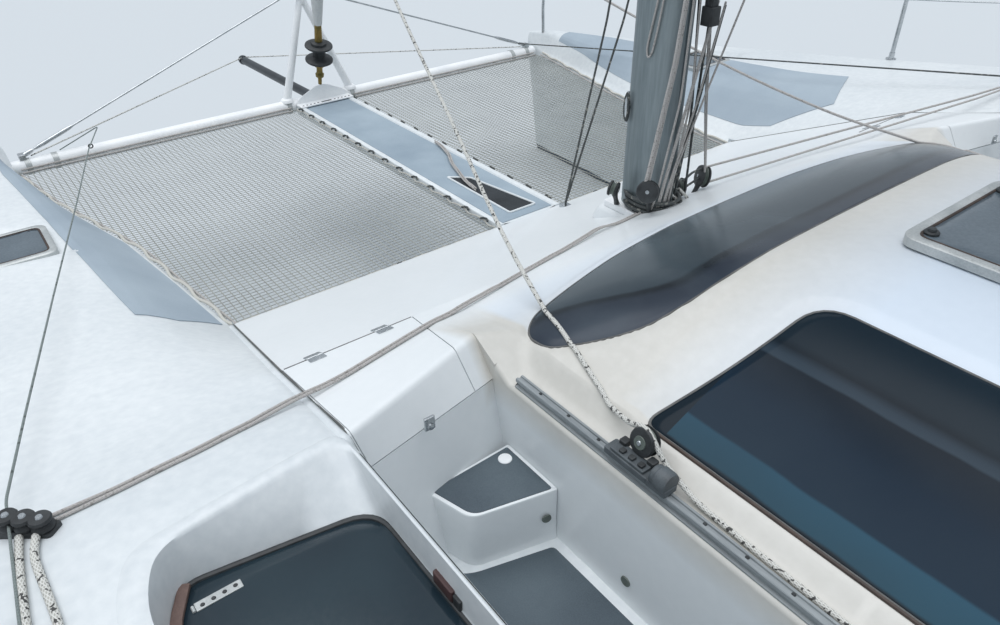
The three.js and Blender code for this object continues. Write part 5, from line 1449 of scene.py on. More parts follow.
# %% Catwalk
PLANK_X0, PLANK_X1, PLANK_HALF = 2.482, 4.685, 0.186
section = eased([(-PLANK_HALF, 0.742), (-PLANK_HALF, 0.803), (-0.158, 0.803), (-0.152, 0.7945), (0.152, 0.7945),
                 (0.158, 0.803), (PLANK_HALF, 0.803), (PLANK_HALF, 0.742)],
                [0.006, 0.006, 0.004, 0.003, 0.003, 0.004, 0.006, 0.006], [1, 1, 1, 12, 1, 1, 1, 12], shut=True)
plank_rows = np.linspace(PLANK_X0, PLANK_X1, 90)
slot_corner = [(3.095, 0.062), (3.010, -0.028), (2.560, -0.096), (2.560, 0.062)]
slot_plan = outline(slot_corner, 0.012)
plank_rings = np.concatenate([np.broadcast_to(plank_rows[:, None, None], (90, len(section), 1)),
                              np.broadcast_to(section[None], (90, *section.shape))], -1)
plank = closed(plank_rings)
piece("catwalk_moulding", plank, gelcoat, slot="gelcoat", stands_for=["catwalk"], crease=50)
panel_rows = np.linspace(PLANK_X0 + 0.02, PLANK_X1 - 0.06, 70)
panel_across = np.linspace(-0.149, 0.149, 14)
px, py = np.meshgrid(panel_rows, panel_across, indexing="ij")
panel = slab(np.stack([px, py, np.full(px.shape, 0.7975)], -1), 0.0025)
# a darker copy of the blue non-slip: the plank's darker look is painted shade
shaded_plank_grip, tree, shader = finish("non_slip_paint_blue_painted_shade", "98a8b4", 0.8, IOR=1.48)
weather(tree, shader, "8999a6", "a4b3bd", 300, 3, (0.68, 0.86), 0.5)
piece("catwalk_grip", panel, shaded_plank_grip, slot="grip")
# the slot's floor is a dark sheet painted with the shade seen down the slot
slot_floor = over_outline(slot_plan, slot_plan.mean(0), 0.0, 0.0016, edge=0.001, rings=5, height=flat(0.7978))
dark_hole, tree, shader = finish("shadowed_hollow", "2b2f33", 0.9, IOR=1.5)
weather(tree, shader, "24282c", "3b4044", 120, 9, (0.85, 0.95), 0.1)
piece("catwalk_slot", slot_floor, dark_hole)
piece("catwalk_slot_rim", ring_tube(slot_plan, 0.0055, 0.8005, height=flat(0.0)), gelcoat, slot="gelcoat")

# %% [markdown]
# ## Crossbeam, striker and furled headsail
#
# The beam carries the forestay's pull. Two tapered legs on it hold up the rods that stop it from bending.
# The furled sail is a roll round the stay: its radius grows a little with each turn and drops back, as
# the edge of wound cloth does, so the step runs up the roll as a spiral.

# %% Crossbeam, striker, bow fittings
BEAM_X, BEAM_Z, BEAM_HALF = 4.730, 0.790, 1.866
beam = tube([(BEAM_X, y, BEAM_Z) for y in np.linspace(-BEAM_HALF, BEAM_HALF, 48)], 0.043, 32)
piece("crossbeam_tube", beam, white_spar, slot="gelcoat", stands_for=["crossbeam"], crease=60)
collars = joined(*[tube([(BEAM_X, s * y0, BEAM_Z), (BEAM_X, s * (y0 + 0.03), BEAM_Z)], 0.0465, 32)
                   for s in (1, -1) for y0 in (0.215, 1.62, 1.76)])
piece("beam_collars", collars, lid_frame, slot="steel")
legs = []
for s in (1, -1):
    foot, apex = np.array([4.730, s * 0.230, 0.829]), np.array([4.788, 0.0, 1.446])
    path = np.linspace(foot, apex, 14)
    legs.append(tube(path, np.linspace(0.026, 0.020, 14), 20))
    legs.append(turned([(-0.006, 0.0), (-0.004, 0.044), (0.010, 0.040), (0.020, 0.030), (0.021, 0.0)], foot, sides=24))
legs.append(turned([(-0.05, 0.0), (-0.048, 0.026), (-0.02, 0.031), (0.012, 0.031), (0.016, 0.028), (0.0165, 0.0)],
                   (4.788, 0.0, 1.446)))
piece("striker_legs", joined(*legs), white_spar, slot="gelcoat", stands_for=["striker"], crease=50)
plate = []
gusset = eased([(-0.205, 0.806), (0.205, 0.806), (0.150, 0.852), (0.035, 0.905), (-0.035, 0.905), (-0.150, 0.852)],
               0.02, shut=True)
ring = lambda x: np.column_stack([np.full(len(gusset), x), gusset])
plate.append(closed(np.stack([ring(4.676), ring(4.682)])))
shelf = block(4.600, 4.700, -0.190, 0.190, 0.8035, 0.8115, 0.003)
piece("bow_plate", joined(plate[0], shelf), white_spar, slot="gelcoat", stands_for=["chainplate"], crease=50)
# the dark discs and the dark mark are painted shade in the plate's holes and slot
hole_y = np.concatenate([np.linspace(-0.165, -0.06, 5), np.linspace(0.06, 0.165, 5)])
holes = joined(*[turned([(0, 0.0), (0.0003, 0.0065), (0.0012, 0.006), (0.0013, 0.0)], (4.622, y, 0.8113), sides=12)
                 for y in hole_y])
slot_mark = block(4.614, 4.630, -0.035, 0.035, 0.8113, 0.8126, 0.0012)
piece("bow_plate_holes", joined(holes, slot_mark), dark_hole, slot="dark")


rods = []
for s in (1, -1):
    top, end = np.array([4.788, s * 0.055, 1.470]), np.array([4.742, s * 1.790, 0.848])
    run = between(top, end, 30)
    rods.append(tube(run, 0.0055, 12))
    share = lambda t: top + (end - top) * t
    rods.append(tube(np.stack([share(v) for v in (0.83, 0.845, 0.86, 0.93, 0.945, 0.96)]),
                     [0.0065, 0.011, 0.012, 0.012, 0.011, 0.0065], 14))
    rods.append(tube(np.stack([share(v) for v in (0.965, 0.985, 1.0)]), [0.010, 0.013, 0.010], 12))
    rods.append(block(4.715, 4.765, *sorted((s * 1.772, s * 1.808)), 0.832, 0.862, 0.004))
rods.append(block(4.762, 4.814, -0.068, 0.068, 1.4625, 1.4755, 0.004))
piece("striker_wires", joined(*rods), stainless, slot="steel", stands_for=["striker_rods"], crease=50)

sprit_path = between((4.774, 0, 0.788), (6.120, 0, 0.768), 40)
sprit_nose = turned([(-0.022, 0.0), (-0.02, 0.034), (0.0, 0.0365), (0.018, 0.034), (0.0205, 0.0)], (6.114, 0, 0.768),
                    axis=(1, 0, 0))
black_spar, tree, shader = finish("bowsprit_dark_anodised", "33373b", 0.4, IOR=1.5, Metallic=0.3)
weather(tree, shader, "2a2e32", "454b50", 120, 8, (0.32, 0.5), 0.08)
piece("bowsprit_spar", joined(tube(sprit_path, 0.030, 24), sprit_nose), black_spar, slot="dark",
      stands_for=["bowsprit"], crease=50)

# furled headsail: drum, swivel and the rolled sail on the stay
TACK, HEAD = np.array([4.688, 0, 0.900]), np.array([1.917, 0, 11.600])
STAY = (HEAD - TACK) / np.linalg.norm(HEAD - TACK)
STAY_LONG = float(np.linalg.norm(HEAD - TACK))


def on_stay(profile, sides=32):
    """A body turned about the forestay: its rows are distance from the tack and radius."""
    return turned(profile, TACK, axis=STAY, sides=sides)


drum = joined(on_stay([(0.170, 0.0), (0.171, 0.080), (0.176, 0.087), (0.186, 0.088), (0.192, 0.082), (0.200, 0.046),
                       (0.206, 0.040), (0.254, 0.040), (0.262, 0.046), (0.268, 0.082), (0.274, 0.088),
                       (0.282, 0.086), (0.286, 0.074), (0.287, 0.0)]),
              on_stay([(0.287, 0.0), (0.2875, 0.050), (0.300, 0.048), (0.306, 0.030), (0.307, 0.0)]))
piece("furler_drum", drum, nylon, body="genoa_furler", slot="dark", crease=40)
swivel = joined(on_stay([(0.010, 0.0), (0.0105, 0.012), (0.060, 0.013), (0.064, 0.026), (0.082, 0.028),
                         (0.090, 0.020), (0.130, 0.019), (0.136, 0.030), (0.150, 0.032), (0.160, 0.040),
                         (0.1695, 0.042), (0.170, 0.0)]),
                on_stay([(0.3075, 0.0), (0.308, 0.024), (0.415, 0.022), (0.4155, 0.0)]),
                on_stay([(STAY_LONG - 0.705, 0.0), (STAY_LONG - 0.70, 0.012), (STAY_LONG - 0.60, 0.012),
                         (STAY_LONG - 0.59, 0.009), (STAY_LONG - 0.02, 0.009), (STAY_LONG - 0.015, 0.0)]))
piece("furler_swivel", swivel, bronze, body="genoa_furler", slot="bronze", crease=40)
roll_t, around_t = np.linspace(0, 1, 200), np.linspace(0, 2 * np.pi, 36, endpoint=False)
reach = 0.418 + (STAY_LONG - 1.12) * roll_t
thick = np.interp(roll_t, [0, 0.02, 0.45, 0.97, 1.0], [0.026, 0.040, 0.051, 0.031, 0.020])
twist = around_t[None] + (roll_t * 70)[:, None]
fold = 1 + 0.07 * (np.mod(twist / (2 * np.pi), 1.0) - 0.5) + 0.012 * np.sin(5 * around_t[None] + 31 * roll_t[:, None])
axis_side = np.cross((0, 1, 0), STAY)
ring_dir = (np.cos(around_t)[:, None] * np.array([0, 1.0, 0]) + np.sin(around_t)[:, None] * axis_side)
roll = TACK + STAY * reach[:, None, None] + ring_dir[None] * (thick[:, None] * fold)[..., None]
rolled, tree, shader = finish("rolled_sailcloth", "c3c6c6", 0.75, IOR=1.5)
weather(tree, shader, "b4b8b8", "d3d5d4", 220, 6, (0.65, 0.85), 0.3, stretch=(1, 1, 0.25))
piece("rolled_genoa", closed(roll), rolled, body="genoa_furler", slot="sail",
      stands_for=["furled_genoa"], crease=35)

# %% [markdown]
# ## Mast, spreaders and boom
#
# Mast and boom are aluminium extrusions. The mast's section is an oval with the groove on its after edge
# in which the sail's slides run; the boom's is a narrower oval. Spreaders taper towards their tips.

# %% Mast
MAST_X, MAST_LONG, MAST_WIDE = 1.775, 0.112, 0.072
MAST_FOOT_Z, MAST_HEAD_Z, HOUNDS_Z, SPREADER_Z = 1.092, 13.200, 11.600, 6.600


def oval(long, wide, count=72, groove=0.0):
    """An ellipse as section points; a groove is cut in where it meets its own negative long axis."""
    angle = np.linspace(0, 2 * np.pi, count, endpoint=False)
    depth = np.where(np.abs(angle - np.pi) < 2.2 * np.pi / count, groove, 0)
    return np.stack([(long - depth) * np.cos(angle), wide * np.sin(angle)], -1)


def upright_prism(section, levels):
    """Rings of one plan section at several heights."""
    plan = np.broadcast_to(section[None], (len(levels), *section.shape))
    height = np.broadcast_to(np.asarray(levels, float)[:, None, None], (len(levels), len(section), 1))
    return np.concatenate([plan, height], -1)


mast_section = oval(MAST_LONG, MAST_WIDE, groove=0.014) + (MAST_X, 0)
mast_tube = closed(upright_prism(mast_section, np.linspace(MAST_FOOT_Z + 0.01, MAST_HEAD_Z, 110)))
mast_base = block(MAST_X - 0.135, MAST_X + 0.135, -0.095, 0.095, MAST_FOOT_Z, MAST_FOOT_Z + 0.026, 0.008)
crane = block(MAST_X - 0.190, MAST_X + 0.150, -0.020, 0.020, MAST_HEAD_Z - 0.040, MAST_HEAD_Z + 0.030, 0.006)
piece("mast_extrusion", joined(mast_tube, crane), anodised, slot="spar", stands_for=["mast"], crease=35)
piece("mast_step_plate", mast_base, white_spar, slot="gelcoat")
collar_plan = oval(MAST_LONG + 0.006, MAST_WIDE + 0.006, 48) + (MAST_X, 0)
piece("mast_collar", ring_tube(collar_plan, 0.009, 0.004), nylon, slot="dark")
plinth_levels = [(1.22, 1.040), (1.16, 1.062), (1.10, 1.080), (1.04, 1.0905), (0.9, 1.0915)]
plinth_plan = outline([(1.625, -0.105), (1.925, -0.105), (1.925, 0.105), (1.625, 0.105)], 0.04)
plinth = closed(np.stack([np.column_stack([np.array([MAST_X, 0]) + (plinth_plan - (MAST_X, 0)) * k,
                                           np.full(len(plinth_plan), z)]) for k, z in plinth_levels]))
piece("mast_plinth", plinth, deck_coat, slot="gelcoat", crease=60)

# %% [markdown]
# ## Spreaders and shrouds
#
# Wires hold the mast sideways, and spreaders hold the wires away from it. A spreader's oval section gets
# smaller towards its tip. A shroud is one tube whose radius follows a table, so that wire, stud and
# barrel are one closed surface.

# %% Spreaders and standing rigging
arm_rows = np.linspace(0, 1, 24)
arm_middle = np.stack([np.interp(arm_rows, [0, 1], [1.760, 1.602]), np.interp(arm_rows, [0, 1], [0.070, 0.905]),
                       np.full(24, SPREADER_Z)], -1)
arm_chord, arm_thick = np.interp(arm_rows, [0, 1], [0.047, 0.026]), np.interp(arm_rows, [0, 1], [0.014, 0.008])
arm_section = np.stack([oval(c, t, 20) for c, t in zip(arm_chord, arm_thick)])
arm = closed(np.stack([arm_middle[:, None, 0] + arm_section[..., 0], np.repeat(arm_middle[:, 1:2], 20, 1),
                       arm_middle[:, None, 2] + arm_section[..., 1]], -1))
tip = block(1.580, 1.625, 0.885, 0.9055, SPREADER_Z - 0.014, SPREADER_Z + 0.014, 0.004)
sleeve_rings = np.stack([upright_prism(oval(MAST_LONG + grow, MAST_WIDE + grow, 48) + (MAST_X, 0), [z])[0]
                         for grow, z in ((0.0005, SPREADER_Z - 0.028), (0.009, SPREADER_Z - 0.026),
                                         (0.009, SPREADER_Z + 0.026), (0.0005, SPREADER_Z + 0.028))])
sleeve = outward(skin(np.swapaxes(sleeve_rings, 0, 1), ring=True, loop=True))
piece("spreader_arms", joined(arm, twin(arm), tip, twin(tip), sleeve), anodised, slot="spar",
      stands_for=["spreaders"], crease=35)

WIRE_R, STUD_R, BARREL_R = 0.005, 0.007, 0.011


def shroud(foot, *above):
    """A wire from a screw at its foot to the points above: fork, threaded stud, barrel, stud, swage."""
    foot = np.array(foot)
    toward = (np.array(above[0]) - foot) / np.linalg.norm(np.array(above[0]) - foot)
    marks = [(0.0, 0.009), (0.035, 0.009), (0.040, STUD_R), (0.075, STUD_R), (0.080, BARREL_R), (0.230, BARREL_R),
             (0.235, STUD_R), (0.270, STUD_R), (0.275, 0.0085), (0.345, 0.0075), (0.350, WIRE_R), (0.6, WIRE_R)]
    lower = [foot + toward * d for d, _ in marks]
    upper = [between(a, b, 20)[1:] for a, b in zip([lower[-1], *above[:-1]], above)]
    path = np.vstack([lower, *upper])
    return tube(path, np.concatenate([[r for _, r in marks], np.full(len(path) - len(marks), WIRE_R)]), 12)


spreader_tip = (1.600, 0.915, SPREADER_Z)
cap_foot, lower_foot = (0.980, 2.480, 1.2870), (1.060, 2.470, 1.2875)
cap_shroud = shroud(cap_foot, spreader_tip, (MAST_X, MAST_WIDE + 0.0055, HOUNDS_Z))
lower_shroud = shroud(lower_foot, (MAST_X, MAST_WIDE + 0.0055, SPREADER_Z - 0.060))
both_sides("cap_shroud", cap_shroud, stainless, slot="steel", stands_for=["shroud"], crease=50)
both_sides("lower_shroud_wire", lower_shroud, stainless, slot="steel", stands_for=["lower_shroud"], crease=50)
shroud_plates = joined(*[block(x - 0.030, x + 0.030, y - 0.018, y + 0.018, 1.279, 1.2875, 0.003)
                         for x, y, _ in (cap_foot, lower_foot)])
both_sides("shroud_plates", shroud_plates, stainless, slot="steel")

# %% [markdown]
# ## Boom and gooseneck
#
# The boom turns about a pin between two lugs of a bracket on the mast. The bracket stays with the boat
# and the pin goes with the boom, so the joint is seen to work when the boom swings.

# %% Boom and gooseneck
BOOM_Z, BOOM_X0, BOOM_X1, BOOM_TALL, BOOM_WIDE, PIN_X = 2.230, 1.593, -2.550, 0.075, 0.050, 1.623
boom_levels = np.linspace(BOOM_X1 + 0.012, BOOM_X0 - 0.008, 60)
boom_section = oval(BOOM_TALL, BOOM_WIDE, 48, groove=0.0)
grow = np.concatenate([[0.90], np.ones(58), [0.94]])
boom_tube = closed(np.stack([np.column_stack([np.full(48, x), boom_section[:, 1] * k, BOOM_Z + boom_section[:, 0] * k])
                             for x, k in zip(boom_levels, grow)]))
boom_cap = block(BOOM_X1, BOOM_X1 + 0.016, -0.044, 0.044, BOOM_Z - 0.066, BOOM_Z + 0.066, 0.006)
boom_nose = block(1.563, PIN_X, -0.018, 0.018, BOOM_Z - 0.035, BOOM_Z + 0.035, 0.004)
boom_pin = turned([(-0.0615, 0.0), (-0.061, 0.020), (-0.055, 0.022), (0.055, 0.022), (0.061, 0.020), (0.0615, 0.0)],
                  (PIN_X, 0, BOOM_Z))
piece("boom_extrusion", joined(boom_tube, boom_cap, boom_nose, boom_pin), anodised, body="boom", slot="spar",
      stands_for=["boom"], crease=35)
bracket_x = MAST_X - MAST_LONG - 0.014
brackets = joined(block(1.603, bracket_x + 0.020, -0.022, 0.022, BOOM_Z - 0.084, BOOM_Z - 0.0625, 0.004),
                  block(1.603, bracket_x + 0.020, -0.022, 0.022, BOOM_Z + 0.0625, BOOM_Z + 0.084, 0.004),
                  block(bracket_x, bracket_x + 0.0145, -0.022, 0.022, BOOM_Z - 0.110, BOOM_Z + 0.110, 0.004),
                  turned([(-0.095, 0.0), (-0.094, 0.012), (-0.088, 0.012), (-0.0855, 0.008), (-0.0845, 0.0)],
                         (PIN_X, 0, BOOM_Z), sides=6))
piece("gooseneck_fitting", brackets, stainless, slot="steel", stands_for=["gooseneck_bracket"], crease=50)

# %% [markdown]
# The mainsail lies flaked on the boom under a laced canvas cover. The cover is one sheet whose edges are
# lashed to the boom: its section goes up over the pile of folds and down again, ties draw it in every
# 0.55 m, and between them it sags in soft folds.

# %% Sail cover
cover_x = np.linspace(1.470, -2.450, 180)
half_wide = np.interp(cover_x, [-2.45, -1.9, -0.7, 0.7, 1.483], [0.050, 0.086, 0.116, 0.126, 0.088])
rise = np.interp(cover_x, [-2.45, -1.9, -0.7, 0.7, 1.483], [0.100, 0.180, 0.262, 0.322, 0.322])
shape = np.array([(0.054, -0.30), (0.60, 0.06), (1.0, 0.35), (0.62, 0.80), (0.0, 1.0), (-0.62, 0.80), (-1.0, 0.35),
                  (-0.60, 0.06), (-0.054, -0.30)])
corners = np.stack([half_wide[:, None] * shape[:, 0], BOOM_Z + BOOM_TALL + rise[:, None] * shape[:, 1]], -1)
corners[:, 0] = np.stack([np.full(180, 0.053), np.full(180, BOOM_Z + 0.020)], -1)
corners[:, -1] = np.stack([np.full(180, -0.053), np.full(180, BOOM_Z + 0.020)], -1)
cover_yz = eased(corners, [0, 0.03, 0.07, 0.06, 0.05, 0.06, 0.07, 0.03, 0], 5, turn=5)
tie = np.cos(np.pi * cover_x / 0.55) ** 10
girth = np.linspace(-1, 1, cover_yz.shape[1])
fold = (-0.010 * tie[:, None] * (1 - girth ** 8)
        + 0.0035 * np.sin(2 * np.pi * (cover_x[:, None] / 0.137 + 1.3 * girth ** 2)) * (1 - girth ** 4)
        + 0.0025 * np.sin(2 * np.pi * (cover_x[:, None] / 0.083 - 2.1 * np.abs(girth))) * (1 - girth ** 4))
middle = np.stack([np.zeros(180), BOOM_Z + BOOM_TALL + 0.4 * rise], -1)[:, None]
away = cover_yz - middle
away /= np.linalg.norm(away, axis=-1, keepdims=True)
cover_yz = cover_yz + away * fold[..., None]
cover_grid = np.concatenate([np.repeat(cover_x[:, None, None], cover_yz.shape[1], 1), cover_yz], -1)
sail_cover = piece("sail_cover", slab(cover_grid, 0.0018), canvas, body="boom", slot="cover",
                   stands_for=["stowed_mainsail"], crease=70)

# %% [markdown]
# ## Blocks and lines at the mast
#
# Halyards and reefing lines come down to turning blocks at the mast's foot and go from there across the
# deck. A block is two round cheeks with a sheave between them, on a slanting strap. All these lines are
# pulled tight, so each is a straight run between its blocks.

# %% Turning blocks


def turning_block(place, axle, radius=0.040, cheek=0.010, gap=0.020):
    """Two cheeks, a sheave and an axle about an axis, as separate parts for two materials."""
    place, axle = np.array(place), np.array(axle, float) / np.linalg.norm(axle)
    half = gap / 2
    cheeks = []
    for s in (1, -1):
        rows = [(s * (half + cheek), 0.0), (s * (half + cheek), 0.55 * radius),
                (s * (half + 0.7 * cheek), 0.93 * radius), (s * half, radius), (s * half, 0.0)]
        cheeks.append(turned(rows, place, axis=axle, sides=28))
    rim = half - 0.002
    sheave = turned([(-rim, 0.0), (-rim, 0.86 * radius), (0, 0.70 * radius), (rim, 0.86 * radius), (rim, 0.0)],
                    place, axis=axle, sides=28)
    end = half + cheek + 0.002
    pin = turned([(-end, 0.0), (-end, 0.007), (end, 0.007), (end, 0.0)], place, axis=axle, sides=14)
    return joined(*cheeks), sheave, pin


block_places = [((1.731, -0.133, 1.167), (0.5, 1, 0.1), 0.036), ((1.722, -0.258, 1.180), (0.6, 1, 0.3), 0.044),
                ((1.640, 0.150, 1.262), (-0.7, 1, 0.4), 0.041), ((1.822, 0.135, 1.205), (0.9, 0.5, 0.2), 0.030)]
# each block hangs on a strap that leads down to the mast's foot
STRAP_FEET = [(1.737, -0.088, 1.110), (1.715, -0.190, 1.100), (1.700, 0.060, 1.118), (1.851, 0.080, 1.112)]
cheeks, wheels, pins, bases = [], [], [], []
for (place, axle, radius), strap_foot in zip(block_places, STRAP_FEET):
    made = turning_block(place, axle, radius=radius)
    for store, part in zip((cheeks, wheels, pins), made):
        store.append(part)
    strap = np.linspace(strap_foot, np.array(place) - 0.45 * (np.array(place) - strap_foot) / 2, 6)
    bases.append(tube(strap, [0.012, 0.010, 0.009, 0.009, 0.011, 0.013], 14))
piece("mast_block_cheeks", joined(*cheeks), nylon, slot="dark", stands_for=["mast_blocks"], crease=40)
piece("mast_block_sheaves", joined(*wheels), grey_plastic, slot="dark", crease=40)
piece("mast_block_pins", joined(*pins), stainless, slot="steel", crease=40)
piece("mast_block_straps", joined(*bases), nylon, slot="dark", crease=40)

# %% [markdown]
# ## Lines up the mast
#
# Lines of three thicknesses lead up in front of and behind each other. Each is a list of the points that
# it passes, rounded where it bends. The braid is drawn on it by the rope's own finish.

# %% Halyards and reefing lines
# from the foot up; the last points enter the mast or reach the boom's front end
UPRIGHT_LINES = {
    "thick": [((1.650, 0.140, 1.290), (1.640, 0.070, 1.700), (1.640, 0.036, 2.120)),
              ((1.650, 0.158, 1.285), (1.630, 0.096, 1.700), (1.628, 0.058, 2.115)),
              ((1.680, 0.045, 1.135), (1.650, 0.060, 1.240), (1.645, -0.020, 1.560), (1.640, -0.100, 1.870))],
    "thin": [((1.690, 0.075, 1.130), (1.655, 0.085, 1.215), (1.648, 0.020, 1.560), (1.6465, 0.010, 2.138)),
             ((1.672, 0.030, 1.128), (1.650, 0.040, 1.215), (1.645, -0.060, 1.520), (1.640, -0.140, 1.860)),
             ((1.668, 0.005, 1.125), (1.655, 0.010, 1.210), (1.648, -0.036, 1.560), (1.671, -0.034, 2.120)),
             ((1.700, -0.240, 1.205), (1.690, -0.170, 1.500), (1.690, -0.062, 2.300)),
             ((1.715, -0.262, 1.205), (1.700, -0.190, 1.500), (1.705, -0.066, 2.500)),
             ((1.670, 0.020, 1.128), (1.650, 0.030, 1.235), (1.640, -0.100, 1.560), (1.640, -0.238, 1.852))],
    "dark": [((1.666, -0.005, 1.125), (1.660, 0.000, 1.200), (1.648, -0.068, 1.500), (1.640, -0.140, 1.850)),
             ((1.690, -0.120, 1.190), (1.668, -0.090, 1.500), (1.648, -0.080, 1.875)),
             ((1.676, -0.035, 1.125), (1.672, -0.040, 1.190), (1.655, -0.055, 1.500), (1.702, -0.056, 2.125))],
}
for kind, radius, material in (("thick", 0.0056, line_grey), ("thin", 0.0038, line_grey), ("dark", 0.0046, line_dark)):
    rope("upright_lines_" + kind, [eased(np.array(run), 0.05, 16) for run in UPRIGHT_LINES[kind]], radius, material)

# a jammer on the mast's after side, and lines that cross from the mast to the starboard block
jammer = joined(block(1.605, 1.650, -0.077, -0.030, 1.800, 1.860, 0.006),
                block(1.612, 1.645, -0.070, -0.036, 1.855, 1.885, 0.006))
piece("mast_jammer", jammer, nylon, slot="dark", crease=40)
across = [[(1.690, -0.100, 1.215), (1.712, -0.180, 1.222), (1.722, -0.248, 1.214)],
          [(1.705, -0.110, 1.168), (1.715, -0.190, 1.176), (1.725, -0.262, 1.180)]]
rope("mast_cross_lines", [eased(np.array(run), 0.02, 10) for run in across], 0.0045, line_dark)
tail = flowing([(1.688, 0.005, 1.215), (1.672, -0.030, 1.180), (1.655, -0.062, 1.150), (1.640, -0.092, 1.128),
                (1.622, -0.118, 1.113), (1.600, -0.135, 1.119)], 10)
second_tail = flowing([(1.690, -0.080, 1.190), (1.668, -0.110, 1.150), (1.652, -0.100, 1.122), (1.640, -0.070, 1.114),
                       (1.620, -0.078, 1.120)], 10)
rope("mast_line_tails", [tail, second_tail], 0.0060, sheet_white)
turns_t = np.linspace(0, 1, 220)
turns = np.stack([MAST_X - 0.030 + (0.108 + 0.006 * np.sin(11 * turns_t)) * np.cos(2 * np.pi * 4 * turns_t) * 1.02,
                  (0.088 + 0.005 * np.cos(9 * turns_t)) * np.sin(2 * np.pi * 4 * turns_t),
                  MAST_FOOT_Z + 0.036 + 0.052 * turns_t + 0.006 * np.sin(2 * np.pi * 2.7 * turns_t)], -1)
rope("mast_foot_turns", [turns], 0.0070, line_dark)
hank_t = np.linspace(0, 1, 120)
hank = np.stack([1.846 + 0.010 * np.sin(2 * np.pi * 7 * hank_t) + 0.004, 0.0675 + 0.004 * hank_t + 0 * hank_t,
                 1.497 + 0.052 * np.cos(2 * np.pi * 7 * hank_t) * (1 - 0.15 * hank_t)], -1)
cleat = joined(tube([(1.850, 0.050, 1.497), (1.850, 0.066, 1.497)], [0.012, 0.009], 14),
               tube([(1.850, 0.0655, 1.440), (1.850, 0.0695, 1.470), (1.850, 0.0700, 1.497), (1.850, 0.0695, 1.524),
                     (1.850, 0.0655, 1.554)], [0.004, 0.007, 0.008, 0.007, 0.004], 12))
rope("cleat_turns", [hank], 0.0045, line_dark)
piece("mast_cleat", cleat, stainless, slot="steel", crease=50)
loop_line = flowing([(1.728, 0.0745, 1.96), (1.742, 0.0765, 1.879), (1.757, 0.0770, 1.800), (1.770, 0.0770, 1.725),
                     (1.764, 0.0768, 1.694), (1.748, 0.0765, 1.712), (1.735, 0.0750, 1.780), (1.722, 0.0730, 1.880),
                     (1.710, 0.0712, 1.96)], 8)
rope("mast_loop_line", [loop_line], 0.0032, line_grey)

# %% [markdown]
# ## Genoa gear
#
# The headsail's sheets run through a car on each side. The car slides on an extruded rail screwed to the
# ledge, and its sheave stands up at the inboard side. The rail's section is carried along the ledge.

# %% Tracks and cars
rail_metal, tree, shader = finish("rail_grey_anodised", "8b9295", 0.45, Metallic=0.3)
weather(tree, shader, "797f83", "a0a6a8", 60, 4, (0.38, 0.6), 0.08, stretch=(0.1, 1, 1))
rail_section = np.array([(1.1245, 1.2132), (1.1245, 1.2165), (1.1320, 1.2180), (1.1320, 1.2262), (1.1275, 1.2290),
                         (1.1275, 1.2372), (1.1290, 1.2388), (1.1342, 1.2388), (1.1352, 1.2350), (1.1428, 1.2350),
                         (1.1438, 1.2388), (1.1490, 1.2388), (1.1505, 1.2372), (1.1505, 1.2290), (1.1460, 1.2262),
                         (1.1460, 1.2180), (1.1535, 1.2165), (1.1535, 1.2132)])
rail_x = np.linspace(-0.900, 1.130, 60)
rail = closed(np.concatenate([np.broadcast_to(rail_x[:, None, None], (60, len(rail_section), 1)),
                              np.broadcast_to(rail_section[None], (60, *rail_section.shape))], -1))
both_sides("genoa_rail", rail, rail_metal, slot="dark", stands_for=["genoa_track"], crease=25)
screws = joined(*[turned([(0, 0.0), (0.0002, 0.0045), (0.0014, 0.0035), (0.0015, 0.0)], (x, 1.138, 1.2358), sides=12)
                  for x in np.arange(-0.85, 1.12, 0.1)])
stop = block(-0.899, -0.868, 1.1195, 1.1562, 1.2150, 1.2440, 0.004)
both_sides("genoa_rail_screws", joined(screws, stop), nylon, slot="dark", crease=40)

car_grey, tree, shader = finish("car_grey_plastic", "4c5257", 0.5, IOR=1.5)
weather(tree, shader, "3f4549", "5d6468", 40, 3, (0.4, 0.62), 0.1)
slider = joined(block(0.690, 0.815, 1.1180, 1.1580, 1.2393, 1.2560, 0.005),
                block(0.703, 0.800, 1.1215, 1.1545, 1.2558, 1.2630, 0.004))
lugs = joined(*[block(x - 0.010, x + 0.010, 1.110, 1.130, 1.2560, 1.2720, 0.004) for x in (0.708, 0.788)],
              *[block(x - 0.007, x + 0.007, 1.136, 1.150, 1.2628, 1.2690, 0.003) for x in (0.718, 0.745, 0.772)])
barrel_rows = [(-0.0005, 0.0), (0.0, 0.0235), (0.006, 0.0255), (0.030, 0.0255), (0.033, 0.0225), (0.042, 0.0225),
               (0.045, 0.0195), (0.046, 0.0)]
adjuster = turned(barrel_rows, (0.642, 1.137, 1.2655), axis=(1, 0, 0), sides=28)
adjuster_foot = block(0.640, 0.692, 1.1180, 1.1580, 1.2393, 1.2560, 0.004)
both_sides("genoa_car_slider", joined(slider, adjuster, adjuster_foot), car_grey, slot="dark", stands_for=["genoa_car"],
           crease=40)
car_cheeks, car_sheave, car_pin = turning_block((0.746, 1.106, 1.2900), (0.05, 1, 0.25), radius=0.034, cheek=0.008,
                                                gap=0.016)
both_sides("genoa_car_cheeks", joined(car_cheeks, lugs), nylon, slot="dark", crease=40)
both_sides("genoa_car_sheave", joined(car_sheave, turned([(0, 0.0), (0.0005, 0.016), (0.003, 0.015), (0.0035, 0.0)],
                                                         (0.7465, 1.1215, 1.2940), axis=(0.05, 0.97, 0.24))),
           grey_plastic, slot="dark", crease=40)
both_sides("genoa_car_pin", joined(car_pin, turned([(0, 0.0), (0.0004, 0.006), (0.002, 0.005), (0.0023, 0.0)],
                                                   (0.7468, 1.1248, 1.2948), axis=(0.05, 0.97, 0.24), sides=16)),
           stainless, slot="steel", crease=40)

# %% [markdown]
# ## Lines on deck
#
# Every line is led taut through its blocks, so its route is straight runs eased at the fittings. Where a
# line lies on the deck, its height is the deck's height there plus its own radius.

# %% Deck heights for lines


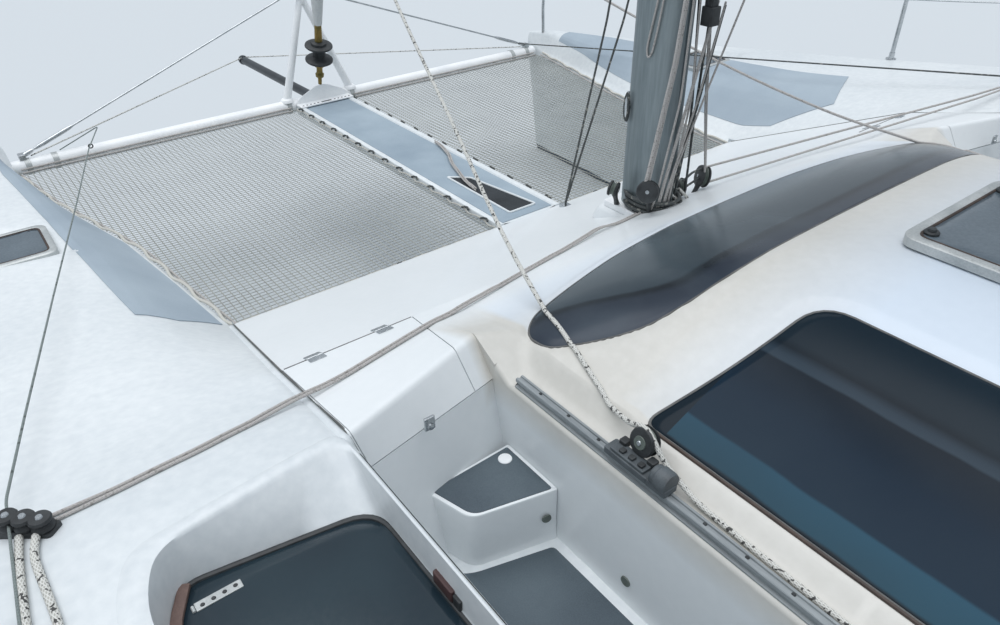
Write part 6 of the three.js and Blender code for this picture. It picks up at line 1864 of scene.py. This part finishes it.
def on_boat(plan, radius):
    """Heights at which a line rests on the deck: the hull outboard of the seam, the foredeck inboard."""
    plan = np.asarray(plan, float)
    off = np.abs(plan[:, 1])
    outboard = off > seam_y(plan[:, 0])
    z = np.where(outboard, on_hull(plan), deck_z(plan[:, 0], plan[:, 1], panes=False))
    return np.column_stack([plan, z + radius + 0.0005])


def laid(corners, radius, count=60, soft=0.03):
    """A line that rests on the deck along a polyline in plan."""
    plan = eased(np.array(corners, float), soft, max(2, count // (len(corners) - 1)))
    return on_boat(plan, radius)


def bridged(path, reach=5):
    """The same path made taut: it never dips under the straight line between its near neighbours."""
    path = path.copy()
    for step in (1, reach, 2 * reach):
        middle_z = 0.5 * (path[:-2 * step, 2] + path[2 * step:, 2])
        path[step:-step, 2] = np.maximum(path[step:-step, 2], middle_z)
    return path


SHEAVES = ((1.284, 2.162), (1.307, 2.187), (1.330, 2.212))

# control lines from the mast's foot over the locker lid to the sheaves at the side, two on each side
first_run = [(1.712, 0.098), (1.694, 0.190), (1.690, 0.326), (1.620, 0.577), (1.541, 0.887), (1.468, 1.201),
             (1.403, 1.475), (1.372, 1.640), (1.318, 1.861), (1.302, 2.023), (1.298, 2.150)]
second_run = [(x + 0.013, y + 0.008) for x, y in first_run[:-1]] + [(1.320, 2.172)]
cross_lines = [bridged(laid(run, 0.0042, 90)) for run in (first_run, second_run)]
rope("control_lines_port", cross_lines, 0.0042, line_grey)
star_runs = [[(1.722, -0.262, 1.216), (1.372, -1.640, 1.300), (1.338, -1.860, 1.306), (1.298, -2.150, 1.306)],
             [(1.700, -0.262, 1.160), (1.345, -1.640, 1.296), (1.318, -1.860, 1.306), (1.320, -2.172, 1.306)]]
rope("control_lines_starboard", [np.vstack([between(a, b, 14)[:-1] for a, b in zip(run[:-1], run[1:])] + [run[-1:]])
                                 for run in star_runs], 0.0046, line_grey)

# from the sheaves aft along the side deck
aft_runs = [[(1.290, 2.205), (1.230, 2.212), (1.075, 2.225), (0.3, 2.262), (-1.0, 2.300), (-1.78, 2.290)],
            [(1.270, 2.178), (1.214, 2.190), (1.042, 2.182), (0.3, 2.220), (-1.0, 2.262), (-1.78, 2.262)]]
for side, sign in (("port", 1), ("starboard", -1)):
    runs = [laid([(x, sign * y) for x, y in run], 0.0078, 120) for run in aft_runs]
    rope("halyards_aft_" + side, runs, 0.0078, sheet_white)

# the furling line along the port side
furling = np.array([(4.742, 1.600, 0.838), (4.735, 1.372, 0.925), (4.566, 1.474, 0.870), (3.527, 1.717, 1.000),
                    (2.476, 1.969, 1.135), (1.704, 2.139, 1.255), (1.389, 2.207, 1.302), (1.078, 2.232, 1.306),
                    (0.3, 2.290, 1.306), (-1.0, 2.332, 1.306), (-1.9, 2.330, 1.302)])
furling_path = eased(furling, 0.02, 16)
floor_z = np.where(furling_path[:, 1] > seam_y(furling_path[:, 0]), on_hull(furling_path[:, :2]), 0) + 0.0045
furling_path[:, 2] = np.where(furling_path[:, 0] < 3.2, np.maximum(furling_path[:, 2], floor_z), furling_path[:, 2])
rope("furling_line", [furling_path], 0.0030, line_green)
fairlead_rings = joined(*[outward(skin(carried(
    np.column_stack([np.full(24, x), y + 0.011 * np.cos(np.linspace(0, 2 * np.pi, 24, endpoint=False)),
                     z + 0.011 * np.sin(np.linspace(0, 2 * np.pi, 24, endpoint=False))]),
    disc(0.0035, 8)), ring=True, loop=True)) for x, y, z in ((4.600, 1.458, 0.868), (-0.4, 2.314, 1.314))])
piece("furling_fairleads", fairlead_rings, nylon, slot="dark")

# genoa sheets: from the clew above, down to the car's sheave, then aft beside the rail
# the lazy weight of the part above lets it sag until it touches the cabin's foot ahead of the car
for side, sign, radius, braid in (("port", 1, 0.0064, sheet_white), ("starboard", -1, 0.0052, line_grey)):
    sheet_down = np.array([(4.220, 0.032, 2.560), (3.500, 0.235, 2.105), (2.784, 0.449, 1.760), (2.091, 0.664, 1.500),
                           (1.615, 0.830, 1.355), (1.274, 0.945, 1.292), (1.072, 1.006, 1.262), (0.918, 1.052, 1.258),
                           (0.818, 1.083, 1.282), (0.766, 1.1015, 1.3165)]) * (1, sign, 1)
    sheet_down = flowing(sheet_down, 12)
    rest_z = deck_z(sheet_down[:, 0], sheet_down[:, 1]) + radius
    sheet_down[:, 2] = np.where(sheet_down[:, 0] < 1.45, np.maximum(sheet_down[:, 2], rest_z), sheet_down[:, 2])
    sheet_aft = np.array([(0.720, sign * 1.104, 1.300), (0.690, sign * 1.102, 1.264), (0.600, sign * 1.101, 1.226),
                          (0.447, sign * 1.103, 1.2215), (0.276, sign * 1.107, 1.2215), (-0.6, sign * 1.107, 1.2215),
                          (-1.46, sign * 1.107, 1.2215)])
    run = np.vstack([sheet_down, [(0.746, sign * 1.104, 1.3215)], eased(sheet_aft, 0.03, 14)])
    rope("genoa_sheet_" + side, [run], radius, braid)

# tack lines and guards: bowsprit guys, starboard lines over the foredeck
guys = [between((6.110, 0.0, 0.790), (4.742, s * 1.745, 0.842), 40) for s in (1, -1)]
rope("bowsprit_guys", guys, 0.0040, sheet_white)
far_line = between((4.742, -1.720, 0.872), (1.420, -2.010, 1.306), 40)
far_line = np.vstack([far_line, between(far_line[-1], (1.0, -2.10, 1.308), 8)[1:]])
rope("starboard_line", [far_line], 0.0040, line_dark)
spinnaker_lines = [np.array([(2.378, -0.126, 0.852), (2.378, -0.329, 1.650), (2.378, -0.372, 1.90)]),
                   np.array([(2.382, -0.131, 0.850), (2.380, -0.432, 1.635), (2.380, -0.505, 1.90)])]
rope("foredeck_uprights", [eased(line, 0.02, 20) for line in spinnaker_lines], 0.0048, line_dark)
eye_plate = joined(block(2.360, 2.400, -0.150, -0.108, 0.838, 0.853, 0.003),
                   tube([(2.380, -0.139, 0.848), (2.380, -0.129, 0.866), (2.380, -0.119, 0.848)], 0.0035, 10))
piece("foredeck_eye", eye_plate, stainless, slot="steel")

# a lashed bundle on the catwalk
bundle_middle = flowing([(3.545, -0.160, 0.806), (3.375, -0.122, 0.808), (3.203, -0.048, 0.809), (3.027, 0.012, 0.808),
                         (2.864, 0.046, 0.806)], 16)
strand = np.linspace(0, 1, len(bundle_middle))[:, None]
bundle = [bundle_middle + 0.0075 * np.concatenate([np.cos(7 * strand + a), np.sin(7 * strand + a),
                                                   0.5 * np.cos(7 * strand + a) + 0.4], 1)
          for a in (0.0, 2.1, 4.2)]
rope("catwalk_tack_lines", bundle, 0.0042, line_grey)

# %% [markdown]
# ## Side sheaves, winches, lid hinges
#
# Three upright sheaves share one foot on each side deck. The winches are self-tailing drums with a
# ribbed waist; the ribs are a wave in the radius of the turned body.

# %% Sheaves and winches
sheave_parts, sheave_pins = [], []
row_along = np.array([SHEAVES[-1][0] - SHEAVES[0][0], SHEAVES[-1][1] - SHEAVES[0][1], 0.0])
row_along /= np.linalg.norm(row_along)
for x, y in SHEAVES:
    rows = [(-0.004, 0.0), (-0.003, 0.0195), (0.003, 0.0215), (0.006, 0.0205), (0.012, 0.0150), (0.018, 0.0205),
            (0.021, 0.0215), (0.0255, 0.0190), (0.026, 0.0)]
    sheave_parts.append(turned(rows, (x, y, 1.2925), sides=32))
    sheave_pins.append(turned([(0, 0.0), (0.0003, 0.0075), (0.003, 0.006), (0.0032, 0.0)], (x, y, 1.3183), sides=12))
foot_plan = outline([(1.252, 2.158), (1.282, 2.130), (1.362, 2.216), (1.332, 2.243)], 0.010)
foot = over_outline(foot_plan, foot_plan.mean(0), 1.270, 1.2915, edge=0.003, rings=4, height=flat(0.0))
both_sides("side_sheaves", joined(*sheave_parts), nylon, slot="dark", stands_for=["deck_sheaves"], crease=40)
both_sides("side_sheave_foot", foot, nylon, slot="dark", crease=40)
both_sides("side_sheave_pins", joined(*sheave_pins), stainless, slot="steel", crease=40)

winch_rows = np.array([(0.0, 0.0), (0.001, 0.073), (0.020, 0.075), (0.028, 0.074), (0.034, 0.060), (0.046, 0.051)])
waist_t = np.linspace(0, 1, 30)
waist = np.stack([0.046 + 0.060 * waist_t, 0.050 + 0.0008 * np.sin(2 * np.pi * 9 * waist_t)], -1)
top_rows = np.array([(0.110, 0.052), (0.122, 0.062), (0.130, 0.066), (0.136, 0.055), (0.140, 0.054), (0.144, 0.064),
                     (0.150, 0.066), (0.156, 0.050), (0.164, 0.030), (0.165, 0.016), (0.150, 0.014), (0.149, 0.0)])
winch = turned(np.vstack([winch_rows, waist, top_rows]), (-1.900, 1.760, 1.2845), sides=48)
both_sides("winch_drum", winch, stainless, slot="steel", stands_for=["winch"], crease=35)

# %% [markdown]
# ## Hinges and latches of the lockers
#
# Butt hinges have one leaf on the deck and one on the lid, with a knuckle on the axis. The leaves are
# separate pieces, because each must ride on its own side of the joint.

# %% Locker hinges, latches, notches
hinge_parts, lid_leaves = [], []


def leaf(x0, x1, y):
    """A hinge leaf 48 mm wide that lies on the deck, with round corners."""
    plan = outline([(x0, y - 0.024), (x1, y - 0.024), (x1, y + 0.024), (x0, y + 0.024)], 0.004)
    return over_outline(plan, plan.mean(0), 0.0, 0.0030, edge=0.0012, rings=4)


for y in (1.265, 1.473):
    hinge_parts.append(tube([(1.6000, y - 0.024, 1.1790), (1.6000, y + 0.024, 1.1790)], 0.0035, 12))
    hinge_parts.append(leaf(1.6068, 1.629, y))
    lid_leaves.append(leaf(1.571, 1.5932, y))
both_sides("locker_hinges", joined(*hinge_parts), stainless, slot="steel")
piece("locker_hinge_leaves_port", joined(*lid_leaves), stainless, body="locker_port", slot="steel")
piece("locker_hinge_leaves_starboard", twin(joined(*lid_leaves)), stainless, body="locker_starboard", slot="steel")
hinge_gap = tube([(1.6005, 1.168, 1.1778), (1.6005, 1.300, 1.1778), (1.6005, 1.440, 1.1778), (1.6005, 1.562, 1.1778)],
                 0.0020, 6)
both_sides("locker_hinge_gap", hinge_gap, seal_grey, slot="dark")
lid_latch = joined(block(1.138, 1.146, 1.382, 1.410, 1.204, 1.240, 0.003),
                   turned([(0, 0.0), (0.0004, 0.009), (0.006, 0.008), (0.008, 0.0)], (1.139, 1.396, 1.215),
                          axis=(-1, 0, 0.1), sides=20))
for side, sign in (("port", 1), ("starboard", -1)):
    piece("locker_latch_" + side, lid_latch if sign > 0 else twin(lid_latch), stainless, body="locker_" + side,
          slot="steel")
notch = [block(2.470, 2.483, y - 0.012, y + 0.012, 0.7800, 0.8010, 0.002) for y in (0.72, -0.42)]
piece("foredeck_edge_cleats", joined(*notch), nylon, slot="dark")

# %% [markdown]
# ## Steering, rails and underwater gear
#
# These parts are out of the picture and follow the type. The wheel is a stainless rim with five spokes
# and a leather grip, the rails are stainless tube with wires between, the rudders and the saildrive legs
# have wing sections, and the propeller's blades twist from root to tip.

# %% Wheel and pedestal
WHEEL, WHEEL_R = np.array([-2.175, -0.600, 1.250]), 0.320
turn_a = np.linspace(0, 2 * np.pi, 160, endpoint=False)
rim_path = WHEEL + WHEEL_R * np.stack([0 * turn_a, np.sin(turn_a), np.cos(turn_a)], -1)
rim_out = np.stack([0 * turn_a, np.sin(turn_a), np.cos(turn_a)], -1)
rim_section = disc(1.0, 14)
stitch = 0.0132 + 0.0006 * np.cos(40 * turn_a)
rim_rings = (rim_path[:, None] + stitch[:, None, None] * (rim_section[None, :, :1] * rim_out[:, None]
                                                         + rim_section[None, :, 1:] * np.array([1.0, 0, 0])))
rim = outward(skin(rim_rings, ring=True, loop=True))
spokes = joined(*[tube(WHEEL + np.outer(np.linspace(0.030, WHEEL_R - 0.010, 14), (0, math.sin(a), math.cos(a))),
                       np.linspace(0.0085, 0.0065, 14), 14) for a in np.arange(5) * 2 * np.pi / 5])
hub = turned([(-0.019, 0.0), (-0.018, 0.022), (-0.012, 0.036), (0.006, 0.038), (0.012, 0.030), (0.024, 0.026),
              (0.0245, 0.0)], WHEEL, axis=(1, 0, 0), sides=36)
grip_leather, tree, shader = finish("wheel_grip_leather_grey", "4f5356", 0.75, IOR=1.5)
weather(tree, shader, "42464a", "606467", 30, 2, (0.62, 0.85), 0.3)
piece("wheel_rim", rim, grip_leather, body="helm", stands_for=["steering_wheel"], crease=50)
piece("wheel_spokes", joined(spokes, hub), stainless, body="helm", slot="steel", crease=40)
pedestal_plan = outline([(-2.150, -0.750), (-2.000, -0.750), (-2.000, -0.450), (-2.150, -0.450)], 0.045)
centre = pedestal_plan.mean(0)
pedestal_rows = [(1.0, 0.8325), (1.0, 0.86), (0.94, 0.90), (0.92, 1.20), (0.96, 1.27), (0.99, 1.30), (0.97, 1.322),
                 (0.88, 1.330)]
pedestal = closed(np.stack([np.column_stack([centre + (pedestal_plan - centre) * k, np.full(len(pedestal_plan), z)])
                            for k, z in pedestal_rows]))
piece("helm_console", pedestal, gelcoat, slot="gelcoat", stands_for=["helm_pedestal"], crease=50)
dial = turned([(0, 0.0), (0.0005, 0.040), (0.004, 0.041), (0.006, 0.036), (0.0045, 0.034), (0.0044, 0.0)],
              (-2.075, -0.600, 1.3302), sides=40)
piece("compass_dial", dial, nylon, slot="dark")
throttle = joined(turned([(0, 0.0), (0.0005, 0.024), (0.008, 0.022), (0.010, 0.0)], (-2.075, -0.505, 1.3300), sides=24),
                  tube([(-2.075, -0.505, 1.338), (-2.085, -0.505, 1.372), (-2.100, -0.505, 1.402)],
                       [0.006, 0.006, 0.010], 14))
piece("throttle_lever", throttle, stainless, slot="steel")

# %% [markdown]
# ## Rudders, drives and propellers
#
# Everything here is a wing section, so that water flows past it. One function gives the usual thickness
# curve for a chord, and a blade is a stack of such sections. Nothing of it shows in the photo.

# %% Rudders, drives and propellers
foil_a = np.linspace(0, 2 * np.pi, 40, endpoint=False)
foil_x = 0.5 * (1 + np.cos(foil_a))
foil_y = np.sign(np.sin(foil_a)) * 5 * 0.12 * (0.2969 * np.sqrt(foil_x) - 0.1260 * foil_x - 0.3516 * foil_x ** 2
                                               + 0.2843 * foil_x ** 3 - 0.1036 * foil_x ** 4)


def wing(levels):
    """Rings of a wing section: rows of height, leading edge x, chord and centre y."""
    return np.stack([np.column_stack([lead - foil_x * chord, y + foil_y * chord, np.full(40, z)])
                     for z, lead, chord, y in levels])


rudder_rows = [(z, -3.990 + 0.026 * t - 0.026, 0.360 * (1 - 0.28 * t), 1.960)
               for z, t in zip(np.linspace(-0.175, -0.880, 24), np.linspace(0, 1, 24))]
rudder_rows = rudder_rows + [(-0.893, -4.010, 0.232, 1.960), (-0.8985, -4.030, 0.170, 1.960)]
rudder_blade = closed(wing(rudder_rows))
stock = tube([(-4.080, 1.960, -0.19), (-4.080, 1.960, 0.280)], 0.0195, 28)
for side, sign in (("port", 1), ("starboard", -1)):
    shape = joined(rudder_blade, stock)
    piece("rudder_blade_" + side, shape if sign > 0 else twin(shape), antifouling, body="rudder_blade_" + side,
          slot="keel", stands_for=["rudder_" + side], crease=50)
leg_rows = [(z, -2.970 + 0.020 * t, 0.178 - 0.020 * t, 1.960)
            for z, t in zip(np.linspace(-0.300, -0.590, 16), np.linspace(0, 1, 16))]
leg = closed(wing(leg_rows))
torpedo = turned([(-0.120, 0.0), (-0.119, 0.038), (-0.060, 0.047), (0.020, 0.051), (0.070, 0.046), (0.100, 0.028),
                  (0.110, 0.0)], (-3.050, 1.960, -0.640), axis=(1, 0, 0), sides=36)
skeg = block(-3.110, -3.010, 1.952, 1.968, -0.660, -0.560, 0.005)
both_sides("sail_drive_leg", joined(leg, torpedo, skeg), antifouling, slot="keel", stands_for=["sail_drive"], crease=50)

HUB_X, SHAFT = -3.1703, (1.960, -0.640)
radius_rows = np.linspace(0.026, 0.189, 26)
half_chord = np.interp(radius_rows, [0.02, 0.06, 0.12, 0.16, 0.182, 0.19], [0.026, 0.048, 0.066, 0.060, 0.038, 0.012])
pitch_turn = np.interp(radius_rows, [0.02, 0.09, 0.15, 0.19], [0.9, 0.65, 0.5, 0.4])
thickness = np.interp(radius_rows, [0.02, 0.09, 0.19], [0.0075, 0.0048, 0.0018])
ring_u = oval(1.0, 1.0, 24)
u, v = half_chord[:, None] * ring_u[None, :, 0], thickness[:, None] * ring_u[None, :, 1]
c, s = np.cos(pitch_turn)[:, None], np.sin(pitch_turn)[:, None]
blade_rings = np.stack([u * s - v * c, u * c + v * s, np.repeat(radius_rows[:, None], 24, 1)], -1)
blades = []
for k in range(3):
    a = k * 2 * math.pi / 3
    rolled_blade = np.stack([blade_rings[..., 0], blade_rings[..., 1] * math.cos(a) - blade_rings[..., 2] * math.sin(a),
                             blade_rings[..., 1] * math.sin(a) + blade_rings[..., 2] * math.cos(a)], -1)
    blades.append(closed(rolled_blade + (HUB_X - 0.045, *SHAFT)))
boss = turned([(-0.094, 0.0), (-0.092, 0.010), (-0.080, 0.022), (-0.050, 0.033), (-0.010, 0.037), (-0.001, 0.036),
               (-0.0005, 0.0)], (HUB_X, *SHAFT), axis=(1, 0, 0), sides=36)
screw = joined(boss, *blades)
for side, sign in (("port", 1), ("starboard", -1)):
    piece("propeller_blades_" + side, screw if sign > 0 else twin(screw), bronze, body="screw_" + side, slot="bronze",
          stands_for=["propeller_" + side], crease=45)

# %% [markdown]
# ## Keels
#
# The short fins are the same wing section, made thinner, with a rounded tip of two last rows.

# %% Keels
keel_z = np.linspace(-0.440, -0.880, 22)
keel_t = (keel_z + 0.440) / (-0.440)
keel_rows = [(z, 1.036 - 0.30 * t, 1.856 - 0.42 * t, 1.955) for z, t in zip(keel_z, keel_t)]
keel_rows += [(-0.893, 0.70, 1.36, 1.955), (-0.899, 0.62, 1.16, 1.955)]
keel_rings = wing(keel_rows)
keel_rings[..., 1] = 1.955 + (keel_rings[..., 1] - 1.955) * 0.74
both_sides("keel_fin", closed(keel_rings), antifouling, slot="keel", stands_for=["keel"], crease=50)

# %% [markdown]
# ## Guard rails
#
# Steel posts carry two wires, which sag by 6 mm between them. A few posts and wires of the starboard
# hull show in the photo, and the rest of the row is typical of the type.

# %% Guard rails
# x, y and deck height of each post
POSTS = np.array([(3.900, 2.250, 0.968), (2.200, 2.516, 1.145), (1.200, 2.530, 1.268), (-0.300, 2.530, 1.276),
                  (-1.800, 2.520, 1.266), (-3.200, 2.470, 1.230)])
RAIL_H = 0.610
rail_parts = []
for x, y, z in POSTS:
    post = [(x, y, z - 0.012), (x, y, z + RAIL_H - 0.003), (x, y, z + RAIL_H)]
    rail_parts.append(tube(post, [0.0120, 0.0118, 0.008], 18))
    rail_parts.append(turned([(0.0, 0.0), (0.001, 0.030), (0.006, 0.029), (0.010, 0.016), (0.040, 0.015), (0.041, 0.0)],
                             (x, y, z - 0.012), sides=24))
for rail_height in (RAIL_H - 0.008, 0.320):
    for a, b in zip(POSTS[:-1], POSTS[1:]):
        run = between(a + (0, 0, rail_height), b + (0, 0, rail_height), 40)
        run[:, 2] -= 0.006 * np.sin(np.pi * np.linspace(0, 1, 40))
        rail_parts.append(tube(run, 0.0035, 8))
pulpit = flowing([(3.900, 2.250, 1.560), (4.320, 2.120, 1.560), (4.620, 1.960, 1.500), (4.672, 1.918, 1.200),
                  (4.672, 1.915, 0.935)], 20)
rail_parts.append(tube(pulpit, 0.012, 18))
both_sides("guard_rail", joined(*rail_parts), stainless, slot="steel", stands_for=["rails"], crease=50)

# %% [markdown]
# ## Cockpit and door
#
# The deck between the hulls is kept as it is in the frame, with a bevel on its edges that catches the
# light as a moulding's radius does. The door is a pane of acrylic in an aluminium frame.

# %% Cockpit, door, traveller
door = block(-1.494, -1.476, -0.292, 0.2955, 0.868, 1.447, 0.006)
piece("door_pane", door, smoked, body="door", slot="glass", stands_for=["cabin_door"], crease=50)
door_edges = outline([(-0.2955, 0.8645), (0.2990, 0.8645), (0.2990, 1.4505), (-0.2955, 1.4505)], 0.012)
door_inner = door_edges + (door_edges.mean(0) - door_edges) * np.array([0.09, 0.05])
frame_loops = np.stack([np.column_stack([np.full(len(edge), x), edge]) for edge, x in
                        ((door_edges, -1.4735), (door_edges, -1.4965), (door_inner, -1.4975),
                         (door_inner, -1.4725))], 1)
piece("door_frame", outward(skin(frame_loops, ring=True, loop=True)), lid_frame, body="door", slot="steel", crease=40)
handle = tube([(-1.4965, -0.235, 1.06), (-1.4975, -0.235, 1.065), (-1.4975, -0.235, 1.195),
               (-1.4965, -0.235, 1.20)], 0.004, 12)
piece("door_handle", handle, stainless, body="door", slot="steel")
traveller_box = block(-3.300, -3.180, -1.553, 1.553, 0.980, 1.104, 0.014)
piece("traveller_crossbar", traveller_box, gelcoat, slot="gelcoat", stands_for=["traveller_beam"], crease=50)
traveller_rail = block(-3.252, -3.228, -1.10, 1.10, 1.1035, 1.1130, 0.003)
piece("traveller_rail", traveller_rail, rail_metal, slot="dark")
bevel = frame["nodes"]["bridge_deck"].modifiers.new("moulded_edges", "BEVEL")
bevel.width, bevel.segments, bevel.limit_method, bevel.angle_limit = 0.012, 3, "ANGLE", math.radians(40)

# %% [markdown]
# ## Sizes
#
# The last step gives the size of the frame and of the dressed boat, so that one can be compared with
# the other.

# %% Sizes of the dressed boat
{"cad": CAD_BOX, "visual": [list(corner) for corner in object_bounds()]}
